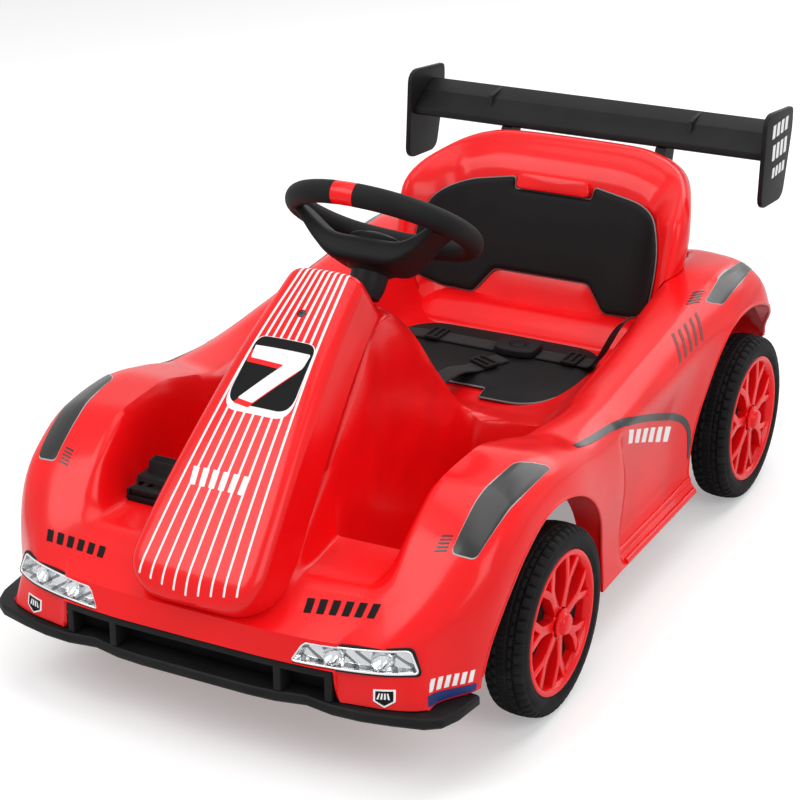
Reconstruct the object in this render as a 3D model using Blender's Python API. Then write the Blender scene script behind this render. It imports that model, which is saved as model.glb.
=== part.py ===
"""Kids electric go-kart: a blow-moulded red body on four wheels, with a bucket seat, a steering
column, a rear wing and two geared motors.

Metres, +Z up, the nose faces -Y and the driver's left is +X. The lines below are measured from the
plane of symmetry (x), the front wheel axis (y) and the ground (z). An empty named kart_origin moves
the whole kart so that the origin is below the middle of its outer box.
"""
from math import cos, pi, radians, sin

import bmesh
import bpy
import numpy as np
from mathutils import Matrix, Vector
from mathutils.bvhtree import BVHTree

# General fits
GAP = 0.0003
WALL = 0.003
FIT = 0.0006

# Wheels and axles
TYRE_R = 0.100
TYRE_W = 0.046
TYRE_LUGS = 14
LUG_DEPTH = 0.0022
RIM_R = 0.0759
RIM_BARREL_R = 0.0700
RIM_WALL = 0.0035
SPOKES = 7
SPOKE_T = 0.012
SPOKE_HALF = 0.0052
FORK_R = 0.040
FORK_SPREAD = radians(12)
SPOKE_SET_IN = 0.0045
HUB_R = 0.0175
HUB_BORE_R = 0.0065
HUB_IN = 0.007
CAP_R = 0.0150
WHEEL_BASE = 0.5582
FRONT_OUT = 0.2885
REAR_OUT = 0.2815
AXLE_Z = TYRE_R
AXLE_R = 0.006

# Wheel arches
ARCH_R = 0.141
ARCH_Z = 0.090
FRONT_ARCH_Y = -0.004
REAR_ARCH_Y = WHEEL_BASE - 0.0052
REAR_ARCH_R = 0.150
ARCH_IN = 0.206
LINER_IN = 0.243

# Body lines: each is a list of (y, value) knots, joined by a smooth monotone curve
FRONT_Y = -0.232
TAIL_Y = 0.702
BOW_END = -0.100
FRONT_FACE = 0.026
TAIL_BOTTOM = 0.100
LINES = {
    "spine": ([(-0.232, 0.0), (0.702, 0.0)],
              [(-0.232, 0.157), (-0.20, 0.170), (-0.16, 0.200), (-0.12, 0.234), (-0.073, 0.272), (-0.01, 0.321),
               (0.04, 0.355), (0.075, 0.368), (0.10, 0.366), (0.14, 0.340), (0.175, 0.303), (0.205, 0.262),
               (0.228, 0.222), (0.250, 0.195), (0.285, 0.184), (0.47, 0.184), (0.54, 0.190), (0.590, 0.192),
               (0.612, 0.262), (0.64, 0.268), (0.67, 0.245), (0.702, 0.190)]),
    "tunnel_edge": ([(-0.232, 0.075), (-0.12, 0.070), (0.0, 0.060), (0.06, 0.046), (0.12, 0.042), (0.18, 0.042),
                     (0.23, 0.052), (0.28, 0.062), (0.56, 0.062), (0.702, 0.070)],
                    [(-0.232, 0.157), (-0.20, 0.170), (-0.16, 0.198), (-0.12, 0.228), (-0.073, 0.264), (-0.01, 0.311),
                     (0.04, 0.344), (0.075, 0.354), (0.10, 0.350), (0.14, 0.322), (0.175, 0.282), (0.205, 0.242),
                     (0.228, 0.209), (0.250, 0.193), (0.285, 0.184), (0.47, 0.184), (0.54, 0.190), (0.590, 0.192),
                     (0.612, 0.262), (0.64, 0.268), (0.67, 0.245), (0.702, 0.190)]),
    "floor_in": ([(-0.232, 0.092), (-0.12, 0.084), (0.0, 0.076), (0.10, 0.070), (0.20, 0.072), (0.26, 0.090),
                  (0.56, 0.090), (0.702, 0.095)],
                 [(-0.232, 0.157), (-0.20, 0.170), (-0.165, 0.187), (-0.145, 0.186), (-0.085, 0.190), (-0.062, 0.100),
                  (-0.03, 0.088), (0.18, 0.088), (0.205, 0.100), (0.235, 0.190), (0.27, 0.186), (0.47, 0.184),
                  (0.54, 0.190), (0.595, 0.192), (0.612, 0.262), (0.64, 0.270), (0.67, 0.247), (0.702, 0.190)]),
    "floor_out": ([(-0.232, 0.1550), (-0.16, 0.155), (-0.06, 0.158), (0.10, 0.155), (0.20, 0.146), (0.30, 0.136),
                   (0.47, 0.134), (0.56, 0.140), (0.702, 0.140)],
                  [(-0.232, 0.157), (-0.20, 0.172), (-0.165, 0.188), (-0.145, 0.187), (-0.085, 0.191), (-0.062, 0.102),
                   (-0.03, 0.088), (0.18, 0.088), (0.205, 0.100), (0.240, 0.192), (0.27, 0.190), (0.47, 0.190),
                   (0.54, 0.194), (0.595, 0.198), (0.612, 0.266), (0.64, 0.272), (0.67, 0.249), (0.702, 0.190)]),
    "rim": ([(-0.232, 0.1605), (-0.205, 0.176), (-0.16, 0.184), (-0.10, 0.186), (0.0, 0.188), (0.12, 0.190), (0.20, 0.196),
             (0.30, 0.196), (0.47, 0.186), (0.60, 0.180), (0.702, 0.172)],
            [(-0.232, 0.157), (-0.20, 0.174), (-0.165, 0.196), (-0.12, 0.238), (-0.06, 0.270), (0.0, 0.272),
             (0.06, 0.258), (0.12, 0.240), (0.20, 0.236), (0.30, 0.246), (0.40, 0.258), (0.50, 0.272),
             (0.57, 0.281), (0.62, 0.279), (0.66, 0.252), (0.702, 0.190)]),
    "crown": ([(-0.232, 0.200), (-0.18, 0.222), (-0.12, 0.232), (0.0, 0.236), (0.12, 0.232), (0.20, 0.232),
               (0.35, 0.232), (0.50, 0.226), (0.60, 0.224), (0.702, 0.210)],
              [(-0.232, 0.156), (-0.20, 0.178), (-0.165, 0.204), (-0.12, 0.238), (-0.06, 0.268), (0.0, 0.273),
               (0.06, 0.262), (0.12, 0.247), (0.20, 0.246), (0.30, 0.254), (0.40, 0.264), (0.50, 0.274),
               (0.57, 0.280), (0.62, 0.276), (0.66, 0.247), (0.702, 0.180)]),
    "shoulder": ([(-0.232, 0.214), (-0.18, 0.250), (-0.12, 0.266), (-0.05, 0.272), (0.03, 0.273), (0.12, 0.266),
                  (0.20, 0.262), (0.35, 0.262), (0.50, 0.262), (0.60, 0.262), (0.66, 0.257), (0.702, 0.240)],
                 [(-0.232, 0.153), (-0.20, 0.172), (-0.165, 0.196), (-0.12, 0.226), (-0.06, 0.250), (0.0, 0.254),
                  (0.06, 0.246), (0.12, 0.234), (0.20, 0.226), (0.30, 0.226), (0.40, 0.230), (0.50, 0.246),
                  (0.57, 0.256), (0.62, 0.250), (0.66, 0.220), (0.702, 0.160)]),
    "side": ([(-0.232, 0.226), (-0.18, 0.262), (-0.12, 0.279), (-0.05, 0.284), (0.03, 0.284), (0.12, 0.277),
              (0.186, 0.273), (0.206, 0.253), (0.35, 0.252), (0.44, 0.267), (0.54, 0.276), (0.62, 0.274),
              (0.66, 0.268), (0.702, 0.254)],
             [(-0.232, 0.146), (-0.20, 0.154), (-0.165, 0.168), (-0.12, 0.184), (-0.06, 0.196), (0.0, 0.200),
              (0.06, 0.196), (0.12, 0.182), (0.20, 0.170), (0.35, 0.165), (0.44, 0.175), (0.54, 0.198),
              (0.60, 0.200), (0.66, 0.165), (0.702, 0.135)]),
    "skirt": ([(-0.232, 0.238), (-0.18, 0.266), (-0.12, 0.276), (0.0, 0.276), (0.12, 0.270), (0.186, 0.268),
               (0.206, 0.250), (0.35, 0.250), (0.44, 0.266), (0.60, 0.270), (0.66, 0.266), (0.702, 0.2575)],
              [(-0.232, 0.120), (-0.20, 0.122), (-0.165, 0.128), (-0.12, 0.122), (0.0, 0.118), (0.12, 0.110),
               (0.186, 0.104), (0.206, 0.090), (0.40, 0.090), (0.50, 0.108), (0.60, 0.120), (0.66, 0.118),
               (0.702, 0.115)]),
    "hem": ([(-0.232, 0.243), (-0.18, 0.266), (-0.12, 0.272), (0.0, 0.274), (0.12, 0.272), (0.20, 0.270),
             (0.35, 0.270), (0.44, 0.270), (0.60, 0.268), (0.66, 0.266), (0.702, 0.2605)],
            [(-0.232, 0.0970), (-0.212, 0.0970), (-0.165, 0.0970), (-0.13, 0.090), (-0.10, 0.068), (0.12, 0.066),
             (0.42, 0.066), (0.50, 0.080), (0.60, 0.094), (0.66, 0.100), (0.702, 0.106)]),
}
LINE_ORDER = ["spine", "tunnel_edge", "floor_in", "floor_out", "rim", "crown", "shoulder", "side", "skirt", "hem"]
BOW = [0.0, 0.0005, 0.001, 0.006, 0.013, 0.020, 0.027, 0.034, 0.040, 0.043]
TAIL_BOW = [0.0, 0.002, 0.003, 0.005, 0.008, 0.010, 0.013, 0.015, 0.016, 0.017]
FACE_DROP = [0.0, 0.0, 0.0, 0.001, 0.034, 0.033, 0.030, 0.0225, -0.0035, -0.026]
FACE_LEAN = [0.007, 0.007, 0.007, 0.007, 0.008, 0.009, 0.011, 0.012, 0.013, 0.014]
FACE_FLARE = [0.0, 0.0, 0.0, 0.0, 0.001, 0.002, 0.005, 0.008, 0.002, 0.0]
STATIONS = [-0.232, -0.212, -0.182, -0.152, -0.130, -0.102, -0.086, -0.074, -0.062, -0.035, 0.0,
            0.04, 0.08, 0.12, 0.16, 0.20, 0.213, 0.225, 0.238, 0.255, 0.30, 0.38, 0.46, 0.53,
            0.572, 0.598, 0.612, 0.638, 0.672, 0.702]
SECTION_STEPS = [1, 2, 1, 1, 1, 1, 2, 1, 1]

# Front bumper and splitter
LIP_BOTTOM = 0.082
LIP_TOP = 0.0955
LIP_LINE = [(0.0, -0.240), (0.080, -0.239), (0.115, -0.232), (0.130, -0.230), (0.160, -0.236), (0.205, -0.229),
            (0.245, -0.219), (0.260, -0.208), (0.268, -0.188), (0.272, -0.155)]
LIP_DEPTH = 0.034
GRILLE_TOP = 0.1285
GRILLE_T = 0.030
GRILLE_WALL_Y = -0.2125
GRILLE_HALF = 0.1290
GRILLE_BAR = 0.0075
GRILLE_END = 0.1535
MULLION_X = 0.095
MULLION_W = 0.008

# Headlights: outer top, outer bottom, inner bottom, inner top, as x and z, with y from the body
LAMP_CORNERS = [(0.2231, 0.1551), (0.2327, 0.1313), (0.1102, 0.1324), (0.1216, 0.1529)]
LAMP_ROWS = [(0.0, 0.035), (0.16, 0.008), (0.84, 0.008), (1.0, 0.035)]
LAMP_DEPTH = 0.014
LENS_T = 0.002
LENS_PROUD = 0.0005

# Nose cover: its top runs along a shallow arch from the front tip to the column
COVER_LINE = [(-0.250, 0.180), (-0.181, 0.248), (-0.106, 0.314), (-0.038, 0.367), (0.046, 0.420)]
COVER_HALF = [(0.0, 0.079), (0.25, 0.072), (0.55, 0.060), (0.80, 0.050), (1.0, 0.043)]
COVER_DEPTH = 0.052
COVER_EDGE = 0.014
COVER_ENDS = [0.0, 0.010, 0.035, 0.08]
COVER_ROUND = (0.13, 0.05)
COVER_POWER = 2.3
COVER_TIP = 0.42
COVER_DIP = 0.012
SCREW_T = 0.83
SCREW_R = 0.0018
SCREW_HEAD_R = 0.0042

# Seat
SEAT_LEAN = 0.353
SEAT_FOOT_Y = 0.545
SEAT_FOOT_Z = 0.2050
PAD_T = 0.009
SEAT_PAD_T = 0.009
SEAT_PAD_Y = (0.292, 0.474)
SEAT_PAD_HALF = 0.137
SEAT_PAD_NOTCH = (0.046, 0.026)

# Steering
COLUMN_TILT = radians(35)
WHEEL_Y = 0.163
WHEEL_Z = 0.430
GRIP_RING_R = 0.097
GRIP_R = 0.0125
RING_STEPS = 36
SHAFT_R = 0.006
SHAFT_LEN = 0.420
CRANK_R = 0.0287
ARM_R = 0.040
KINGPIN_X = 0.2130
KINGPIN_R = 0.0045

# Wing
WING_HALF = 0.2430
WING_FRONT = (0.669, 0.383)
WING_STEP = (0.697, 0.404)
WING_REAR = (0.728, 0.4185)
WING_T = 0.009
PLATE_T = 0.006
FIN_X = 0.136

# Steering column hole
COLUMN_HOLE_R = 0.0125

# Seat back, pads and harness
WRAP = [(0.0, 0.0), (0.110, 0.0), (0.122, 0.003), (0.136, 0.012), (0.144, 0.021), (0.150, 0.028), (0.160, 0.037),
        (0.172, 0.046), (0.180, 0.049), (0.190, 0.050)]
SEAT_OUTLINE = [(0.165, -0.110), (0.180, 0.010), (0.189, 0.075), (0.190, 0.115), (0.183, 0.143), (0.168, 0.168),
                (0.146, 0.189), (0.115, 0.202), (0.070, 0.208)]
BORDER = [(0.020, -0.040), (0.004, -0.036), (0.0, -0.020), (0.003, -0.006), (0.012, 0.0), (0.024, 0.0),
          (0.036, 0.0), (0.046, 0.0), (0.056, 0.0), (0.068, 0.0)]
ROLL = [(0.0, -0.016), (0.012, -0.013), (0.024, -0.007), (0.036, -0.002), (0.050, 0.0)]
BLOCK_HALF = 0.050
BLOCK_H = (0.137, 0.156)
HUMP_H = (-0.006, 0.033)
HUMP_HALF = (0.086, 0.062)
RAISED = 0.007
BACK_PAD = [(0.0, 0.0350), (0.0635, 0.0350), (0.0885, 0.0020), (0.128, 0.0035), (0.156, 0.014), (0.1600, 0.055),
            (0.1580, 0.090), (0.144, 0.122), (0.116, 0.1390), (0.0535, 0.1505), (0.0520, 0.1355), (0.0, 0.1355)]
BACK_PAD_CORNERS = [0, 0.006, 0.006, 0, 0.012, 0.03, 0.03, 0.03, 0.03, 0.003, 0.003, 0]
SEAT_PAN_Z = 0.184
BELT_W = 0.025
BELT_T = 0.0018
STRAP_LIFT = 0.0014
PAD_TOP = SEAT_PAN_Z + SEAT_PAD_T + 0.0036
BUCKLE = (0.036, 0.415)
BUCKLE_SIZE = (0.052, 0.040, 0.010)
RIGHT_BELT = [(-0.1830, 0.386), (-0.160, 0.390), (-0.140, 0.399), (-0.120, 0.408), (-0.095, 0.415), (-0.06, 0.416),
              (0.0090, 0.415)]
LEFT_BELT = [(0.1760, 0.412), (0.160, 0.413), (0.140, 0.414), (0.119, 0.415), (0.0635, 0.415)]
CROTCH_BELT = [(0.0, 0.2580, 0.2030, 0), (0.0, 0.268, 0.2040, 0), (0.001, 0.290, 0.2045, 0), (0.004, 0.318, 0.2025, 0),
               (0.012, 0.345, PAD_TOP, 0), (0.022, 0.370, PAD_TOP, 0), (0.030, 0.3870, PAD_TOP, 0)]
ADJUSTERS = {"right": (-0.073, 0.4165, 0), "left": (0.107, 0.415, 0), "crotch": (0.0185, 0.361, 65)}
BUTTON_TRAVEL = 0.0025
BUCKLE_BUTTON_R = 0.0095

# Wing end plates and posts
END_PLATE = [(0.655, 0.336), (0.665, 0.434), (0.678, 0.441), (0.757, 0.431), (0.757, 0.405), (0.733, 0.328),
             (0.722, 0.322), (0.664, 0.327)]
END_PLATE_CORNERS = [0.006, 0.008, 0.008, 0.006, 0.01, 0.006, 0.006, 0.006]
WING_POST = [(0.672, 0.3827), (0.706, 0.4007), (0.690, 0.345), (0.672, 0.30), (0.655, 0.24), (0.618, 0.24),
             (0.640, 0.31), (0.655, 0.350)]
WING_POST_X = 0.105
WING_POST_T = 0.014

# Steering wheel
BAND_DEG = 14
SPOKE_ARM = [(0.0, 0.003, 0.064, -0.054, -0.0245), (0.036, 0.005, 0.062, -0.052, -0.0245),
             (0.058, 0.014, 0.050, -0.038, -0.016), (0.078, 0.025, 0.044, -0.018, -0.003), (0.094, 0.032, 0.044, -0.006, 0.005)]
LOWER_ARM = [(0.0, 0.056, -0.050, -0.026), (-0.036, 0.050, -0.046, -0.026), (-0.066, 0.038, -0.024, -0.008),
             (-0.086, 0.036, -0.006, 0.005)]
NECK_END = -0.084
NECK_TOP = -0.0195
HORN_R = 0.021
HORN_Z = -0.018
HORN_TRAVEL = 0.002
PIN_R = 0.0025

# Front axle and linkage
BEAM_Z = (0.0520, 0.0795)
BEAM_HALF_Y = 0.016
BEAM_HALF_X = 0.225
FLOOR_UNDER = 0.0875
SLEEVE_R = 0.0110
SLEEVE_Z = (BEAM_Z[1] + GAP, 0.1260)
ROD_Z = (0.0742, 0.0772)
TIE_CLEAR = 0.0008
SLOT_LONG = 0.0055
BUSH_D = -0.362

# Pan, drives and battery
PAN_HALF = 0.122
PAN_Y = (0.266, 0.450)
PAN_Z = (0.070, 0.1828)
PAN_WALL = 0.003
CARRIER_X = 0.110
CARRIER_T = 0.012
MOTOR_Y = WHEEL_BASE - 0.066
MOTOR_Z = 0.112
MOTOR_R = 0.0180
MOTOR_LEN = 0.050
BOX_IN = 0.180
BOX_OUT = 0.2265
BATTERY = (0.100, 0.070, 0.090)
BATTERY_AT = (-0.085, 0.315)
BATTERY_POSTS = (-0.070, 0.0)
BATTERY_POST_Y = 0.329
POST_HALF = 0.004
POST_H = 0.008
CONTROL_BOX = (0.070, 0.064, 0.030)
CONTROL_BOX_AT = (0.035, 0.318)

# Pedal and switches
PEDAL_X = -0.128
PEDAL_W = 0.052
PEDAL_Y = -0.106
PEDAL_Z = 0.1985
PEDAL_PIN_R = 0.002
PANEL_Y = 0.190
PANEL_HALF = (0.021, 0.024)
PANEL_DEPTH = 0.006
POWER_R = 0.0065
POWER_AT = -0.010
ROCKER_AT = 0.0095
ROCKER = (0.0065, 0.0095)
ROCKER_PIVOT = 0.0030

RED = (0.80, 0.012, 0.010)
BLACK = (0.018, 0.017, 0.018)
RUBBER = (0.012, 0.012, 0.013)
STEEL = (0.62, 0.63, 0.65)
CHROME = (0.80, 0.81, 0.83)
CLEAR = (0.90, 0.92, 0.95)
WEBBING = (0.014, 0.013, 0.014)


# Lines and section of the body


def smooth(knots, at):
    """Monotone cubic curve through the knots: the slope at a knot is the harmonic mean of its two chords."""
    x, f = np.array(knots, float).T
    at = np.clip(at, x[0], x[-1])
    return hermite(x, f, at)


def hermite(x, f, at):
    h = np.diff(x)
    d = np.diff(f) / h
    same = d[:-1] * d[1:] > 0
    m = np.empty(len(x))
    m[0] = d[0]
    m[-1] = d[-1]
    m[1:-1] = np.where(same, 2 * d[:-1] * d[1:] / np.where(same, d[:-1] + d[1:], 1), 0)
    i = np.clip(np.searchsorted(x, at, side="right") - 1, 0, len(h) - 1)
    t = (at - x[i]) / h[i]
    a = f[i] * (1 + 2 * t) * (1 - t) ** 2 + f[i + 1] * t * t * (3 - 2 * t)
    return a + h[i] * (m[i] * t * (1 - t) ** 2 - m[i + 1] * t * t * (1 - t))


def ease(t):
    t = np.clip(t, 0, 1)
    return t * t * (3 - 2 * t)


def body_rows():
    """Rows of control points: down the front face, along the stations, and down the tail."""
    rows = []
    first = np.array([[smooth(LINES[n][0], FRONT_Y), FRONT_Y + b, smooth(LINES[n][1], FRONT_Y)]
                      for n, b in zip(LINE_ORDER, BOW)])
    drop = np.array(FACE_DROP) + FRONT_FACE
    for w in (1.0, 0.5, 0.15):
        row = first.copy()
        row[:, 0] += np.array(FACE_FLARE) * w
        row[:, 1] -= np.array(FACE_LEAN) * w
        row[:, 2] -= drop * w
        rows.append(row)
    for y in STATIONS:
        lead = ease((BOW_END - y) / (BOW_END - FRONT_Y))
        lag = ease((y - 0.60) / (TAIL_Y - 0.60))
        shift = np.array(BOW) * lead - np.array(TAIL_BOW) * lag
        rows.append(np.array([[smooth(LINES[n][0], y), y + s, smooth(LINES[n][1], y)]
                              for n, s in zip(LINE_ORDER, shift)]))
    last = rows[-1]
    for w in (0.15, 0.5, 1.0):
        row = last.copy()
        row[:, 1] += 0.004 * ease(w)
        row[:, 2] += (TAIL_BOTTOM - row[:, 2]) * w
        rows.append(row)
    return rows


def section(row):
    """Half a section through the control points, sampled by chord length in each span."""
    s = np.concatenate([[0], np.cumsum(np.linalg.norm(np.diff(row, axis=0), axis=1) + 1e-6)])
    at = [np.linspace(s[k], s[k + 1], n + 1)[:-1] for k, n in enumerate(SECTION_STEPS)]
    at = np.append(np.concatenate(at), s[-1])
    return np.stack([hermite(s, row[:, c], at) for c in range(3)], axis=1)


def body_grid():
    half = np.array([section(r) for r in body_rows()])
    left = half[:, :0:-1] * np.array([-1, 1, 1])
    return np.concatenate([left, half], axis=1)


def grid_normals(g):
    du = np.gradient(g, axis=0)
    dv = np.gradient(g, axis=1)
    n = np.cross(dv, du)
    return n / np.linalg.norm(n, axis=2, keepdims=True)


# Mesh helpers


def material(name, colour, roughness, metallic=0.0, transmission=0.0):
    m = bpy.data.materials.new(name)
    m.use_nodes = True
    p = m.node_tree.nodes["Principled BSDF"]
    p.inputs["Base Color"].default_value = (*colour, 1)
    p.inputs["Roughness"].default_value = roughness
    p.inputs["Metallic"].default_value = metallic
    p.inputs["Transmission Weight"].default_value = transmission
    return m


def add(name, bm, mat, smooth_angle=35, pivot=(0, 0, 0)):
    """Put a bmesh into the scene under its name, hung from the kart's origin, with its own origin at the pivot."""
    bmesh.ops.translate(bm, vec=-Vector(pivot), verts=bm.verts)
    bmesh.ops.remove_doubles(bm, verts=bm.verts, dist=1e-6)
    bmesh.ops.recalc_face_normals(bm, faces=bm.faces)
    mesh = bpy.data.meshes.new(name)
    bm.to_mesh(mesh)
    bm.free()
    mesh.shade_smooth()
    mesh.set_sharp_from_angle(angle=radians(smooth_angle))
    obj = bpy.data.objects.new(name, mesh)
    obj.data.materials.append(MATERIALS[mat])
    bpy.context.scene.collection.objects.link(obj)
    obj.parent = ORIGIN
    obj.location = pivot
    return obj


def from_arrays(points, faces):
    bm = bmesh.new()
    vs = [bm.verts.new(p) for p in points]
    for f in faces:
        bm.faces.new([vs[i] for i in f])
    return bm


def grid_faces(rows, cols):
    """Triangles of a grid, their diagonals mirrored about its middle column."""
    idx = np.arange(rows * cols).reshape(rows, cols)
    faces = []
    for i in range(rows - 1):
        for j in range(cols - 1):
            a, b, c, d = idx[i, j], idx[i, j + 1], idx[i + 1, j + 1], idx[i + 1, j]
            faces += [(a, b, c), (a, c, d)] if j < (cols - 1) / 2 else [(a, b, d), (b, c, d)]
    return faces


def skin(outer, inner):
    """A closed wall between two grids of equal size."""
    rows, cols = outer.shape[:2]
    n = rows * cols
    idx = np.arange(n).reshape(rows, cols)
    faces = grid_faces(rows, cols)
    faces = faces + [tuple(n + v for v in f[::-1]) for f in faces]
    edge = list(idx[0]) + list(idx[1:, -1]) + list(idx[-1, -2::-1]) + list(idx[-2:0:-1, 0])
    faces += [(edge[k], edge[(k + 1) % len(edge)], n + edge[(k + 1) % len(edge)], n + edge[k])
              for k in range(len(edge))]
    return from_arrays(np.concatenate([outer.reshape(-1, 3), inner.reshape(-1, 3)]), faces)


def loft(loops, closed=False):
    """Join equal loops of points; the ends are capped unless the loft closes on itself."""
    loops = [np.asarray(p, float) for p in loops]
    n = len(loops[0])
    m = len(loops)
    faces = []
    for i in range(m if closed else m - 1):
        k = (i + 1) % m
        faces += [(i * n + j, i * n + (j + 1) % n, k * n + (j + 1) % n, k * n + j) for j in range(n)]
    if not closed:
        faces += [tuple(range(n))[::-1], tuple((m - 1) * n + j for j in range(n))]
    return from_arrays(np.concatenate(loops), faces)


def ring_points(radius, n, turn=0.0):
    a = np.arange(n) * 2 * pi / n + turn
    return np.stack([radius * np.cos(a), radius * np.sin(a)], axis=1)


def turned(profile, n, turn=0.0):
    """Revolve (radius, height) pairs about Z; a closed profile gives a ring, an open one is capped."""
    loops = [np.column_stack([ring_points(r, n, turn), np.full(n, z)]) for r, z in profile]
    return loops


def move(bm, matrix):
    bmesh.ops.transform(bm, matrix=matrix, verts=bm.verts)
    return bm


def along_x(x, y, z, flip=False):
    """Carry local +Z onto +X (or -X), with the local origin at the given point."""
    return Matrix.Translation((x, y, z)) @ Matrix.Rotation(-pi / 2 if flip else pi / 2, 4, "Y")


def box(x0, x1, y0, y1, z0, z1, bevel=0.0):
    bm = bmesh.new()
    bmesh.ops.create_cube(bm, size=1.0)
    bmesh.ops.scale(bm, vec=(x1 - x0, y1 - y0, z1 - z0), verts=bm.verts)
    bmesh.ops.translate(bm, vec=((x0 + x1) / 2, (y0 + y1) / 2, (z0 + z1) / 2), verts=bm.verts)
    if bevel:
        bmesh.ops.bevel(bm, geom=bm.edges[:], offset=bevel, segments=1, affect="EDGES")
    return bm


def rod(a, b, radius, n=12, radius_b=None):
    """A round bar from a to b, tapering when a second radius is given."""
    a = Vector(a)
    b = Vector(b)
    turn = (b - a).to_track_quat("Z", "Y").to_matrix().to_4x4()
    rb = radius if radius_b is None else radius_b
    bm = loft(turned([(radius, 0), (rb, (b - a).length)], n))
    return move(bm, Matrix.Translation(a) @ turn)


def rounded(points, radius, steps=3):
    """Round the corners of a flat polygon; radius is one value or one for each corner."""
    out = []
    n = len(points)
    for i in range(n):
        p = np.array(points[i], float)
        a = np.array(points[i - 1], float) - p
        b = np.array(points[(i + 1) % n], float) - p
        r = radius[i] if isinstance(radius, (list, tuple)) else radius
        if r <= 0:
            out.append(p)
            continue
        la, lb = np.linalg.norm(a), np.linalg.norm(b)
        cut = min(r, 0.48 * la, 0.48 * lb)
        s, e = p + a / la * cut, p + b / lb * cut
        out += [(1 - t) ** 2 * s + 2 * t * (1 - t) * p + t * t * e for t in np.linspace(0, 1, steps + 1)]
    return np.array(out)


def prism(outline, z0, z1):
    o = np.asarray(outline, float)
    return loft([np.column_stack([o, np.full(len(o), z)]) for z in (z0, z1)])


def merge(*parts):
    """Several separate solids in one bmesh."""
    bm = bmesh.new()
    for p in parts:
        bmesh.ops.recalc_face_normals(p, faces=p.faces)
        mesh = bpy.data.meshes.new("merge")
        p.to_mesh(mesh)
        p.free()
        bm.from_mesh(mesh)
        bpy.data.meshes.remove(mesh)
    return bm


def tool_object(bm):
    bmesh.ops.recalc_face_normals(bm, faces=bm.faces)
    mesh = bpy.data.meshes.new("tool")
    bm.to_mesh(mesh)
    bm.free()
    obj = bpy.data.objects.new("tool", mesh)
    bpy.context.scene.collection.objects.link(obj)
    return obj


def boolean(bm, steps):
    """Apply (operation, bmesh) steps in turn and give back the result."""
    base = tool_object(bm)
    for operation, other in steps:
        tool = tool_object(other)
        mod = base.modifiers.new("bool", "BOOLEAN")
        mod.operation = operation
        mod.solver = "EXACT"
        mod.object = tool
        deps = bpy.context.evaluated_depsgraph_get()
        mesh = bpy.data.meshes.new_from_object(base.evaluated_get(deps))
        base.modifiers.clear()
        old = base.data
        base.data = mesh
        bpy.data.meshes.remove(old)
        bpy.data.objects.remove(tool)
    out = bmesh.new()
    out.from_mesh(base.data)
    bpy.data.objects.remove(base)
    bmesh.ops.dissolve_degenerate(out, edges=out.edges, dist=1e-6)
    return out


def mirrored(bm):
    """The same shape on the other side of the kart."""
    out = bm.copy()
    bmesh.ops.scale(out, vec=(-1, 1, 1), verts=out.verts)
    bmesh.ops.reverse_faces(out, faces=out.faces)
    return out


# Body shell and what stands on it


def solid_below(g, floor_z):
    """A closed solid under a grid: its edge drops straight to a flat floor."""
    rows, cols = g.shape[:2]
    n = rows * cols
    idx = np.arange(n).reshape(rows, cols)
    faces = grid_faces(rows, cols)
    edge = list(idx[0]) + list(idx[1:, -1]) + list(idx[-1, -2::-1]) + list(idx[-2:0:-1, 0])
    flat = g.reshape(-1, 3)
    low = flat[edge].copy()
    low[:, 2] = floor_z
    m = len(edge)
    faces += [(edge[k], edge[(k + 1) % m], n + (k + 1) % m, n + k) for k in range(m)]
    faces.append(tuple(n + k for k in range(m)))
    return from_arrays(np.concatenate([flat, low]), faces)


def body_envelope(clearance):
    g = body_grid()
    return solid_below(g + grid_normals(g) * clearance, 0.03)


def shell_wall():
    """The shell's wall grown by the gap on both faces, cut out of what is fitted under the body."""
    g = body_grid()
    n = grid_normals(g)
    return skin(g + n * GAP, g - n * (WALL + GAP))


def arch_radius(y):
    return ARCH_R if y < WHEEL_BASE / 2 else REAR_ARCH_R


def arch_cutter(y, side):
    return rod((side * ARCH_IN, y, ARCH_Z), (side * 0.36, y, ARCH_Z), arch_radius(y), 44)


def arch_liner(y, side, start, end):
    """The wall that the fender turns inward round its wheel arch."""
    a = np.radians(np.linspace(start, end, 23))
    low, high = arch_radius(y) - 0.0005, arch_radius(y) + WALL
    inner = np.column_stack([y + low * np.cos(a), ARCH_Z + low * np.sin(a)])
    outer = np.column_stack([y + high * np.cos(a), ARCH_Z + high * np.sin(a)])
    loop = np.concatenate([inner, outer[::-1]])
    return loft([np.column_stack([np.full(len(loop), side * x), loop]) for x in (LINER_IN, 0.31)])


def lamp_face(grow=0.0):
    """Grid of (x, z) places over the lamp's slanted outline: rows from the bottom up, columns outwards."""
    top_out, low_out, low_in, top_in = np.array(LAMP_CORNERS) + np.array([[1, 1], [1, -1], [-1, -1], [-1, 1]]) * grow
    rows = []
    for t, cut in LAMP_ROWS:
        a = low_in + (top_in - low_in) * t
        b = low_out + (top_out - low_out) * t
        rows.append([a + (b - a) * s for s in np.linspace(cut, 1 - cut, 9)])
    return np.array(rows)


def lamp_outline(grow):
    g = lamp_face(grow)
    return np.concatenate([g[0], g[1:, -1], g[-1, -2::-1], g[-2:0:-1, 0]])


def front_plan(x):
    """Where the red front stands at a given width, halfway down its face."""
    knots = [(smooth(LINES[n][0], FRONT_Y) + f * 0.5, FRONT_Y + b - lean * 0.5)
             for n, b, f, lean in zip(LINE_ORDER, BOW, FACE_FLARE, FACE_LEAN)]
    return smooth(knots, np.abs(x))


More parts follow.
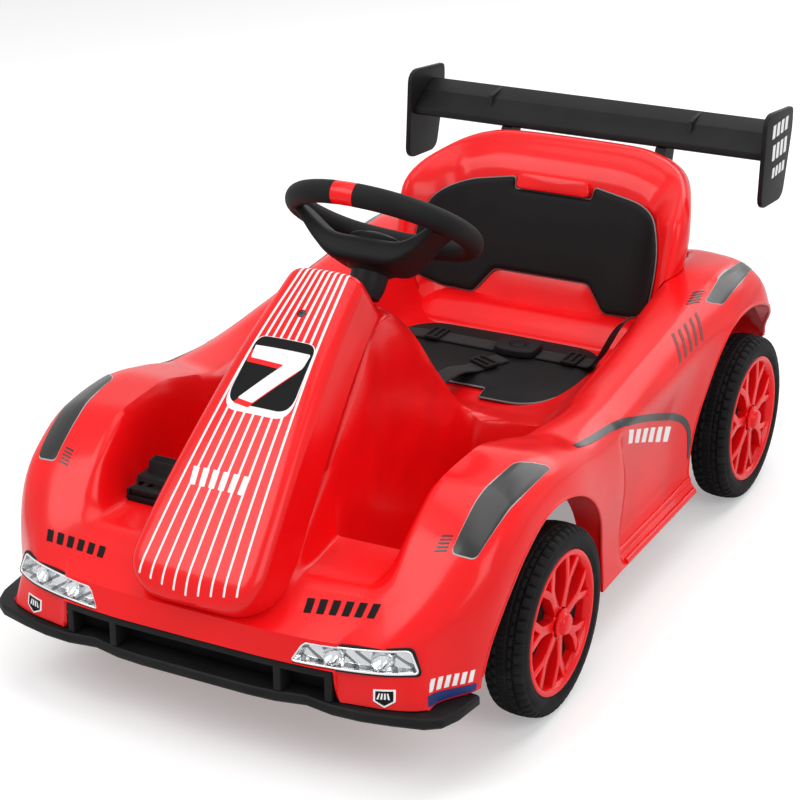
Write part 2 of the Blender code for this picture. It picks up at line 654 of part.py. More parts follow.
def make_body():
    g = body_grid()
    n = grid_normals(g)
    shell = skin(g, g - n * WALL)
    steps = []
    for side in (-1, 1):
        for y, start, end in ((FRONT_ARCH_Y, -9.5, 176), (REAR_ARCH_Y, 9, 188)):
            liner = boolean(arch_liner(y, side, start, end),
                            [("INTERSECT", solid_below(g - n * WALL * 0.5, 0.03))])
            steps.append(("UNION", liner))
    for side in (-1, 1):
        for y in (FRONT_ARCH_Y, REAR_ARCH_Y):
            steps.append(("DIFFERENCE", arch_cutter(y, side)))
    hole = lamp_outline(FIT)
    for side in (-1, 1):
        loops = [np.column_stack([hole[:, 0] * side, np.full(len(hole), y), hole[:, 1]]) for y in (-0.275, -0.170)]
        steps.append(("DIFFERENCE", loft(loops)))
    steps.append(("DIFFERENCE", rod(on_column(-0.16), on_column(-0.03), COLUMN_HOLE_R, 16)))
    steps.append(("DIFFERENCE", box(-0.3, 0.3, -0.3, -0.168, 0.05, LIP_TOP + GAP)))
    shell = boolean(shell, steps)
    return add("body_shell", largest_piece(shell), "red_gloss")


def column_axis():
    return Vector((0, sin(COLUMN_TILT), cos(COLUMN_TILT)))


def on_column(d):
    """A point on the column's axis, d above the steering wheel's centre."""
    return Vector((0, WHEEL_Y, WHEEL_Z)) + column_axis() * d


def cover_frame(u):
    """Point, tangent and outward normal of the nose cover's top line at a share of its length."""
    line = np.array(COVER_LINE)
    s = np.concatenate([[0], np.cumsum(np.linalg.norm(np.diff(line, axis=0), axis=1))])
    s = s / s[-1]
    at = np.array([u - 0.01, u, u + 0.01])
    y = hermite(s, line[:, 0], np.clip(at, 0, 1))
    z = hermite(s, line[:, 1], np.clip(at, 0, 1))
    t = np.array([0, y[2] - y[0], z[2] - z[0]])
    t = t / np.linalg.norm(t)
    return np.array([0, y[1], z[1]]), t, np.array([0, -t[2], t[1]])


def cover_section(u, inset):
    """U-shaped outline across the nose cover, as (x, y, z) from the left foot over the top to the right."""
    p, t, n = cover_frame(u)
    half = smooth(COVER_HALF, u) - inset
    a = np.radians([0, 45, 90])
    r = COVER_EDGE - inset
    side = [(half + 0.004, -COVER_DEPTH), (half + 0.002, -0.030)]
    corner = [(half - r + r * cos(q), -inset - r + r * sin(q)) for q in a]
    right = side + corner + [(half * 0.45, -inset + 0.0012), (0.0, -inset + 0.0018)]
    pts = [(-x, d) for x, d in right] + [(x, d) for x, d in right[-2::-1]]
    return np.array([p + np.array([x, 0, 0]) + n * d for x, d in pts])


def make_cover():
    """Outer and inner skins of the cover, closed at both ends and open below, then cut to sit on the body."""
    us = COVER_ENDS + [0.20, 0.40, 0.60, 0.80] + [1 - u * 0.45 for u in COVER_ENDS[::-1]]
    outer = []
    inner = []
    for u in us:
        end = u / COVER_ROUND[0] if u < 0.5 else (1 - u) / COVER_ROUND[1]
        shrink = (1 - (1 - min(end, 1.0)) ** COVER_POWER) ** (1 / COVER_POWER)
        shrink = COVER_TIP + (1 - COVER_TIP) * shrink
        dip = COVER_DIP * (1 - min(end * 1.6, 1.0)) ** 2
        for rows, inset in ((outer, 0.0), (inner, WALL)):
            p = cover_section(0.02 + 0.96 * u if inset else u, inset)
            p[:, 0] *= shrink
            _, _, n = cover_frame(u)
            rows.append(p - n * dip)
    shell = skin(np.array(outer), np.array(inner))
    for u, edge in ((us[0], outer[0]), (us[-1], outer[-1])):
        _, t, n = cover_frame(u)
        s = 1 if u == us[0] else -1
        wall = loft([edge, edge + t * s * WALL * 2])
        shell = boolean(shell, [("UNION", wall)])
    p, t, n = cover_frame(SCREW_T)
    hole = rod(p - n * 0.02, p + n * 0.02, SCREW_R + GAP, 8)
    recess = rod(p + n * 0.0002, p + n * 0.02, SCREW_HEAD_R + GAP * 2, 12)
    shell = boolean(shell, [("DIFFERENCE", body_envelope(2 * GAP)), ("DIFFERENCE", hole), ("DIFFERENCE", recess)])
    shell = largest_piece(shell)
    return add("nose_cover", shell, "red_gloss")


def largest_piece(bm):
    """Keep the largest connected piece, and drop slivers that a cut leaves."""
    left = set(bm.verts)
    groups = []
    while left:
        seed = left.pop()
        group = {seed}
        edge = [seed]
        while edge:
            v = edge.pop()
            for e in v.link_edges:
                w = e.other_vert(v)
                if w in left:
                    left.remove(w)
                    group.add(w)
                    edge.append(w)
        groups.append(group)
    groups.sort(key=len)
    for g in groups[:-1]:
        bmesh.ops.delete(bm, geom=list(g), context="VERTS")
    return bm


def make_nose_screw():
    p, t, n = cover_frame(SCREW_T)
    p = Vector(p)
    n = Vector(n)
    shank = rod(p - n * 0.014, p + n * 0.0010, SCREW_R, 8)
    head = rod(p + n * (0.0002 + GAP), p + n * 0.0016, SCREW_HEAD_R, 12)
    return add("nose_screw", boolean(shank, [("UNION", head)]), "steel")


def make_bumper():
    xs = np.linspace(-GRILLE_END, GRILLE_END, 13)
    loops = []
    for x in xs:
        y = float(front_plan(x)) - 0.0015
        loops.append([(x, y, LIP_TOP + GAP), (x, y + 0.001, GRILLE_TOP), (x, y + GRILLE_T, GRILLE_TOP),
                      (x, y + GRILLE_T, LIP_TOP + GAP)])
    bar = loft(loops)
    edges = [-GRILLE_END + MULLION_W, -MULLION_X - MULLION_W / 2, -MULLION_X + MULLION_W / 2]
    spans = [(edges[0], edges[1]), (edges[2], -edges[2]), (-edges[1], -edges[0])]
    steps = [("DIFFERENCE", box(a, b, -0.27, GRILLE_WALL_Y, LIP_TOP - 0.005, GRILLE_TOP - GRILLE_BAR)) for a, b in spans]
    return add("front_bumper", boolean(bar, steps), "black_satin")


def make_splitter():
    half = np.array([(x, smooth(LIP_LINE, x)) for x in np.linspace(0, 0.245, 9)] + LIP_LINE[7:])
    t = np.gradient(half, axis=0)
    n = np.column_stack([-t[:, 1], t[:, 0]])
    n /= np.linalg.norm(n, axis=1, keepdims=True)
    back = half + n * LIP_DEPTH
    back[:, 0] = np.minimum(np.maximum.accumulate(np.maximum(back[:, 0], 0)), 0.245)
    front = np.concatenate([half[:0:-1] * [-1, 1], half])
    rear = np.concatenate([back[:0:-1] * [-1, 1], back])
    loops = []
    for f, r in zip(front, rear):
        d = (r - f) / np.linalg.norm(r - f)
        a = f + d * 0.004
        loops.append([(*a, LIP_BOTTOM), (*f, LIP_BOTTOM + 0.004), (*f, LIP_TOP - 0.002), (*(f + d * 0.002), LIP_TOP),
                      (*r, LIP_TOP), (*r, LIP_BOTTOM)])
    return add("front_splitter", loft(loops), "black_satin")


def lamp_solid(front, back):
    g = lamp_face()
    x, z = g[..., 0], g[..., 1]
    y = front_plan(x) + 0.0035 - (0.1415 - z) * 0.27
    return skin(np.stack([x, y + front, z], axis=2), np.stack([x, y + back, z], axis=2))


def make_lamps():
    bowl = lamp_solid(LENS_T + GAP, LAMP_DEPTH)
    cells = []
    for x, z in ((0.195, 0.1425), (0.150, 0.1415)):
        y = float(front_plan(x)) + LENS_T + GAP
        cells.append(("DIFFERENCE", rod((x, y - 0.006, z), (x, y + 0.008, z), 0.0074, 10, 0.0040)))
    bowl = boolean(bowl, cells)
    lens = lamp_solid(-LENS_PROUD, LENS_T)
    other_bowl = mirrored(bowl)
    other_lens = mirrored(lens)
    add("headlight_bowl_left", bowl, "chrome")
    add("headlight_bowl_right", other_bowl, "chrome")
    add("headlight_lens_left", lens, "clear")
    add("headlight_lens_right", other_lens, "clear")


# Seat, pads and harness


def seat_frame():
    """Foot of the seat back's pad plane, its up direction and its forward normal."""
    up = np.array([0, SEAT_LEAN, 1.0])
    up /= np.linalg.norm(up)
    return np.array([0, SEAT_FOOT_Y, SEAT_FOOT_Z]), up, np.array([0, -up[2], up[1]])


def on_seat(x, h, d):
    """Point of the seat back at a width, a height up the pad plane and a depth forward of it."""
    foot, up, fwd = seat_frame()
    return foot + np.array([x, 0, 0]) + up * h + fwd * d


def seat_prism(outline, d0, d1):
    o = np.asarray(outline, float)
    return loft([np.array([on_seat(x, h, d) for x, h in o]) for d in (d0, d1)])


def inset(outline, by):
    """Move a convex outline inwards along its own normals."""
    o = np.asarray(outline, float)
    t = np.roll(o, -1, axis=0) - np.roll(o, 1, axis=0)
    n = np.column_stack([-t[:, 1], t[:, 0]])
    return o + n / np.linalg.norm(n, axis=1, keepdims=True) * by


def make_seat_back():
    right = np.array(SEAT_OUTLINE)
    outline = np.concatenate([right, right[::-1] * [-1, 1]])
    loops = []
    for by, extra in BORDER:
        o = inset(outline, by)
        side = ease((np.abs(outline[:, 0]) - 0.118) / 0.055) * ease((0.205 - outline[:, 1]) / 0.05)
        depth = side * smooth(WRAP, np.abs(o[:, 0])) + (1 - side) * smooth(ROLL, by) + extra
        if by == BORDER[-1][0]:
            depth = np.zeros(len(o))
        loops.append(np.array([on_seat(x, h, d) for (x, h), d in zip(o, depth)]))
    shell = loft(loops)
    bmesh.ops.triangulate(shell, faces=shell.faces)
    block = rounded([(-BLOCK_HALF, BLOCK_H[0]), (BLOCK_HALF, BLOCK_H[0]), (BLOCK_HALF - 0.004, BLOCK_H[1]),
                     (-BLOCK_HALF + 0.004, BLOCK_H[1])], 0.008, 2)
    hump = rounded([(-HUMP_HALF[0], HUMP_H[0]), (HUMP_HALF[0], HUMP_H[0]), (HUMP_HALF[1], HUMP_H[1]),
                    (-HUMP_HALF[1], HUMP_H[1])], 0.006, 2)
    shell = boolean(shell, [("UNION", seat_prism(block, -0.01, RAISED + 0.004)),
                            ("UNION", seat_prism(hump, -0.01, RAISED)),
                            ("DIFFERENCE", body_envelope(4 * GAP))])
    shell = largest_piece(shell)
    add("seat_back", shell.copy(), "red_gloss")
    return shell


def mirror_outline(half):
    """Close a right-hand half outline, first and last points on the middle line, with its mirror image."""
    half = np.asarray(half, float)
    return np.concatenate([half, (half * [-1, 1])[-2:0:-1]])


def make_back_pad(seat):
    """A slab that follows the wrapped back, trimmed to the pad's outline and notched for the raised block."""
    o = mirror_outline(BACK_PAD)
    corners = BACK_PAD_CORNERS + BACK_PAD_CORNERS[-2:0:-1]
    trim = seat_prism(rounded(o, corners, 2), -0.03, 0.12)
    xs = [0.0, 0.112, 0.122, 0.130, 0.137, 0.144, 0.151, 0.160, 0.172]
    xs = [-x for x in xs[:0:-1]] + xs
    rows = []
    for d in (-0.004, GAP + PAD_T):
        rows.append(np.array([[on_seat(x, h, smooth(WRAP, abs(x)) + d) for x in xs]
                              for h in (-0.03, 0.17)]))
    slab = skin(rows[1], rows[0])
    _, _, fwd = seat_frame()
    seat = move(seat, Matrix.Translation(fwd * 2 * GAP))
    pad = boolean(slab, [("INTERSECT", trim), ("DIFFERENCE", seat), ("DIFFERENCE", body_envelope(3 * GAP))])
    return add("back_pad", largest_piece(pad), "pad_black")


def make_seat_pad():
    front, rear = SEAT_PAD_Y
    half, depth = SEAT_PAD_NOTCH
    pts = [(0.0, rear + 0.002), (-0.110, rear), (-SEAT_PAD_HALF, rear - 0.045), (-SEAT_PAD_HALF, front + 0.060),
           (-0.108, front), (-half, front), (-half + 0.004, front + depth), (0.0, front + depth)]
    corners = [0, 0.03, 0.03, 0.045, 0.04, 0.003, 0.004, 0]
    o = np.array(pts)
    o = np.concatenate([o, (o * [-1, 1])[-2:0:-1]])
    o = rounded(o, corners + corners[-2:0:-1], 2)
    base = 0.180
    top = SEAT_PAN_Z + SEAT_PAD_T
    loops = []
    for by, z in ((0.0, base), (0.0, top - 0.004), (0.003, top)):
        p = inset(o, by)
        loops.append(np.column_stack([p, np.full(len(p), z)]))
    mid = (front + rear) / 2
    loops.append(np.column_stack([o[:, 0] * 0.7, mid + (o[:, 1] - mid) * 0.7, np.full(len(o), top + 0.002)]))
    pad = boolean(loft(loops), [("DIFFERENCE", body_envelope(2 * GAP))])
    return add("seat_pad", largest_piece(pad), "pad_black")


def ribbon(path, width, thickness):
    """A flat strap along a path of (x, y, z, tilt): its width lies across the path, turned by the tilt."""
    p = np.array([q[:3] for q in path], float)
    tilt = np.array([q[3] for q in path], float)
    t = np.gradient(p, axis=0)
    t /= np.linalg.norm(t, axis=1, keepdims=True)
    side = np.cross(t, [0, 0, 1.0])
    side /= np.linalg.norm(side, axis=1, keepdims=True)
    up = np.cross(side, t)
    a = np.radians(tilt)[:, None]
    w = side * np.cos(a) + up * np.sin(a)
    n = np.cross(w, t)
    loops = [[q - u * width / 2 - v * thickness / 2, q + u * width / 2 - v * thickness / 2,
              q + u * width / 2 + v * thickness / 2, q - u * width / 2 + v * thickness / 2]
             for q, u, v in zip(p, w, n)]
    return loft(loops)


def spread(route, n):
    """Read n places off a smooth curve through the route's points."""
    r = np.array(route, float)
    s = np.concatenate([[0], np.cumsum(np.linalg.norm(np.diff(r[:, :3], axis=0), axis=1))])
    at = np.linspace(0, s[-1], n)
    return np.stack([hermite(s, r[:, c], at) for c in range(4)], axis=1)


def drape(route, n):
    """Lay a strap's route on the body and the seat pad: the height at each place clears the whole width there."""
    tree = BVHTree.FromBMesh(body_envelope(0.0))
    r = np.array(route, float)
    r = spread(np.column_stack([r, np.zeros((len(r), 2))]), n)
    for p in r:
        heights = [tree.ray_cast(Vector((p[0] + dx, p[1] + dy, 0.5)), Vector((0, 0, -1)))[0].z
                   for dx in (-0.009, 0, 0.009) for dy in (-BELT_W / 2, 0, BELT_W / 2)]
        p[2] = max(max(heights) + BELT_T / 2 + STRAP_LIFT, PAD_TOP)
    return r


def make_harness():
    add("harness_belt_right", ribbon(drape(RIGHT_BELT, 16), BELT_W, BELT_T), "webbing")
    add("harness_belt_left", ribbon(drape(LEFT_BELT, 11), BELT_W, BELT_T), "webbing")
    add("harness_crotch_strap", ribbon(spread(CROTCH_BELT, 14), BELT_W, BELT_T), "webbing")
    x, y = BUCKLE
    w, d, t = BUCKLE_SIZE
    z0 = PAD_TOP - BELT_T / 2
    z1 = z0 + t
    body = rounded([(-w / 2, -d / 2 + 0.006), (-w / 4, -d / 2), (w / 4, -d / 2), (w / 2, -d / 2 + 0.006),
                    (w / 2, d / 2 - 0.004), (-w / 2, d / 2 - 0.004)], 0.004, 2) + [x, y]
    buckle = prism(body, z0, z1)
    well = rod((x, y, z1 - BUTTON_TRAVEL - 0.0025), (x, y, z1 + 0.01), BUCKLE_BUTTON_R + FIT, 20)
    add("harness_buckle", boolean(buckle, [("DIFFERENCE", well)]), "black_satin")
    z = z1 - 0.001
    profile = [(BUCKLE_BUTTON_R, z - 0.0015), (BUCKLE_BUTTON_R, z + 0.0012), (BUCKLE_BUTTON_R - 0.002, z + 0.0022)]
    button = move(loft(turned(profile, 20)), Matrix.Translation((x, y, 0)))
    add("buckle_button", button, "black_satin", pivot=(x, y, z))
    for name, (ax, ay, turn) in ADJUSTERS.items():
        frame = box(-0.010, 0.010, -0.0165, 0.0165, BELT_T / 2 + GAP, BELT_T / 2 + GAP + 0.0032, 0.0008)
        place = Matrix.Translation((ax, ay, PAD_TOP)) @ Matrix.Rotation(radians(turn), 4, "Z")
        add("strap_adjuster_" + name, move(frame, place), "black_satin")


# Rear wing


def wing_section(x, drop=0.0):
    """The blade's section across its chord: a front plank and a rear plank that step up along a crease."""
    (fy, fz), (sy, sz), (ry, rz) = WING_FRONT, WING_STEP, WING_REAR
    top = [(fy + 0.002, fz + 0.010), (sy - 0.002, sz + 0.004), (sy, sz + 0.0065), (ry - 0.002, rz + 0.001), (ry, rz - 0.002)]
    bottom = [(ry - 0.004, rz - 0.006), (sy, sz - 0.004), (fy + 0.004, fz), (fy, fz + 0.003)]
    return [(x, y, z) for y, z in top + bottom]


def make_wing():
    xs = [-WING_HALF + PLATE_T + GAP, -0.12, 0.0, 0.12, WING_HALF - PLATE_T - GAP]
    blade = loft([wing_section(x) for x in xs])
    fins = []
    for side in (-1, 1):
        (fy, fz), (sy, sz), (ry, rz) = WING_FRONT, WING_STEP, WING_REAR
        fin = [(fy + 0.012, fz + 0.012), (sy - 0.008, sz + 0.012), (sy + 0.006, sz + 0.014), (ry - 0.008, rz + 0.001),
               (ry - 0.010, rz - 0.004), (sy, sz - 0.001)]
        x = side * FIN_X
        fins.append(("UNION", loft([[(x + dx, y, z) for y, z in fin] for dx in (-0.0025, 0.0025)])))
    add("wing_blade", boolean(blade, fins), "black_satin")
    o = rounded(END_PLATE, END_PLATE_CORNERS, 2)
    x1 = WING_HALF
    x0 = WING_HALF - PLATE_T
    left = loft([[(x, y, z) for y, z in o] for x in (x0, x1)])
    right = mirrored(left)
    add("wing_end_plate_left", left, "black_satin")
    add("wing_end_plate_right", right, "black_satin")
    for side, name in ((1, "left"), (-1, "right")):
        x = side * WING_POST_X
        bm = loft([[(x + dx, y, z) for y, z in WING_POST] for dx in (-WING_POST_T / 2, WING_POST_T / 2)])
        bm = boolean(bm, [("DIFFERENCE", body_envelope(GAP)), ("DIFFERENCE", loft(wing_clearance()))])
        add("wing_post_" + name, largest_piece(bm), "black_satin")


def wing_clearance():
    """The blade's own outline grown by the gap, for what carries it from below."""
    loops = []
    for x in (-0.3, 0.3):
        p = np.array(wing_section(x))
        c = p.mean(axis=0)
        d = p - c
        length = np.linalg.norm(d[:, 1:], axis=1, keepdims=True)
        p[:, 1:] = c[1:] + d[:, 1:] * (1 + 0.0008 / length)
        loops.append(p)
    return loops


# Steering


def steering_matrix():
    """Carry local +Z onto the column's axis, with the local origin at the wheel's centre."""
    turn = Matrix.Rotation(-COLUMN_TILT, 4, "X") @ Matrix.Rotation(pi, 4, "Z")
    return Matrix.Translation((0, WHEEL_Y, WHEEL_Z)) @ turn


def make_steering():
    place = steering_matrix()
    rim = loft(ring_loops(GRIP_R))
    hubs = []
    for spoke in (make_spoke(1), make_spoke(-1), make_lower_spoke()):
        hubs.append(("UNION", spoke))
    neck = loft(turned([(0.0165, NECK_END), (0.0195, -0.074), (0.0205, -0.058), (0.0312, -0.0505), (0.0312, NECK_TOP)], 16))
    hub = boolean(neck, hubs + [("DIFFERENCE", loft(ring_loops(GRIP_R + 2 * GAP), closed=True)),
                                ("DIFFERENCE", rod((0, 0, -0.13), (0, 0, -0.060), SHAFT_R + GAP, 12)),
                                ("DIFFERENCE", rod((0, 0, HORN_Z - 0.0045 - HORN_TRAVEL), (0, 0, 0.02),
                                                   HORN_R + FIT, 24))])
    add("steering_wheel_grip", move(rim, place), "black_satin", pivot=on_column(0))
    add("steering_hub", move(largest_piece(hub), place), "black_satin", pivot=on_column(0))
    b0 = radians(90 - BAND_DEG / 2) + GAP / GRIP_RING_R
    b1 = radians(90 + BAND_DEG / 2) - GAP / GRIP_RING_R
    loops = []
    for q in np.linspace(b0, b1, 5):
        c = np.array([cos(q), sin(q), 0])
        loops.append([c * GRIP_RING_R + c * (GRIP_R - 0.0002) * cos(s) * 0.92 + np.array([0, 0, (GRIP_R - 0.0002) * sin(s)])
                      for s in np.arange(8) * 2 * pi / 8])
    add("steering_wheel_band", move(loft(loops), place), "red_gloss", pivot=on_column(0))
    horn = loft(turned([(HORN_R, HORN_Z - 0.0040), (HORN_R, HORN_Z), (HORN_R - 0.004, HORN_Z + 0.0025)], 24))
    add("horn_button", move(horn, place), "black_satin", pivot=on_column(HORN_Z))
    shaft = rod((0, 0, -SHAFT_LEN), (0, 0, -0.0605), SHAFT_R, 12)
    crank = box(-0.007, 0.007, -0.008, CRANK_R + 0.007, -SHAFT_LEN + 0.004, -SHAFT_LEN + 0.010, 0.0)
    pin = rod((0, CRANK_R, -SHAFT_LEN - 0.012), (0, CRANK_R, -SHAFT_LEN + 0.006), PIN_R, 10)
    shaft = boolean(shaft, [("UNION", crank), ("UNION", pin)])
    add("steering_shaft", move(shaft, place), "steel", pivot=on_column(0))


def ring_loops(radius):
    """Sections of the wheel's rim from one end of the red band round to the other, flattened at the bottom."""
    loops = []
    for q in np.radians(np.linspace(90 + BAND_DEG / 2, 450 - BAND_DEG / 2, RING_STEPS)):
        flat = 1 - 0.10 * float(ease((-sin(q) - 0.55) / 0.45))
        c = np.array([cos(q), sin(q) * flat, 0]) * GRIP_RING_R
        out = np.array([cos(q), sin(q), 0])
        loops.append([c + out * radius * cos(s) * 0.92 + np.array([0, 0, radius * sin(s)])
                      for s in np.arange(8) * 2 * pi / 8])
    return loops


def make_spoke(side):
    """A side spoke: a deep dished arm from the hub out and up to the grip, angled to the upper corner."""
    loops = []
    for x, y, w, z0, z1 in SPOKE_ARM:
        loops.append([(side * x, y - w / 2, z0), (side * x, y + w / 2, z0), (side * x, y + w / 2, z1),
                      (side * x, y - w / 2, z1)])
    return loft(loops)


def make_lower_spoke():
    loops = []
    for y, w, z0, z1 in LOWER_ARM:
        loops.append([(-w / 2, y, z0), (w / 2, y, z0), (w / 2, y, z1), (-w / 2, y, z1)])
    return loft(loops)


# Front axle and steering linkage


def make_front_axle():
    beam = box(-BEAM_HALF_X, BEAM_HALF_X, -BEAM_HALF_Y, BEAM_HALF_Y, *BEAM_Z, 0.003)
    steps = []
    for side in (-1, 1):
        pad = box(side * 0.105 - 0.022, side * 0.105 + 0.022, -0.013, 0.013, BEAM_Z[1] - 0.004, FLOOR_UNDER)
        steps.append(("UNION", boolean(pad, [("DIFFERENCE", shell_wall())])))
    for side in (-1, 1):
        x = side * KINGPIN_X
        steps.append(("UNION", rod((x, 0, BEAM_Z[1] - 0.010), (x, 0, SLEEVE_Z[1] + 0.003), KINGPIN_R, 12)))
        steps.append(("UNION", rod((x, 0, SLEEVE_Z[1] + GAP), (x, 0, SLEEVE_Z[1] + 0.004), 0.0085, 12)))
    add("front_axle_beam", boolean(beam, steps), "black_satin")


def make_knuckle(side, name):
    x = side * KINGPIN_X
    sleeve = rod((x, 0, SLEEVE_Z[0]), (x, 0, SLEEVE_Z[1]), SLEEVE_R, 14)
    stub = rod((x + side * 0.004, 0, AXLE_Z), (side * (FRONT_OUT - 0.0085), 0, AXLE_Z), AXLE_R, 12)
    flange = rod((x + side * 0.004, 0, AXLE_Z), (side * (FRONT_OUT - TYRE_W + HUB_IN - GAP), 0, AXLE_Z), 0.010, 12)
    arm = prism([(x - 0.007, -ARM_R - 0.007), (x + 0.007, -ARM_R - 0.007), (x + 0.010, -0.002), (x - 0.010, -0.002)],
                SLEEVE_Z[0], SLEEVE_Z[0] + 0.0046)
    pin = rod((x, -ARM_R, ROD_Z[0] - 0.002), (x, -ARM_R, SLEEVE_Z[0] + 0.003), PIN_R, 10)
    bore = rod((x, 0, 0.07), (x, 0, 0.14), KINGPIN_R + FIT, 12)
    bm = boolean(sleeve, [("UNION", stub), ("UNION", flange), ("UNION", arm), ("UNION", pin), ("DIFFERENCE", bore)])
    add("steering_knuckle_" + name, bm, "steel", pivot=(x, 0, AXLE_Z))


def make_tie_rod():
    bar = box(-KINGPIN_X - 0.011, KINGPIN_X + 0.011, -ARM_R - 0.0085, -ARM_R + 0.0085, *ROD_Z)
    base = np.array([WHEEL_Y, WHEEL_Z]) + np.array([sin(COLUMN_TILT), cos(COLUMN_TILT)]) * (-SHAFT_LEN - 0.0055)
    e = np.array([-cos(COLUMN_TILT), sin(COLUMN_TILT)])
    path = np.array([(-ARM_R + 0.004, (ROD_Z[0] + ROD_Z[1]) / 2), (-ARM_R - 0.018, ROD_Z[1] - 0.0012),
                     tuple(base + e * 0.002), tuple(base + e * (CRANK_R + 0.012))])
    t = np.gradient(path, axis=0)
    n = np.column_stack([-t[:, 1], t[:, 0]])
    n /= np.linalg.norm(n, axis=1, keepdims=True)
    upper = path + n * 0.0014
    lower = path - n * 0.0014
    outline = np.concatenate([upper, lower[::-1]])
    tab = loft([np.column_stack([np.full(len(outline), x), outline]) for x in (-0.011, 0.011)])
    steps = [("UNION", tab)]
    for x in (-KINGPIN_X, KINGPIN_X):
        w = PIN_R + TIE_CLEAR
        slot = rounded([(x - w, -ARM_R - SLOT_LONG / 2 - 0.001), (x + w, -ARM_R - SLOT_LONG / 2 - 0.001),
                        (x + w, -ARM_R + SLOT_LONG), (x - w, -ARM_R + SLOT_LONG)], 0.002, 2)
        steps.append(("DIFFERENCE", prism(slot, 0.06, 0.085)))
    w = PIN_R + TIE_CLEAR
    slot = rounded([(-w, CRANK_R - SLOT_LONG - PIN_R), (w, CRANK_R - SLOT_LONG - PIN_R), (w, CRANK_R + PIN_R + 0.001),
                    (-w, CRANK_R + PIN_R + 0.001)], 0.002, 2)
    steps.append(("DIFFERENCE", move(prism(slot, -SHAFT_LEN - 0.012, -SHAFT_LEN - 0.001), steering_matrix())))
    add("tie_rod", boolean(bar, steps), "steel", pivot=(0, -ARM_R, ROD_Z[0]))


def make_column_bracket():
    centre = on_column(BUSH_D)
    half = column_axis() * 0.006
    ring = rod(centre - half, centre + half, 0.0150, 18)
    leg = [(-0.014, BEAM_Z[1] + GAP), (0.014, BEAM_Z[1] + GAP), (-0.034, 0.1340), (-0.050, 0.1265)]
    leg = loft([[(x, y, z) for y, z in leg] for x in (-0.0125, 0.0125)])
    foot = box(-0.030, 0.030, -0.013, 0.014, BEAM_Z[1] + GAP, FLOOR_UNDER - 2 * GAP)
    bore = rod(centre - half * 4, centre + half * 4, SHAFT_R + GAP * 2, 16)
    add("column_bracket", boolean(ring, [("UNION", leg), ("UNION", foot), ("DIFFERENCE", bore)]), "black_satin")


# Wheels


def tyre_mesh():
    n = TYRE_LUGS * 2
    w = TYRE_W
    profile = [(RIM_BARREL_R + GAP, 0.0012), (RIM_BARREL_R + GAP, w - 0.0104), (RIM_R + GAP, w - 0.0104),
               (RIM_R + GAP, w - 0.0020), (0.086, w), (0.0960, w - 0.003), (TYRE_R, w - 0.012), (TYRE_R, 0.012),
               (0.0960, 0.003), (0.080, 0.0)]
    lugs = {5: (-LUG_DEPTH, -0.001), 8: (-LUG_DEPTH, 0.001)}
    loops = []
    for k, (r, z) in enumerate(profile):
        p = np.column_stack([ring_points(r, n), np.full(n, z)])
        if k in lugs:
            dr, dz = lugs[k]
            p[1::2, :2] *= (r + dr) / r
            p[1::2, 2] += dz
        loops.append(p)
    return loft(loops, closed=True)


def polar(r, a):
    return (r * cos(a), r * sin(a))


def rim_mesh():
    """Forked spokes cut from a disc, on a barrel that the tyre sits on."""
    face = TYRE_W - SPOKE_SET_IN
    n = SPOKES * 4
    disc = loft(turned([(RIM_BARREL_R - 0.001, face - SPOKE_T), (RIM_BARREL_R - 0.001, face)], n))
    inner = RIM_R - 0.0078
    arm = 0.0032 / inner
    pitch = 2 * pi / SPOKES
    cutters = []
    for k in range(SPOKES):
        a = k * pitch
        wedge = [polar(FORK_R + 0.0085, a), polar(inner, a - FORK_SPREAD + arm), polar(inner, a + FORK_SPREAD - arm)]
        stem = SPOKE_HALF / FORK_R
        gap = [polar(HUB_R + 0.0040, a + pitch / 2), polar(FORK_R - 0.002, a + stem), polar(inner, a + FORK_SPREAD + arm),
               polar(inner, a + pitch - FORK_SPREAD - arm), polar(FORK_R - 0.002, a + pitch - stem)]
        cutters += [prism(wedge, -0.01, TYRE_W + 0.01), prism(gap, -0.01, TYRE_W + 0.01)]
    barrel = loft(turned([(RIM_BARREL_R - RIM_WALL, 0.0008), (RIM_BARREL_R, 0.0008), (RIM_BARREL_R, TYRE_W - 0.0101),
                          (RIM_R, TYRE_W - 0.0101), (RIM_R, TYRE_W - 0.0012), (RIM_R - 0.0060, TYRE_W - 0.0012),
                          (RIM_BARREL_R - RIM_WALL, face - 0.004)], n), closed=True)
    hub = loft(turned([(HUB_R, HUB_IN), (HUB_R, TYRE_W - 0.0045)], SPOKES * 2))
    bore = rod((0, 0, -0.02), (0, 0, TYRE_W + 0.02), HUB_BORE_R, 12)
    return boolean(disc, [("DIFFERENCE", merge(*cutters)), ("UNION", barrel), ("UNION", hub), ("DIFFERENCE", bore)])


def cap_mesh():
    z = TYRE_W - 0.0045 + GAP
    profile = [(CAP_R, z), (CAP_R, z + 0.0030), (0.0118, z + 0.0040), (0.0114, z + 0.0070), (0.0060, z + 0.0102)]
    return loft(turned(profile, 12))


def make_wheels():
    tyre = tyre_mesh()
    rim = rim_mesh()
    cap = cap_mesh()
    places = [("front_left", 1, FRONT_OUT, 0.0), ("front_right", -1, FRONT_OUT, 0.0),
              ("rear_left", 1, REAR_OUT, WHEEL_BASE), ("rear_right", -1, REAR_OUT, WHEEL_BASE)]
    for name, side, out, y in places:
        place = along_x(side * (out - TYRE_W), y, AXLE_Z, flip=side < 0)
        centre = (side * (out - TYRE_W / 2), y, AXLE_Z)
        add("tyre_" + name, move(tyre.copy(), place), "rubber", pivot=centre)
        add("rim_" + name, move(rim.copy(), place), "red_gloss", pivot=centre)
        add("hub_cap_" + name, move(cap.copy(), place), "red_gloss", pivot=centre)
    for bm in (tyre, rim, cap):
        bm.free()


# Rear axle, drives and what the pan carries


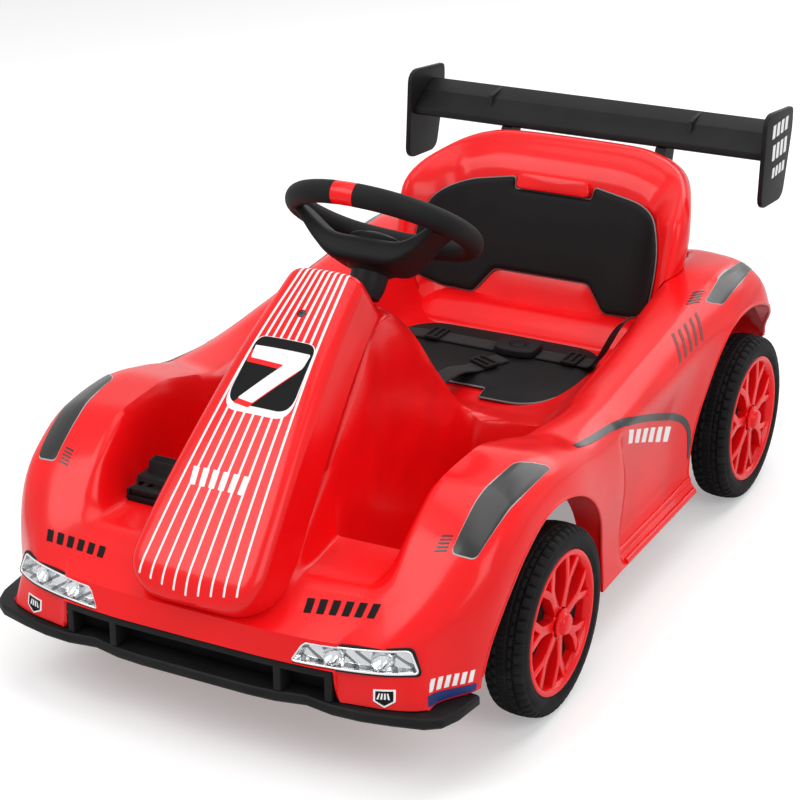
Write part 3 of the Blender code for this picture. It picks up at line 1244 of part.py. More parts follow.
def make_pan():
    outer = box(-PAN_HALF, PAN_HALF, *PAN_Y, *PAN_Z, 0.004)
    t = PAN_WALL
    steps = [("DIFFERENCE", box(-PAN_HALF + t, PAN_HALF - t, PAN_Y[0] + t, PAN_Y[1] - t, PAN_Z[0] + t, 0.3)),
             ("DIFFERENCE", shell_wall())]
    for side in (-1, 1):
        x = side * CARRIER_X
        arm = [(PAN_Y[1] - 0.004, 0.078), (PAN_Y[1] - 0.004, 0.130), (WHEEL_BASE, 0.118), (WHEEL_BASE + 0.018, 0.112),
               (WHEEL_BASE + 0.020, 0.092), (WHEEL_BASE, 0.082)]
        steps.append(("UNION", loft([[(x + dx, y, z) for y, z in arm] for dx in (-CARRIER_T / 2, CARRIER_T / 2)])))
        steps.append(("DIFFERENCE", rod((x - 0.02, WHEEL_BASE, AXLE_Z), (x + 0.02, WHEEL_BASE, AXLE_Z), AXLE_R + GAP, 14)))
    add("chassis_pan", largest_piece(boolean(outer, steps)), "black_satin")
    floor = PAN_Z[0] + PAN_WALL + GAP
    w, d, h = BATTERY
    x, y = BATTERY_AT
    battery = box(x, x + w, y, y + d, floor, floor + h, 0.003)
    posts = [("UNION", box(x - POST_HALF, x + POST_HALF, BATTERY_POST_Y - POST_HALF, BATTERY_POST_Y + POST_HALF,
                           floor + h - 0.002, floor + h + POST_H)) for x in BATTERY_POSTS]
    add("battery", boolean(battery, posts), "battery_grey")
    (x, y), (w, d, h) = CONTROL_BOX_AT, CONTROL_BOX
    add("control_box", box(x, x + w, y, y + d, floor, floor + h, 0.002), "black_satin")


def make_rear_axle():
    half = REAR_OUT - 0.0085
    axle = rod((-half, WHEEL_BASE, AXLE_Z), (half, WHEEL_BASE, AXLE_Z), AXLE_R, 14)
    add("rear_axle", axle, "steel")
    outline = []
    for cy, cz, r, a0, a1 in ((WHEEL_BASE, AXLE_Z, 0.034, -100, 80), (MOTOR_Y, MOTOR_Z, 0.024, 80, 260)):
        outline += [(cy + r * cos(radians(a)), cz + r * sin(radians(a))) for a in np.linspace(a0, a1, 7)]
    box_left = loft([[(x, y, z) for y, z in outline] for x in (BOX_IN, BOX_OUT)])
    boss = rod((BOX_OUT - 0.002, WHEEL_BASE, AXLE_Z), (REAR_OUT - TYRE_W + HUB_IN - FIT, WHEEL_BASE, AXLE_Z), 0.0160, 16)
    bore = rod((0.1, WHEEL_BASE, AXLE_Z), (0.3, WHEEL_BASE, AXLE_Z), AXLE_R + GAP, 14)
    seat = rod((BOX_IN - 0.001, MOTOR_Y, MOTOR_Z), (BOX_IN + 0.004, MOTOR_Y, MOTOR_Z), MOTOR_R + GAP, 14)
    left = boolean(box_left, [("UNION", boss), ("DIFFERENCE", bore), ("DIFFERENCE", seat)])
    right = mirrored(left)
    add("gearbox_left", left, "black_satin")
    add("gearbox_right", right, "black_satin")
    motor = rod((BOX_IN + 0.004 - GAP, MOTOR_Y, MOTOR_Z), (BOX_IN + 0.004 - MOTOR_LEN, MOTOR_Y, MOTOR_Z), MOTOR_R, 14)
    tail = rod((BOX_IN + 0.005 - MOTOR_LEN, MOTOR_Y, MOTOR_Z), (BOX_IN - MOTOR_LEN, MOTOR_Y, MOTOR_Z), 0.007, 10)
    motor = boolean(motor, [("UNION", tail)])
    other = mirrored(motor)
    add("motor_left", motor, "steel")
    add("motor_right", other, "steel")


# Pedal and switches


def make_pedal():
    x0, x1 = PEDAL_X - PEDAL_W / 2, PEDAL_X + PEDAL_W / 2
    base = box(x0 - 0.004, x1 + 0.004, PEDAL_Y - 0.006, PEDAL_Y + 0.040, 0.180, PEDAL_Z - 0.0035, 0.0)
    ears = [("UNION", box(x - 0.0015, x + 0.0015, PEDAL_Y - 0.005, PEDAL_Y + 0.005, PEDAL_Z - 0.006, PEDAL_Z + 0.0035))
            for x in (x0 - 0.0022, x1 + 0.0022)]
    pocket = box(x0 + 0.004, x1 - 0.004, PEDAL_Y + 0.020, PEDAL_Y + 0.036, PEDAL_Z - 0.0065, 0.25)
    holes = [("DIFFERENCE", rod((x0 - 0.01, PEDAL_Y, PEDAL_Z), (x1 + 0.01, PEDAL_Y, PEDAL_Z), PEDAL_PIN_R + FIT / 2, 10))]
    base = boolean(base, ears + [("DIFFERENCE", pocket)] + holes + [("DIFFERENCE", body_envelope(GAP))])
    add("pedal_base", largest_piece(base), "black_satin")
    side = [(-0.003, -0.002), (0.036, 0.0045), (0.036, 0.0270), (0.024, 0.0255), (0.021, 0.0140), (0.010, 0.0130),
            (0.007, 0.0050), (-0.003, 0.0035)]
    body = loft([[(x, PEDAL_Y + y, PEDAL_Z + z) for y, z in side] for x in (x0, x1)])
    narrow = box(x0 - 0.01, x0 + 0.006, PEDAL_Y + 0.015, PEDAL_Y + 0.05, PEDAL_Z + 0.0135, PEDAL_Z + 0.05)
    other = box(x1 - 0.006, x1 + 0.01, PEDAL_Y + 0.015, PEDAL_Y + 0.05, PEDAL_Z + 0.0135, PEDAL_Z + 0.05)
    pin = rod((x0 - 0.0034, PEDAL_Y, PEDAL_Z), (x1 + 0.0034, PEDAL_Y, PEDAL_Z), PEDAL_PIN_R, 10)
    under = box(x0 + 0.003, x1 - 0.003, PEDAL_Y + 0.006, PEDAL_Y + 0.033, PEDAL_Z - 0.01, PEDAL_Z + 0.008)
    pedal = boolean(body, [("DIFFERENCE", narrow), ("DIFFERENCE", other), ("DIFFERENCE", under), ("UNION", pin)])
    add("accelerator_pedal", pedal, "black_satin", pivot=(PEDAL_X, PEDAL_Y, PEDAL_Z))


def panel_matrix():
    """Local +Z stands off the tunnel's rear slope, local +Y runs up the slope."""
    z0 = float(smooth(LINES["spine"][1], PANEL_Y - 0.015))
    z1 = float(smooth(LINES["spine"][1], PANEL_Y + 0.015))
    slope = Vector((0, 0.030, z1 - z0)).normalized()
    up = -slope
    normal = Vector((0, up.z, -up.y))
    x = up.cross(normal)
    m = Matrix((x, up, normal)).transposed().to_4x4()
    middle = float(smooth(LINES["spine"][1], PANEL_Y))
    return Matrix.Translation((0, PANEL_Y, middle)) @ m


def make_switches():
    place = panel_matrix()
    a, b = PANEL_HALF
    outline = rounded([(-a, -b), (a, -b), (a, b), (-a, b)], 0.005, 2)
    panel = prism(outline, -0.016, PANEL_DEPTH)
    inner = PANEL_DEPTH - 0.0055
    well = move(rod((0, 0, inner), (0, 0, 0.02), POWER_R + FIT, 16), Matrix.Translation((POWER_AT, 0, 0)))
    rx, ry = ROCKER
    slot = box(ROCKER_AT - rx - FIT, ROCKER_AT + rx + FIT, -ry - FIT, ry + FIT, inner, 0.02)
    panel = boolean(panel, [("DIFFERENCE", well), ("DIFFERENCE", slot)])
    panel = boolean(move(panel, place), [("DIFFERENCE", body_envelope(2 * GAP))])
    add("switch_panel", largest_piece(panel), "black_satin")
    top = PANEL_DEPTH
    button = loft(turned([(POWER_R, inner + 0.0025), (POWER_R, top + 0.0012), (POWER_R - 0.0015, top + 0.0022)], 16))
    place_button = place @ Matrix.Translation((POWER_AT, 0, 0))
    add("power_button", move(button, place_button), "red_gloss", pivot=place_button @ Vector((0, 0, top)))
    side = [(-ry, top - 0.0008), (-ry, top + 0.0030), (0, top + 0.0012), (ry, top + 0.0030), (ry, top - 0.0008),
            (0, inner + 0.0010)]
    rocker = loft([[(ROCKER_AT + dx, y, z) for y, z in side] for dx in (-rx, rx)])
    add("direction_rocker", move(rocker, place), "black_satin", pivot=place @ Vector((ROCKER_AT, 0, ROCKER_PIVOT)))


# Build

for old in list(bpy.data.objects):
    bpy.data.objects.remove(old, do_unlink=True)

MATERIALS = {
    "red_gloss": material("red_gloss", RED, 0.18),
    "black_satin": material("black_satin", BLACK, 0.42),
    "pad_black": material("pad_black", (0.02, 0.018, 0.018), 0.6),
    "rubber": material("rubber", RUBBER, 0.75),
    "steel": material("steel", STEEL, 0.35, 1.0),
    "chrome": material("chrome", CHROME, 0.12, 1.0),
    "clear": material("clear", CLEAR, 0.03, 0.0, 1.0),
    "webbing": material("webbing", WEBBING, 0.85),
    "battery_grey": material("battery_grey", (0.12, 0.12, 0.13), 0.5),
}
ORIGIN = bpy.data.objects.new("kart_origin", None)
bpy.context.scene.collection.objects.link(ORIGIN)

make_body()
make_cover()
make_nose_screw()
make_bumper()
make_splitter()
make_lamps()
make_back_pad(make_seat_back())
make_seat_pad()
make_harness()
make_wing()
make_steering()
make_front_axle()
make_knuckle(1, "left")
make_knuckle(-1, "right")
make_tie_rod()
make_column_bracket()
make_wheels()
make_pan()
make_rear_axle()
make_pedal()
make_switches()

bpy.context.view_layer.update()
ends = [(o.matrix_world @ Vector(c)).y for o in bpy.data.objects if o.type == "MESH" for c in o.bound_box]
ORIGIN.location.y = -(min(ends) + max(ends)) / 2
bpy.context.view_layer.update()
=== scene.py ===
"""Kids electric go-kart: the surfaces, pads, belts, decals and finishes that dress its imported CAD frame.

Metres, +Z up, the nose faces -Y and the driver's left is +X. Body lines are measured from the front wheel
axis along y, so to_row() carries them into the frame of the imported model.
"""
from math import cos, pi, radians, sin

import bmesh
import bpy
import numpy as np
from mathutils import Matrix, Vector
from mathutils.bvhtree import BVHTree
from mathutils.geometry import delaunay_2d_cdt


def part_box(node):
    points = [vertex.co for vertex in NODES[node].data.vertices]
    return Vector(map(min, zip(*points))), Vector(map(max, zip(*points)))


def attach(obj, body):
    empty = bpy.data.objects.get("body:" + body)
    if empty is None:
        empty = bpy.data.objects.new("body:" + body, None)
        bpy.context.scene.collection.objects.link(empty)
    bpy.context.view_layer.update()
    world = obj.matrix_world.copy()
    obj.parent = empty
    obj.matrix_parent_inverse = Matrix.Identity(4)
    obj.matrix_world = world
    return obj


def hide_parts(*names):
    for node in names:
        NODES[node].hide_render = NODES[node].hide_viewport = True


bl_info = {
    "name": "Go-kart dresser",
    "version": (1, 0, 0),
    "blender": (4, 5, 0),
    "location": "View3D > Sidebar > Go-kart",
    "description": "Dresses the packed frame of a child's electric go-kart",
    "category": "Object",
}

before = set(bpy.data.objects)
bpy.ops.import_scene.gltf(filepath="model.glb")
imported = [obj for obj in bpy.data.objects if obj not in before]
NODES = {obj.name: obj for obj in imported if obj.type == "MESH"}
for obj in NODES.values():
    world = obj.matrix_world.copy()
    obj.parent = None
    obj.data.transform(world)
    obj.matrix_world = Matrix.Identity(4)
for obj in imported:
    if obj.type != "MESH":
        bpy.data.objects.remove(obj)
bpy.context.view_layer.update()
FRONT_AXLE_Y = (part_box("tyre_front_left")[0].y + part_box("tyre_front_left")[1].y) / 2

# Sizes shared with the CAD model
WALL = 0.003
GAP = 0.0003
TYRE_R = 0.100
TYRE_W = 0.046
RIM_R = 0.0759
RIM_BARREL_R = 0.0700
RIM_WALL = 0.0035
HUB_R = 0.0175
HUB_IN = 0.007
CAP_R = 0.0150
SPOKES = 7
SPOKE_T = 0.012
SPOKE_HALF = 0.0052
SPOKE_SET_IN = 0.0045
FORK_R = 0.040
FORK_SPREAD = radians(12)
WHEEL_BASE = 0.5582
FRONT_OUT = 0.2885
REAR_OUT = 0.2815
ARCH_R = 0.141
REAR_ARCH_R = 0.150
ARCH_Z = 0.090
ARCH_IN = 0.206
LINER_IN = 0.243
FRONT_ARCH_Y = -0.004
REAR_ARCH_Y = WHEEL_BASE - 0.0052
COLUMN_TILT = radians(35)
WHEEL_Y = 0.163
WHEEL_Z = 0.430
GRIP_RING_R = 0.097
GRIP_R = 0.0125
BAND_DEG = 14
LIP_TOP = 0.0955

# The body: where its front and tail stand, where the nose's bow ends, and how low both ends come
FRONT_Y = -0.232
TAIL_Y = 0.702
BOW_END = -0.100
FRONT_FACE = 0.026
TAIL_BOTTOM = 0.100
# Body lines in millimetres: (y, x) knots and (y, z) knots of each line, from mid-deck out to the hem
LINES_MM = {
    "spine": ([(-232, 0), (702, 0)],
             [(-232, 157), (-200, 170), (-160, 200), (-120, 234), (-73, 272), (-10, 321), (40, 355),
              (75, 368), (100, 366), (140, 340), (175, 303), (205, 262), (228, 222), (250, 195),
              (285, 184), (470, 184), (540, 190), (590, 192), (612, 262), (640, 268), (670, 245),
              (702, 190)]),
    "tunnel_edge": ([(-232, 75), (-120, 70), (0, 60), (60, 46), (120, 42), (180, 42), (230, 52),
                    (280, 62), (560, 62), (702, 70)],
                   [(-232, 157), (-200, 170), (-160, 198), (-120, 228), (-73, 264), (-10, 311), (40, 344),
                    (75, 354), (100, 350), (140, 322), (175, 282), (205, 242), (228, 209), (250, 193),
                    (285, 184), (470, 184), (540, 190), (590, 192), (612, 262), (640, 268), (670, 245),
                    (702, 190)]),
    "floor_in": ([(-232, 92), (-120, 84), (0, 76), (100, 70), (200, 72), (260, 90), (560, 90),
                 (702, 95)],
                [(-232, 157), (-200, 170), (-165, 187), (-145, 186), (-85, 190), (-62, 100), (-30, 88),
                 (180, 88), (205, 100), (235, 190), (270, 186), (470, 184), (540, 190), (595, 192),
                 (612, 262), (640, 270), (670, 247), (702, 190)]),
    "floor_out": ([(-232, 155), (-160, 155), (-60, 158), (100, 155), (200, 146), (300, 136), (470, 134),
                  (560, 140), (702, 140)],
                 [(-232, 157), (-200, 172), (-165, 188), (-145, 187), (-85, 191), (-62, 102), (-30, 88),
                  (180, 88), (205, 100), (240, 192), (270, 190), (470, 190), (540, 194), (595, 198),
                  (612, 266), (640, 272), (670, 249), (702, 190)]),
    "rim": ([(-232, 160.5), (-205, 176), (-160, 184), (-100, 186), (0, 188), (120, 190), (200, 196),
            (300, 196), (470, 186), (600, 180), (702, 172)],
           [(-232, 157), (-200, 174), (-165, 196), (-120, 238), (-60, 270), (0, 272), (60, 258),
            (120, 240), (200, 236), (300, 246), (400, 258), (500, 272), (570, 281), (620, 279),
            (660, 252), (702, 190)]),
    "crown": ([(-232, 200), (-180, 222), (-120, 232), (0, 236), (120, 232), (200, 232), (350, 232),
              (500, 226), (600, 224), (702, 210)],
             [(-232, 156), (-200, 178), (-165, 204), (-120, 238), (-60, 268), (0, 273), (60, 262),
              (120, 247), (200, 246), (300, 254), (400, 264), (500, 274), (570, 280), (620, 276),
              (660, 247), (702, 180)]),
    "shoulder": ([(-232, 214), (-180, 250), (-120, 266), (-50, 272), (30, 273), (120, 266), (200, 262),
                 (350, 262), (500, 262), (600, 262), (660, 257), (702, 240)],
                [(-232, 153), (-200, 172), (-165, 196), (-120, 226), (-60, 250), (0, 254), (60, 246),
                 (120, 234), (200, 226), (300, 226), (400, 230), (500, 246), (570, 256), (620, 250),
                 (660, 220), (702, 160)]),
    "side": ([(-232, 226), (-180, 262), (-120, 279), (-50, 284), (30, 284), (120, 277), (186, 273),
             (206, 253), (350, 252), (440, 267), (540, 276), (620, 274), (660, 268), (702, 254)],
            [(-232, 146), (-200, 154), (-165, 168), (-120, 184), (-60, 196), (0, 200), (60, 196),
             (120, 182), (200, 170), (350, 165), (440, 175), (540, 198), (600, 200), (660, 165),
             (702, 135)]),
    "skirt": ([(-232, 238), (-180, 266), (-120, 276), (0, 276), (120, 270), (186, 268), (206, 250),
              (350, 250), (440, 266), (600, 270), (660, 266), (702, 257.5)],
             [(-232, 120), (-200, 122), (-165, 128), (-120, 122), (0, 118), (120, 110), (186, 104),
              (206, 90), (400, 90), (500, 108), (600, 120), (660, 118), (702, 115)]),
    "hem": ([(-232, 243), (-180, 266), (-120, 272), (0, 274), (120, 272), (200, 270), (350, 270),
            (440, 270), (600, 268), (660, 266), (702, 260.5)],
           [(-232, 97), (-212, 97), (-165, 97), (-130, 90), (-100, 68), (120, 66), (420, 66), (500, 80),
            (600, 94), (660, 100), (702, 106)]),
}
LINES = {name: [np.array(knots) / 1000 for knots in pair] for name, pair in LINES_MM.items()}
# How each line bows back at the nose and in at the tail, and how the front face drops, leans and flares
BOW = [0.0, 0.0005, 0.001, 0.0075, 0.0118, 0.020, 0.027, 0.034, 0.040, 0.043]
TAIL_BOW = [0.0, 0.002, 0.003, 0.005, 0.008, 0.010, 0.013, 0.015, 0.016, 0.017]
FACE_DROP = [0.0, 0.0, 0.0, 0.001, 0.034, 0.033, 0.030, 0.0225, -0.0035, -0.026]
FACE_LEAN = [0.007, 0.007, 0.007, 0.007, 0.008, 0.009, 0.011, 0.012, 0.013, 0.014]
FACE_FLARE = [0.0, 0.0, 0.0, 0.0, 0.001, 0.002, 0.005, 0.008, 0.002, 0.0]
STATIONS = [-0.232, -0.212, -0.182, -0.152, -0.130, -0.102, -0.086, -0.074, -0.062, -0.035, 0.0, 0.04,
            0.08, 0.12, 0.16, 0.186, 0.206, 0.213, 0.225, 0.238, 0.255, 0.30, 0.38, 0.46, 0.53, 0.572,
            0.598, 0.612, 0.638, 0.672, 0.702]


# Curves and grids


def smooth(knots, at):
    """Monotone cubic through the knots: the slope at a knot is the harmonic mean of its two chords."""
    x, f = np.array(knots, float).T
    return hermite(x, f, np.clip(at, x[0], x[-1]))


def hermite(x, f, at):
    """The curve of smooth() for a row of x and their values."""
    h = np.diff(x)
    d = np.diff(f) / h
    same = d[:-1] * d[1:] > 0
    m = np.empty(len(x))
    m[0] = d[0]
    m[-1] = d[-1]
    m[1:-1] = np.where(same, 2 * d[:-1] * d[1:] / np.where(same, d[:-1] + d[1:], 1), 0)
    i = np.clip(np.searchsorted(x, at, side="right") - 1, 0, len(h) - 1)
    t = (at - x[i]) / h[i]
    a = f[i] * (1 + 2 * t) * (1 - t) ** 2 + f[i + 1] * t * t * (3 - 2 * t)
    return a + h[i] * (m[i] * t * (1 - t) ** 2 - m[i + 1] * t * t * (1 - t))


def ease(t):
    """The smooth step 3t^2 - 2t^3 between 0 and 1."""
    t = np.clip(t, 0, 1)
    return t * t * (3 - 2 * t)


def lengths(points):
    """Running length along a row of points."""
    return np.concatenate([[0], np.cumsum(np.linalg.norm(np.diff(points, axis=0), axis=1))])


def resample(points, n, closed=False):
    """Read n evenly spaced points off a polyline."""
    p = np.asarray(points, float)
    if closed:
        p = np.concatenate([p, p[:1]])
    s = lengths(p)
    at = np.linspace(0, s[-1], n + 1)[:-1] if closed else np.linspace(0, s[-1], n)
    return np.stack([np.interp(at, s, p[:, c]) for c in range(p.shape[1])], axis=1)


def flow(points, n, closed=False):
    """Catmull-Rom curve through the points, read at n even lengths.

    The tangent at a point is half the chord between its neighbours."""
    p = np.asarray(points, float)
    q = np.concatenate([p[-1:], p, p[:2]]) if closed else np.concatenate([2 * p[:1] - p[1:2], p,
                                                                          2 * p[-1:] - p[-2:-1]])
    spans = len(q) - 3
    t = np.linspace(0, 1, 17)[:-1, None]
    out = []
    for k in range(spans):
        a, b, c, d = q[k:k + 4]
        out.append(0.5 * (2 * b + (c - a) * t + (2 * a - 5 * b + 4 * c - d) * t ** 2
                          + (3 * b - a - 3 * c + d) * t ** 3))
    out.append(q[-2:-1])
    out = np.concatenate(out)
    return resample(out[:-1] if closed else out, n, closed)


def rounded(points, radius, steps=6):
    """Round a flat polygon's corners with quadratic arcs; radius is one value or one for each corner."""
    out = []
    n = len(points)
    for i in range(n):
        p = np.array(points[i], float)
        a = np.array(points[i - 1], float) - p
        b = np.array(points[(i + 1) % n], float) - p
        r = radius[i] if isinstance(radius, (list, tuple)) else radius
        la, lb = np.linalg.norm(a), np.linalg.norm(b)
        cut = min(r, 0.48 * la, 0.48 * lb)
        if cut <= 0:
            out.append(p)
            continue
        s, e = p + a / la * cut, p + b / lb * cut
        out += [(1 - t) ** 2 * s + 2 * t * (1 - t) * p + t * t * e for t in np.linspace(0, 1, steps + 1)]
    return np.array(out)


def inset(outline, by):
    """Move a closed outline inwards along its own normals."""
    o = np.asarray(outline, float)
    t = np.roll(o, -1, axis=0) - np.roll(o, 1, axis=0)
    n = np.column_stack([-t[:, 1], t[:, 0]])
    return o + n / np.linalg.norm(n, axis=1, keepdims=True) * by


def to_row(p):
    """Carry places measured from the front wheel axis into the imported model's frame."""
    return np.asarray(p, float) + np.array([0, FRONT_AXLE_Y, 0])


def grid_faces(rows, cols, loop_rows=False, loop_cols=False):
    """Quads of a grid, as an array of four corners each."""
    i, j = np.meshgrid(np.arange(rows if loop_rows else rows - 1),
                       np.arange(cols if loop_cols else cols - 1), indexing="ij")
    i2 = (i + 1) % rows
    j2 = (j + 1) % cols
    return np.stack([i * cols + j, i * cols + j2, i2 * cols + j2, i2 * cols + j], axis=-1).reshape(-1, 4)


def raw(name, points, faces):
    """An object from places and faces, linked to the scene."""
    mesh = bpy.data.meshes.new(name)
    mesh.from_pydata(np.asarray(points, float).reshape(-1, 3).tolist(), [],
                     [list(map(int, f)) for f in faces])
    obj = bpy.data.objects.new(name, mesh)
    bpy.context.scene.collection.objects.link(obj)
    return obj


def outward(obj):
    """Merge doubles and point every face outwards."""
    bm = bmesh.new()
    bm.from_mesh(obj.data)
    bmesh.ops.remove_doubles(bm, verts=bm.verts, dist=1e-6)
    bmesh.ops.recalc_face_normals(bm, faces=bm.faces)
    bm.to_mesh(obj.data)
    bm.free()
    return obj


def tube_grid(name, grid, loop_cols=True, loop_rows=False, caps=True):
    """A surface from a grid whose rows are sections; a fan to its middle closes each open end."""
    g = np.asarray(grid, float)
    rows, cols = g.shape[:2]
    faces = [tuple(f) for f in grid_faces(rows, cols, loop_rows, loop_cols)]
    points = g.reshape(-1, 3)
    if caps and not loop_rows:
        ends = np.array([g[0].mean(axis=0), g[-1].mean(axis=0)])
        points = np.concatenate([points, ends])
        n = rows * cols
        faces += [(n, (j + 1) % cols, j) for j in range(cols)]
        faces += [(n + 1, (rows - 1) * cols + j, (rows - 1) * cols + (j + 1) % cols) for j in range(cols)]
    return outward(raw(name, points, faces))


def closed_skin(name, outer, inner):
    """A wall between two grids of equal size, joined round their edge."""
    rows, cols = outer.shape[:2]
    n = rows * cols
    idx = np.arange(n).reshape(rows, cols)
    f = grid_faces(rows, cols)
    edge = np.concatenate([idx[0], idx[1:, -1], idx[-1, -2::-1], idx[-2:0:-1, 0]])
    after = np.roll(edge, -1)
    wall = np.stack([edge, after, n + after, n + edge], axis=1)
    faces = np.concatenate([f, n + f[:, ::-1], wall])
    return outward(raw(name, np.concatenate([outer.reshape(-1, 3), inner.reshape(-1, 3)]), faces))


def ring_path(path, radius, sides=10, closed=True, flat=1.0):
    """Sections of a round bead along a path, each square to it; flat squashes it along its own normal."""
    p = np.asarray(path, float)
    t = np.roll(p, -1, axis=0) - np.roll(p, 1, axis=0)
    if not closed:
        t[0] = p[1] - p[0]
        t[-1] = p[-1] - p[-2]
    t /= np.linalg.norm(t, axis=1, keepdims=True)
    mean = p.mean(axis=0)
    normal = np.cross(t, p - mean).sum(axis=0)
    normal /= np.linalg.norm(normal)
    side = np.cross(t, normal)
    side /= np.linalg.norm(side, axis=1, keepdims=True)
    up = np.cross(side, t)
    a = np.arange(sides) * 2 * pi / sides
    return (p[:, None] + side[:, None] * (radius * np.cos(a))[None, :, None]
            + up[:, None] * (radius * flat * np.sin(a))[None, :, None])


def turned(name, profile, n, closed=True):
    """Revolve (radius, height) pairs about Z."""
    a = np.arange(n) * 2 * pi / n
    p = np.asarray(profile, float)
    grid = np.stack([p[:, 0][:, None] * np.cos(a), p[:, 0][:, None] * np.sin(a),
                     np.repeat(p[:, 1][:, None], n, 1)], axis=2)
    return tube_grid(name, grid, loop_rows=closed, caps=not closed)


def apply_modifiers(obj):
    """Keep the mesh that the object's modifiers give."""
    deps = bpy.context.evaluated_depsgraph_get()
    mesh = bpy.data.meshes.new_from_object(obj.evaluated_get(deps))
    obj.modifiers.clear()
    old = obj.data
    obj.data = mesh
    bpy.data.meshes.remove(old)
    return obj


def cut(obj, tool, operation="DIFFERENCE", solver="MANIFOLD"):
    """Subtract, add or intersect a closed tool, which is used up."""
    mod = obj.modifiers.new("cut", "BOOLEAN")
    mod.operation = operation
    mod.solver = solver
    mod.object = tool
    apply_modifiers(obj)
    bpy.data.objects.remove(tool)
    return obj


def join(name, objects):
    """One object from several, which are used up."""
    bm = bmesh.new()
    for o in objects:
        bm.from_mesh(o.data)
        bpy.data.objects.remove(o)
    mesh = bpy.data.meshes.new(name)
    bm.to_mesh(mesh)
    bm.free()
    obj = bpy.data.objects.new(name, mesh)
    bpy.context.scene.collection.objects.link(obj)
    return obj


def copied(obj, name):
    """A second object with a mesh of its own."""
    twin = obj.copy()
    twin.data = obj.data.copy()
    twin.name = name
    bpy.context.scene.collection.objects.link(twin)
    return twin


def place(obj, matrix):
    """Carry a mesh into place by its vertices; a mirroring matrix has its faces turned back."""
    obj.data.transform(matrix)
    if matrix.determinant() < 0:
        obj.data.flip_normals()
    return obj


def settle(obj, material, body, nodes=(), angle=35):
    """Finish a piece: material, shading, body and the CAD nodes that it stands for."""
    obj.data.materials.clear()
    obj.data.materials.append(material)
    obj.data.shade_smooth()
    obj.data.set_sharp_from_angle(angle=radians(angle))
    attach(obj, body)
    if nodes:
        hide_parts(*nodes)
    return obj


def bevelled(obj, width, segments=2, angle=30):
    """Round the edges that are sharper than an angle."""
    mod = obj.modifiers.new("bevel", "BEVEL")
    mod.width = width
    mod.segments = segments
    mod.limit_method = "ANGLE"
    mod.angle_limit = radians(angle)
    mod.use_clamp_overlap = True
    mod.harden_normals = False
    return apply_modifiers(obj)


def dress(node, material, body, width, segments=2):
    """Stand a copy of a CAD node in for it, its flat faces merged and its edges softened."""
    mesh = NODES[node].data.copy()
    bm = bmesh.new()
    bm.from_mesh(mesh)
    bmesh.ops.remove_doubles(bm, verts=bm.verts, dist=1e-5)
    bmesh.ops.dissolve_limit(bm, angle_limit=radians(1.0), verts=bm.verts, edges=bm.edges)
    bmesh.ops.recalc_face_normals(bm, faces=bm.faces)
    bm.to_mesh(mesh)
    bm.free()
    obj = bpy.data.objects.new(node + "_dressed", mesh)
    bpy.context.scene.collection.objects.link(obj)
    bevelled(obj, width, segments)
    return settle(obj, material, body, [node])


# Shader expressions


class Wire:
    """A value in a node tree: arithmetic on it adds one Math node for each operator."""

    def __init__(self, tree, socket):
        self.tree = tree
        self.socket = socket

    def math(self, operation, *others):
        return self.tree.node("ShaderNodeMath", {"operation": operation}, [self, *others])

    def __add__(self, other):
        return self.math("ADD", other)

    __radd__ = __add__

    def __sub__(self, other):
        return self.math("SUBTRACT", other)

    def __rsub__(self, other):
        return self.tree.node("ShaderNodeMath", {"operation": "SUBTRACT"}, [other, self])

    def __mul__(self, other):
        return self.math("MULTIPLY", other)

    __rmul__ = __mul__

    def __truediv__(self, other):
        return self.math("DIVIDE", other)

    def __lt__(self, other):
        return self.math("LESS_THAN", other)

    def __abs__(self):
        return self.math("ABSOLUTE")

    def step(self, low, high):
        """0 below low, 1 above high, smooth between."""
        return self.tree.node("ShaderNodeMapRange", {"interpolation_type": "SMOOTHSTEP"},
                              [self, low, high, 0.0, 1.0])


class Tree:
    """The nodes of one material, or of the world."""

    def __init__(self, name, library=bpy.data.materials, shader="Principled BSDF"):
        self.owner = library.new(name)
        self.owner.use_nodes = True
        self.nodes = self.owner.node_tree.nodes
        self.shader = self.nodes[shader]

    def put(self, socket, value):
        """Link a socket to a wire or set it; a colour of three numbers gets its alpha."""
        if isinstance(value, Wire):
            self.owner.node_tree.links.new(value.socket, socket)
        else:
            socket.default_value = (*value, 1) if socket.type == "RGBA" else value

    def node(self, kind, settings=None, values=None, out=0):
        """Add a node: settings first, then its sockets by place or name; out is one output, None all."""
        n = self.nodes.new(kind)
        for key, value in (settings or {}).items():
            setattr(n, key, value)
        for key, value in enumerate(values) if isinstance(values, list) else (values or {}).items():
            self.put(n.inputs[key], value)
        return [Wire(self, o) for o in n.outputs] if out is None else Wire(self, n.outputs[out])

    def mix(self, share, first, second):
        """Blend two colours."""
        return self.node("ShaderNodeMix", {"data_type": "RGBA"}, {0: share, 6: first, 7: second}, 2)

    def place(self):
        return self.node("ShaderNodeTexCoord", out="Object")

    def split(self, vector):
        return self.node("ShaderNodeSeparateXYZ", None, [vector], None)

    def noise(self, vector, scale, detail=2.0):
        return self.node("ShaderNodeTexNoise", None, {"Vector": vector, "Scale": scale, "Detail": detail})

    def cells(self, vector, scale, feature):
        return self.node("ShaderNodeTexVoronoi", {"feature": feature}, {"Vector": vector, "Scale": scale})

    def ray(self, kind):
        """1 on rays of a kind, such as the camera's own."""
        return self.node("ShaderNodeLightPath", out=kind)

    def bump(self, height, distance, strength):
        values = {"Height": height, "Distance": distance, "Strength": strength}
        self.feed("Normal", self.node("ShaderNodeBump", None, values))

    def feed(self, socket, value):
        """Link or set one socket of the main shader."""
        self.put(self.shader.inputs[socket], value)


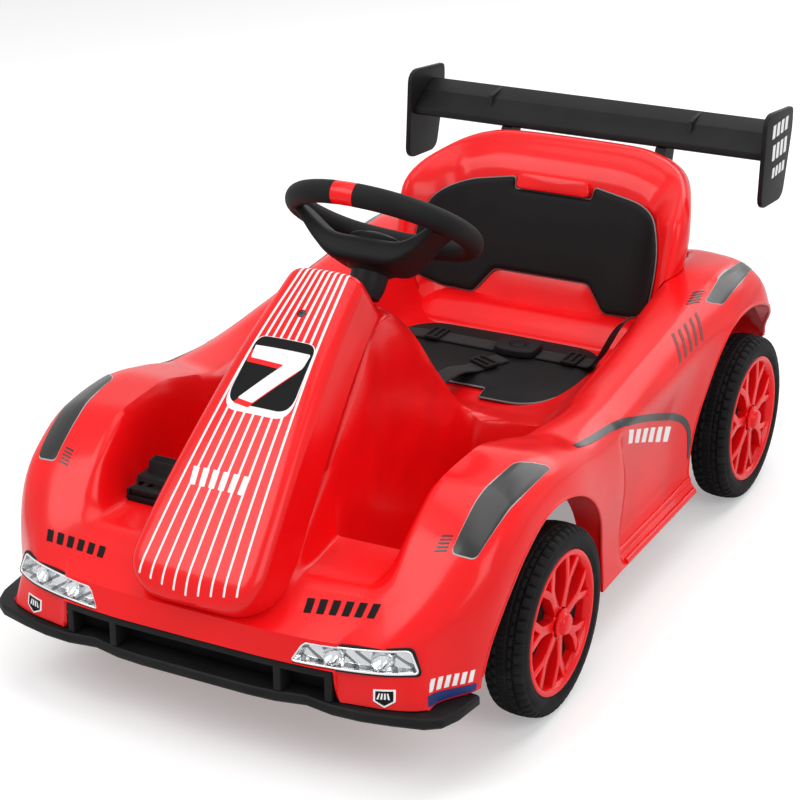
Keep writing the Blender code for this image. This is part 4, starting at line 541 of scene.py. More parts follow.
def red_moulding(name, colour, gloss):
    """Glossy moulded polyethylene: a faint flow in colour and roughness and a soft skin ripple."""
    t = Tree(name)
    at = t.place()
    flow_noise = t.noise(at, 9.0, 3.0)
    deep = tuple(c * 0.86 for c in colour)
    t.feed("Base Color", t.mix(flow_noise.step(0.35, 0.7), deep, colour))
    t.feed("Roughness", t.noise(at, 14.0, 4.0) * 0.08 + gloss)
    t.feed("Coat Weight", 0.12)
    t.feed("Coat Roughness", 0.06)
    t.feed("Specular IOR Level", 0.22)
    t.bump(t.noise(at, 55.0, 2.0) + t.noise(at, 900.0, 2.0) * 0.06, 0.00035, 0.35)
    return t.owner


def satin_black(name, colour, rough, shine=0.11):
    """Matt moulded plastic with a fine spark-eroded grain."""
    t = Tree(name)
    at = t.place()
    t.feed("Base Color", t.mix(t.noise(at, 30.0, 3.0).step(0.3, 0.7), colour, tuple(c * 1.35
                                                                                    for c in colour)))
    t.feed("Roughness", t.noise(at, 60.0, 3.0) * 0.12 + rough)
    t.feed("Specular IOR Level", shine)
    t.bump(t.noise(at, 1400.0, 2.0), 0.00012, 0.5)
    return t.owner


def rubber_finish(name, colour):
    """Matt rubber with pale dust in patches."""
    t = Tree(name)
    at = t.place()
    dust = t.noise(at, 45.0, 5.0).step(0.45, 0.75)
    t.feed("Base Color", t.mix(dust, colour, tuple(c * 1.5 + 0.002 for c in colour)))
    t.feed("Specular IOR Level", 0.1)
    t.feed("Roughness", t.noise(at, 120.0, 3.0) * 0.15 + 0.55)
    t.bump(t.noise(at, 700.0, 3.0), 0.00018, 0.6)
    return t.owner


def pad_finish(name, colour):
    """Embossed leather-look foil: cells of a pebbled grain with creases between them."""
    t = Tree(name)
    at = t.place()
    pebble = t.cells(at, 620.0, "SMOOTH_F1")
    crease = t.cells(at, 620.0, "DISTANCE_TO_EDGE").step(0.0, 0.12)
    t.feed("Base Color", t.mix(t.noise(at, 18.0, 3.0), colour, tuple(c * 1.5 for c in colour)))
    t.feed("Roughness", 0.62 - crease * 0.12)
    t.feed("Specular IOR Level", 0.1)
    t.bump(crease * 0.6 - pebble * 0.4, 0.00018, 0.55)
    return t.owner


def webbing_finish(name, colour):
    """Plain-woven strap: the product of a sine across its width and a sine along it is the weave."""
    t = Tree(name)
    u, v, _ = t.split(t.node("ShaderNodeUVMap"))
    across = (u * (2 * pi * 12)).math("SINE")
    along = (v * (2 * pi / 0.0022)).math("SINE")
    weave = across * along
    # The colour follows the weave: darker in its hollows and lighter on its crests, painted shade and
    # painted sheen on yarn of one colour.
    t.feed("Base Color", t.mix(weave.step(-0.6, 0.9), tuple(c * 0.5 for c in colour),
                               tuple(c * 2.8 for c in colour)))
    t.feed("Roughness", 0.78)
    t.feed("Specular IOR Level", 0.15)
    t.feed("Sheen Weight", 0.1)
    t.feed("Sheen Roughness", 0.4)
    t.bump(weave * 0.5 + across * 0.3, 0.0006, 1.0)
    return t.owner


def metal_finish(name, colour, rough):
    """Bright metal with a faint cloudy sheen."""
    t = Tree(name)
    at = t.place()
    t.feed("Base Color", colour)
    t.feed("Metallic", 1.0)
    t.feed("Roughness", t.noise(at, 90.0, 4.0) * 0.18 + rough)
    t.bump(t.noise(at, 500.0, 2.0), 0.00006, 0.4)
    return t.owner


def vinyl(name, colour, rough=0.38, shine=0.22):
    """Printed sticker film."""
    t = Tree(name)
    at = t.place()
    t.feed("Base Color", colour)
    t.feed("Roughness", t.noise(at, 80.0, 2.0) * 0.08 + rough)
    t.feed("Specular IOR Level", shine)
    t.bump(t.noise(at, 260.0, 2.0), 0.00005, 0.3)
    return t.owner


def reflector_finish(name, bright, fold_shade):
    """Bright plated plastic; thin slanted bands of painted shade between the round cells stand for the
    shadow in deep folds.
    """
    t = Tree(name)
    x, _, z = t.split(t.place())
    mask = None
    for cx, cz in LAMP_CELLS:
        dx = (abs(x) - cx) * (1 / 0.0102)
        dz = (z - cz) * (1 / 0.0102)
        near = 1 - (dx * dx + dz * dz).step(0.92, 1.08)
        mask = near if mask is None else mask + near
    # The slanted bands mix the plating towards black: painted shade in the folds.
    fold = ((abs(x) * 58 + z * 90).math("FRACT") < 0.30) * (1 - mask)
    t.feed("Base Color", t.mix(fold * 0.75, bright, tuple(c * 4 for c in fold_shade)))
    t.feed("Metallic", 0.9)
    t.feed("Roughness", 0.20 - mask * 0.10)
    return t.owner


def clear_finish(name):
    """Clear lens plastic."""
    t = Tree(name)
    t.feed("Base Color", (0.97, 0.98, 0.99))
    t.feed("Roughness", 0.02)
    t.feed("Transmission Weight", 1.0)
    t.feed("IOR", 1.38)
    return t.owner


# Body hull


def body_row(y, face=0.0, tail=0.0):
    """Control points of one body section; face and tail carry it down the front and the back, 0 to 1."""
    lead = ease((BOW_END - y) / (BOW_END - FRONT_Y))
    lag = ease((y - 0.60) / (TAIL_Y - 0.60))
    shift = np.array(BOW) * lead - np.array(TAIL_BOW) * lag
    row = np.array([[smooth(LINES[n][0], y), y + s, smooth(LINES[n][1], y)] for n,
                    s in zip(LINES, shift)])
    if face:
        row[:, 0] += np.array(FACE_FLARE) * face
        row[:, 1] -= np.array(FACE_LEAN) * face
        row[:, 2] -= (np.array(FACE_DROP) + FRONT_FACE) * face
    if tail:
        row[:, 1] += 0.004 * ease(tail)
        row[:, 2] += (TAIL_BOTTOM - row[:, 2]) * tail
    return row


def body_section(row, steps):
    """Half a section through the control points, read along its length."""
    s = np.concatenate([[0], np.cumsum(np.linalg.norm(np.diff(row, axis=0), axis=1) + 1e-6)])
    at = [np.linspace(s[k], s[k + 1], n + 1)[:-1] for k, n in enumerate(steps)]
    at = np.append(np.concatenate(at), s[-1])
    return np.stack([hermite(s, row[:, c], at) for c in range(3)], axis=1)


HULL_STEPS = [5, 9, 4, 9, 6, 5, 9, 8, 5]
HULL_PITCH = 0.0075


def body_grid():
    """The deck and sides as one grid: rows from the front lip to the tail, columns from right to left."""
    rows = [body_row(FRONT_Y, face=w) for w in (1.0, 0.8, 0.6, 0.42, 0.28, 0.16, 0.08, 0.03)]
    for a, b in zip(STATIONS[:-1], STATIONS[1:]):
        n = max(1, int(round((b - a) / HULL_PITCH)))
        rows += [body_row(y) for y in np.linspace(a, b, n + 1)[:-1]]
    rows.append(body_row(TAIL_Y))
    rows += [body_row(TAIL_Y, tail=w) for w in (0.05, 0.15, 0.3, 0.5, 0.75, 1.0)]
    half = np.array([body_section(r, HULL_STEPS) for r in rows])
    left = half[:, :0:-1] * np.array([-1, 1, 1])
    return to_row(np.concatenate([left, half], axis=1))


def grid_normals(g):
    """Unit normals of a grid, the cross product of its slopes along columns and rows."""
    n = np.cross(np.gradient(g, axis=1), np.gradient(g, axis=0))
    return n / np.linalg.norm(n, axis=2, keepdims=True)


HULL = body_grid()
HULL_NORMALS = grid_normals(HULL)


def hull_solid(name, clearance, floor_z=0.03):
    """The space under the hull's outer skin, down to a flat floor."""
    g = HULL + HULL_NORMALS * clearance
    low = g.copy()
    low[..., 2] = floor_z
    return closed_skin(name, g, low)


def hull_tree():
    """The hull's faces, ready for rays and nearest places."""
    g = HULL.reshape(-1, 3)
    return BVHTree.FromPolygons(g.tolist(), grid_faces(*HULL.shape[:2]).tolist())


HULL_TREE = hull_tree()


def on_hull(points, direction, lift=0.0):
    """Drop places onto the hull along a direction and lift them off along its normal."""
    out = []
    d = Vector(direction).normalized()
    for p in np.asarray(points, float).reshape(-1, 3):
        hit, normal, _, _ = HULL_TREE.ray_cast(Vector(p) - d * 0.4, d)
        if hit is None:
            hit, normal, _, _ = HULL_TREE.find_nearest(Vector(p))
        if normal.dot(d) > 0:
            normal = -normal
        out.append(hit + normal * lift)
    return np.array(out).reshape(np.shape(points))


LAMP_CORNERS = [(0.2231, 0.1551), (0.2327, 0.1313), (0.1102, 0.1324), (0.1216, 0.1529)]
LAMP_ROWS = [(0.0, 0.035), (0.16, 0.008), (0.84, 0.008), (1.0, 0.035)]
LAMP_DEPTH = 0.014
LENS_T = 0.002
LENS_PROUD = 0.0005


def lamp_corners(grow):
    """A lamp's four corners, each moved out along both axes."""
    return np.array(LAMP_CORNERS) + np.array([[1, 1], [1, -1], [-1, -1], [-1, 1]]) * grow


def lamp_face(grow, columns=9, rows=LAMP_ROWS):
    """Grid of (x, z) places over a lamp's outline, by rows of (share of its height, cut at each end)."""
    top_out, low_out, low_in, top_in = lamp_corners(grow)
    out = []
    for t, short in rows:
        a = low_in + (top_in - low_in) * t
        b = low_out + (top_out - low_out) * t
        out.append([a + (b - a) * s for s in np.linspace(short, 1 - short, columns)])
    return np.array(out)


def lamp_outline(grow):
    """The loop round a coarse grid of the lamp."""
    g = lamp_face(grow)
    return np.concatenate([g[0], g[1:, -1], g[-1, -2::-1], g[-2:0:-1, 0]])


def bar(name, sections):
    """A solid from equal outlines joined in a row."""
    return tube_grid(name, np.array(sections))


def at_level(outline, axis, level):
    """A flat outline as places in space: one more coordinate, the same for all of them."""
    return np.insert(np.asarray(outline, float), axis, level, axis=1)


def sweep(name, outline, axis, levels):
    """A flat outline carried along an axis from one level to another."""
    return bar(name, [to_row(at_level(outline, axis, level)) for level in levels])


def round_bar(name, a, b, radius, n=24):
    """A cylinder between two places."""
    a, b = Vector(a), Vector(b)
    turn = (b - a).to_track_quat("Z", "Y").to_matrix().to_4x4()
    obj = turned(name, [(radius, 0.0), (radius, (b - a).length)], n, closed=False)
    return place(obj, Matrix.Translation(a) @ turn)


def block(name, x0, x1, y0, y1, z0, z1):
    """A box by its limits."""
    return bar(name, [[(x, y0, z0), (x, y1, z0), (x, y1, z1), (x, y0, z1)] for x in (x0, x1)])


def column_point(d):
    """A point on the steering column's axis, d above the wheel's centre."""
    return Vector(to_row((0, WHEEL_Y, WHEEL_Z))) + Vector((0, sin(COLUMN_TILT), cos(COLUMN_TILT))) * d


def arch_radius(y):
    """The wheel arch's radius, larger at the rear."""
    return ARCH_R if y < WHEEL_BASE / 2 else REAR_ARCH_R


SIDES = ((1, "left"), (-1, "right"))
# Each arch's middle, then its first and last degree: for the liners, and for the beads on their edges
LINER_ARCS = ((FRONT_ARCH_Y, -9.5, 176), (REAR_ARCH_Y, 9, 188))
LIP_ARCS = ((FRONT_ARCH_Y, -6, 172), (REAR_ARCH_Y, 10, 184))
LINER_OUT = 0.31
ARCH_OUT = 0.36
LIP_SET_IN = 0.0010
LIP_RADIUS = 0.0019
LAMP_HOLE_Y = (-0.275, -0.170)
COLUMN_HOLE_ENDS = (-0.16, -0.03)
COLUMN_HOLE_R = 0.0125


def arch_arc(y, grow, start, end, n):
    """An arc round a wheel arch's middle as (y, z) places, between two angles in degrees."""
    a = np.radians(np.linspace(start, end, n))
    r = arch_radius(y) + grow
    return np.column_stack([y + r * np.cos(a), ARCH_Z + r * np.sin(a)])


def make_hull(red):
    """The moulding: a wall under the hull grid, arch liners added and the openings cut."""
    shell = closed_skin("hull", HULL, HULL - HULL_NORMALS * WALL)
    for side in (-1, 1):
        for y, start, end in LINER_ARCS:
            inner = arch_arc(y, -0.0005, start, end, 60)
            outer = arch_arc(y, WALL, start, end, 60)
            liner = sweep("liner", np.concatenate([inner, outer[::-1]]), 0,
                          (side * LINER_IN, side * LINER_OUT))
            cut(liner, hull_solid("under", -WALL * 0.5), "INTERSECT")
            cut(shell, liner, "UNION")
    tools = []
    for side in (-1, 1):
        for y in (FRONT_ARCH_Y, REAR_ARCH_Y):
            a, b = to_row([(side * ARCH_IN, y, ARCH_Z), (side * ARCH_OUT, y, ARCH_Z)])
            tools.append(round_bar("arch", a, b, arch_radius(y), 96))
        tools.append(sweep("lamp_hole", lamp_outline(0.0006) * [side, 1], 1, LAMP_HOLE_Y))
    tools.append(round_bar("column_hole", *[column_point(d) for d in COLUMN_HOLE_ENDS], COLUMN_HOLE_R,
                           32))
    lo, hi = to_row([(-0.3, -0.3, 0.05), (0.3, -0.168, LIP_TOP + GAP)])
    tools.append(block("front_cut", lo[0], hi[0], lo[1], hi[1], lo[2], hi[2]))
    for tool in tools:
        cut(shell, tool)
    return settle(shell, red, "chassis", ["body_shell"], angle=38)


def make_arch_lips(red):
    """A round bead along the edge of each wheel arch."""
    lips = []
    for side in (-1, 1):
        for y, start, end in LIP_ARCS:
            arc = at_level(arch_arc(y, 0, start, end, 70), 0, side * 0.30)
            path = on_hull(to_row(arc), (-side, 0, 0)) - [side * LIP_SET_IN, 0, 0]
            lips.append(tube_grid("lip", ring_path(path, LIP_RADIUS, 10, closed=False)))
    return settle(join("arch_lips", lips), red, "chassis")


SILL = ((0.2615, 0.0815, 0.0038), (0.2685, 0.0700, 0.0042))
SILL_ENDS = (0.206, 0.402)


def make_sills(red):
    """Two round ridges along the flare under each door side: beads on straight paths laid on the hull."""
    ridges = []
    y = np.linspace(*SILL_ENDS, 60)
    for side in (-1, 1):
        for x, z, radius in SILL:
            path = on_skin([(side * x, at, z) for at in y], -radius * 0.35)
            ridges.append(tube_grid("ridge", ring_path(path, radius, 14, closed=False)))
    return settle(join("sill_ridges", ridges), red, "chassis", angle=60)


# Nose cover

COVER_LINE = [(-0.250, 0.180), (-0.181, 0.248), (-0.106, 0.314), (-0.038, 0.367), (0.046, 0.420)]
COVER_HALF = [(0.0, 0.079), (0.25, 0.072), (0.55, 0.060), (0.80, 0.050), (1.0, 0.043)]
COVER_DEPTH = 0.052
COVER_EDGE = 0.014
COVER_ROUND = (0.13, 0.05)
COVER_POWER = 2.3
COVER_TIP = 0.42
COVER_DIP = 0.012
SCREW_T = 0.83


def cover_line(u):
    """The nose cover's top line, y and z at shares of its length."""
    line = np.array(COVER_LINE)
    s = lengths(line)
    s = s / s[-1]
    return hermite(s, line[:, 0], u), hermite(s, line[:, 1], u)


def cover_frame(u):
    """Point, tangent and outward normal of the nose cover's top line at a share of its length."""
    y, z = cover_line(np.clip(np.array([u - 0.01, u, u + 0.01]), 0, 1))
    t = np.array([0, y[2] - y[0], z[2] - z[0]])
    t = t / np.linalg.norm(t)
    return np.array([0, y[1], z[1]]), t, np.array([0, -t[2], t[1]])


def cover_section(u, by):
    """Outline across the cover: side walls, rounded shoulders and a top with a faint crown."""
    p, _, n = cover_frame(u)
    half = smooth(COVER_HALF, u) - by
    r = COVER_EDGE - by
    a = np.radians(np.linspace(0, 90, 9))
    side = [(half + 0.004, -COVER_DEPTH), (half + 0.003, -0.040), (half + 0.002, -0.028),
            (half + 0.0008, -0.020)]
    corner = [(half - r + r * cos(q), -by - r + r * sin(q)) for q in a]
    w = half - r
    top = [(w * q, -by + 0.0018 * (1 - q * q)) for q in (0.88, 0.7, 0.5, 0.3, 0.15, 0.0)]
    right = np.array(side + corner + top)
    pts = np.concatenate([right * [-1, 1], right[-2::-1]])
    return p + np.column_stack([pts[:, 0], np.zeros(len(pts)), np.zeros(len(pts))]) + n * pts[:, 1:2]


def cover_rows(by):
    """Sections of the cover, drawn in towards its rounded ends by a superellipse and dipped there."""
    start = [0.0, 0.003, 0.008, 0.016, 0.025, 0.038, 0.055, 0.075, 0.10, 0.13, 0.16]
    us = start + list(np.linspace(0.20, 0.93, 26)) + [1 - u * 0.45 for u in start[:9][::-1]]
    rows = []
    for u in us:
        end = u / COVER_ROUND[0] if u < 0.5 else (1 - u) / COVER_ROUND[1]
        shrink = (1 - (1 - min(end, 1.0)) ** COVER_POWER) ** (1 / COVER_POWER)
        shrink = COVER_TIP + (1 - COVER_TIP) * shrink
        dip = COVER_DIP * (1 - min(end * 1.6, 1.0)) ** 2
        p = cover_section(0.02 + 0.96 * u if by else u, by)
        p[:, 0] *= shrink
        rows.append(p - cover_frame(u)[2] * dip)
    return to_row(np.array(rows))


def make_cover(finish_cover):
    """The cover as a lid: outer and inner skins with end walls, cut to sit on the hull."""
    outer, inner = cover_rows(0.0), cover_rows(WALL)
    shell = closed_skin("nose_lid", outer, inner)
    for edge, u, s in ((outer[0], 0.0, 1), (outer[-1], 1.0, -1)):
        step = cover_frame(u)[1] * s * WALL * 2
        cut(shell, bar("end_wall", [edge, edge + step]), "UNION", "EXACT")
    cut(shell, hull_solid("under", 2 * GAP))
    p, _, n = cover_frame(SCREW_T)
    p = to_row(p)
    cut(shell, round_bar("screw_well", p - n * 0.0016, p + n * 0.02, 0.0050, 24))
    return settle(shell, finish_cover, "chassis", ["nose_cover"], angle=38)


STRIPE_LOW = (-0.2353, 0.0556)
STRIPE_HIGH = (0.0425, 0.0261)
STRIPES = 9
STRIPE_ENDS = (0.1785, 0.4235)


def striped_red(name, colour, white, gloss):
    """The cover's red with fanned white stripes.

    Each stripe keeps its share of a width that narrows evenly along y."""
    t = Tree(name)
    at = t.place()
    x, y, z = t.split(at)
    (y0, w0), (y1, w1) = STRIPE_LOW, STRIPE_HIGH
    slope = (w1 - w0) / (y1 - y0)
    fan = y * slope + (w0 - slope * (y0 + FRONT_AXLE_Y))
    share = x / fan * ((STRIPES - 1) / 2)
    near = abs(share - share.math("ROUND"))
    half = y * (0.00030 / 0.28) + 0.00165
    stripe = 1 - (near * fan * (2 / (STRIPES - 1)) / half).step(0.82, 1.18)
    inside = (abs(share) < (STRIPES - 1) / 2 + 0.5)
    ends = (z - abs(x) * 0.17).step(STRIPE_ENDS[0] - 0.0006, STRIPE_ENDS[0] + 0.0006)
    top = 1 - (z + abs(x) * 0.10).step(STRIPE_ENDS[1] - 0.0006, STRIPE_ENDS[1] + 0.0006)
    mask = stripe * inside * ends * top
    deep = tuple(c * 0.86 for c in colour)
    red = t.mix(t.noise(at, 9.0, 3.0).step(0.35, 0.7), deep, colour)
    t.feed("Base Color", t.mix(mask, red, white))
    t.feed("Roughness", t.noise(at, 14.0, 4.0) * 0.08 + gloss + mask * 0.08)
    t.feed("Coat Weight", 0.10)
    t.feed("Coat Roughness", 0.08)
    t.feed("Specular IOR Level", 0.22)
    t.bump(t.noise(at, 55.0, 2.0) + t.noise(at, 900.0, 2.0) * 0.06, 0.00035, 0.35)
    return t.owner


def on_cover(p, lift=0.0):
    """Places on the cover's top, from widths and distances along y, lifted along its normal."""
    x, y = np.moveaxis(np.asarray(p, float)[..., :2], -1, 0)
    u = np.linspace(0, 1, 400)
    ly, lz = cover_line(u)
    at = np.interp(y, ly, u)
    z = np.interp(y, ly, lz)
    dy = np.interp(y, ly[:-1], np.diff(ly))
    dz = np.interp(y, ly[:-1], np.diff(lz))
    length = np.hypot(dy, dz)
    half = smooth(COVER_HALF, at) - COVER_EDGE
    crown = 0.0018 * (1 - np.clip(np.abs(x) / half, 0, 1) ** 2) + lift
    return to_row(np.stack([x, y - dz / length * crown, z + dy / length * crown], axis=-1))


def on_skin(p, lift=0.0):
    """The places of the hull nearest to those given, lifted along the smoothed normal."""
    p = to_row(p)
    out = []
    for q in p.reshape(-1, 3):
        hit, normal, _, _ = HULL_TREE.find_nearest(Vector(q))
        if normal.z + normal.x * hit.x * 4 < 0:
            normal = -normal
        out.append(hit + normal * lift)
    return np.array(out).reshape(p.shape)


def clear_of_arch(p, lift=0.0):
    """The places of the hull nearest to those given, moved out of the rear arch's circle first."""
    q = np.array(p, float)
    middle = np.array([REAR_ARCH_Y, ARCH_Z])
    out = q[..., 1:] - middle
    r = np.linalg.norm(out, axis=-1, keepdims=True)
    q[..., 1:] = middle + out * np.maximum(1, (REAR_ARCH_R + 0.0025) / r)
    return on_skin(q, lift)


def film(name, outline, surface, lift=0.0004, rings=9, depth=0.0004):
    """A sticker laid on a surface: rings of its outline shrunk to the middle, on top and underneath."""
    o = np.asarray(outline, float)
    centre = o.mean(axis=0)
    share = np.linspace(0.04, 1, rings)[:, None, None]
    flat = centre + (o[None] - centre) * share
    rows = np.concatenate([surface(flat, -depth), surface(flat[::-1], lift)])
    return tube_grid(name, rows)


def strip(name, path, width, surface, lift=0.0004, n=32, depth=0.0004):
    """A band of film along a path, laid on a surface; width is one value or one for each point."""
    p = np.asarray(path, float)
    w = np.broadcast_to(np.asarray(width, float), (len(p),))
    p = flow(np.column_stack([p, w]), n)
    w, p = p[:, -1:] / 2, p[:, :-1]
    t = np.gradient(surface(p, 0.0), axis=0)
    t /= np.linalg.norm(t, axis=1, keepdims=True)
    if p.shape[1] == 2:
        t = np.gradient(p, axis=0)
        t /= np.linalg.norm(t, axis=1, keepdims=True)
        side = np.column_stack([-t[:, 1], t[:, 0]])
    else:
        up = surface(p, 0.002) - surface(p, 0.0)
        side = np.cross(t, up)
        side /= np.linalg.norm(side, axis=1, keepdims=True)
    across = [(-1, lift), (-0.5, lift), (0, lift), (0.5, lift), (1, lift), (1, -depth), (0, -depth),
              (-1, -depth)]
    grid = np.stack([surface(p + side * w * k, z) for k, z in across], axis=1)
    return tube_grid(name, grid)


# Seat

SEAT_LEAN = 0.353
SEAT_FOOT = (0.545, 0.2050)
SEAT_PAN_Z = 0.184
SEAT_PAD_T = 0.009
SEAT_PAD_Y = (0.292, 0.474)
SEAT_PAD_HALF = 0.137
SEAT_PAD_NOTCH = (0.046, 0.026)
WRAP = [(0.0, 0.0), (0.110, 0.0), (0.122, 0.003), (0.136, 0.012), (0.144, 0.021), (0.150, 0.028),
        (0.160, 0.037), (0.172, 0.046), (0.180, 0.049), (0.190, 0.050)]
SEAT_OUTLINE = [(0.165, -0.110), (0.180, 0.010), (0.189, 0.075), (0.190, 0.115), (0.183, 0.143),
                (0.168, 0.168), (0.146, 0.189), (0.115, 0.202), (0.070, 0.208)]
BORDER = [(0.020, -0.040), (0.004, -0.036), (0.0, -0.020), (0.003, -0.006), (0.012, 0.0), (0.024, 0.0),
          (0.036, 0.0), (0.046, 0.0), (0.056, 0.0), (0.068, 0.0)]
ROLL = [(0.0, -0.016), (0.012, -0.013), (0.024, -0.007), (0.036, -0.002), (0.050, 0.0)]
BLOCK = [(-0.050, 0.137), (0.050, 0.137), (0.046, 0.156), (-0.046, 0.156)]
FOOT = [(0.0, 0.0335), (0.0622, 0.0335), (0.0870, 0.0005), (0.128, 0.0018), (0.150, 0.0090),
        (0.152, -0.045), (0.0, -0.045)]
FOOT_RAISED = 0.0045
KERB = [(0.480, 0.170), (0.480, 0.1868), (0.488, 0.1880), (0.497, 0.1925), (0.505, 0.1985),
        (0.513, 0.2035), (0.521, 0.2062), (0.530, 0.2070), (0.565, 0.2070), (0.565, 0.170)]
KERB_HALF = 0.160
RAISED = 0.007
BACK_PAD = [(0.0, 0.0350), (0.0635, 0.0350), (0.0885, 0.0020), (0.128, 0.0035), (0.156, 0.014),
            (0.1600, 0.055), (0.1580, 0.090), (0.144, 0.122), (0.116, 0.1390), (0.0535, 0.1505),
            (0.0520, 0.1355), (0.0, 0.1355)]
BACK_PAD_CORNERS = [0, 0.006, 0.006, 0, 0.012, 0.03, 0.03, 0.03, 0.03, 0.003, 0.003, 0]


def on_seat(x, h, d):
    """Places of the seat back at widths, heights up its plane and depths forward of it."""
    up = np.array([0, SEAT_LEAN, 1.0]) / np.hypot(SEAT_LEAN, 1.0)
    forward = np.array([0, -up[2], up[1]])
    foot = to_row((0, *SEAT_FOOT))
    x, h, d = np.broadcast_arrays(np.asarray(x, float), np.asarray(h, float), np.asarray(d, float))
    return foot + x[..., None] * np.array([1.0, 0, 0]) + h[..., None] * up + d[..., None] * forward


def spread_profile(table, n):
    """Read n rows off a smooth curve through a table of pairs."""
    t = np.array(table, float)
    s = lengths(t)
    at = np.linspace(0, s[-1], n)
    return np.column_stack([hermite(s, t[:, 0], at), hermite(s, t[:, 1], at)])


def seat_back_mesh():
    """Loops from the back edge over the rolled border to the pad's plane, the sides wrapped forward."""
    right = np.array(SEAT_OUTLINE)
    table = np.concatenate([right, right[::-1] * [-1, 1]])
    outline = flow(table, 150, closed=True)
    keep = outline[:, 1] > -0.1101
    outline[~keep, 1] = -0.110
    loops = []
    profile = spread_profile(BORDER, 46)
    for k, (by, extra) in enumerate(profile):
        o = inset(outline, by)
        side = ease((np.abs(outline[:, 0]) - 0.110) / 0.070) * ease((0.222 - outline[:, 1]) / 0.105)
        depth = side * smooth(WRAP, np.abs(o[:, 0])) + (1 - side) * smooth(ROLL, by) + extra
        last = ease((k - 38) / 7)
        loops.append(on_seat(o[:, 0], o[:, 1], depth * (1 - last)))
    return tube_grid("seat_moulding", np.array(loops))


def seat_prism(name, outline, d0, d1):
    """An outline on the seat's plane carried between two depths."""
    o = np.asarray(outline, float)
    return bar(name, [on_seat(o[:, 0], o[:, 1], d) for d in (d0, d1)])


def make_seat_back(red):
    """The moulded seat back, its top block, its foot and the kerb before it."""
    seat = seat_back_mesh()
    cut(seat, hull_solid("under", 0.0012))
    settle(seat, red, "chassis", ["seat_back"], angle=50)
    block_piece = bevelled(seat_prism("seat_top_block", rounded(BLOCK, 0.008), -0.004, RAISED + 0.004),
                           0.0022, 4, 60)
    settle(block_piece, red, "chassis", angle=50)
    foot = resample(rounded(mirror_outline(FOOT), [0, 0.007, 0.007, 0.012, 0.012, 0.004, 0.004, 0]
                            + [0.004, 0.004, 0.012, 0.012, 0.007, 0.007]), 220, closed=True)
    if np.cross(foot[1] - foot[0], foot[2] - foot[1]) < 0:
        foot = foot[::-1]
    rise = cushion("seat_foot_rise", foot, back_surface, FOOT_RAISED, edge=0.004, crown=0.0, floor=-0.003)
    settle(rise, red, "chassis", angle=60)
    settle(seat_kerb(), red, "chassis", angle=60)
    return seat


def seat_kerb():
    """The step of the deck before the seat back: one rounded profile carried across, its ends sunk."""
    profile = resample(KERB, 60, closed=True)
    rows = []
    for x in np.linspace(-KERB_HALF, KERB_HALF, 41):
        drop = 0.010 * ease((abs(x) - 0.125) / (KERB_HALF - 0.125))
        rows.append(at_level(profile - [0, drop], 0, x))
    return tube_grid("seat_kerb", to_row(np.array(rows)))


def mirror_outline(half):
    """A closed outline from its right half, which starts and ends on the middle line."""
    half = np.asarray(half, float)
    return np.concatenate([half, (half * [-1, 1])[-2:0:-1]])


PAD_RINGS = (0.0004, 0.0010, 0.0018, 0.0028, 0.0040, 0.0055, 0.0075, 0.0100, 0.0130)
PAD_PITCH = 0.0042


def cushion(name, outline, surface, height, edge=0.007, crown=0.0012, floor=-0.0002):
    """A padded slab on a surface, whose height at a place depends on its distance to the outline.

    A quarter circle rises from 45 % of the height within the edge, and a slow swell goes on inwards."""
    o = np.asarray(outline, float)
    rings = [inset(o, by) for by in PAD_RINGS]
    low, high = o.min(axis=0), o.max(axis=0)
    xs = np.arange(low[0], high[0], PAD_PITCH)
    ys = np.arange(low[1], high[1], PAD_PITCH)
    field = np.stack(np.meshgrid(xs, ys), axis=-1).reshape(-1, 2)
    wanted = np.concatenate([np.full(len(o), by) for by in PAD_RINGS]
                            + [np.full(len(field), PAD_RINGS[-1] + 0.002)])
    spots = np.concatenate(rings + [field])
    reach = edge_distance(spots, o)
    spots = spots[reach > wanted * 0.97]
    count = len(o)
    ends = [(k, (k + 1) % count) for k in range(count)]
    flat = [Vector(p) for p in np.concatenate([o, spots]).tolist()]
    points, _, faces = delaunay_2d_cdt(flat, ends, [], 1, 1e-7)[:3]
    p = np.array([tuple(q) for q in points])
    d = edge_distance(p, o) * (np.arange(len(p)) >= count)
    rise = 0.45 + 0.55 * np.sqrt(1 - (1 - np.minimum(d / edge, 1)) ** 2)
    top = height * rise + crown * ease(d / 0.035)
    upper = surface(p[:, 0], p[:, 1], top)
    under = surface(p[:, 0], p[:, 1], np.full(len(p), floor))
    n = len(p)
    walls = [(a, b, n + b, n + a) for a, b in ends]
    faces = [tuple(f) for f in faces] + [tuple(n + k for k in reversed(f)) for f in faces] + walls
    return outward(raw(name, np.concatenate([upper, under]), faces))


def edge_distance(p, outline):
    """How far places are from a closed outline, 0 outside it."""
    a = outline
    b = np.roll(outline, -1, axis=0)
    ab = b - a
    ap = p[:, None] - a[None]
    t = np.clip((ap * ab).sum(axis=2) / (ab * ab).sum(axis=1), 0, 1)
    near = np.linalg.norm(ap - ab * t[..., None], axis=2).min(axis=1)
    crosses = (a[:, 1] > p[:, None, 1]) != (b[:, 1] > p[:, None, 1])
    rise = np.where(ab[:, 1] == 0, 1, ab[:, 1])
    x = a[:, 0] + (p[:, None, 1] - a[:, 1]) / rise * ab[:, 0]
    inside = (crosses & (p[:, None, 0] < x)).sum(axis=1) % 2 == 1
    return near * inside


def back_surface(x, h, d):
    """Places d forward of the seat back's wrapped face."""
    return on_seat(x, h, smooth(WRAP, np.abs(x)) + d)


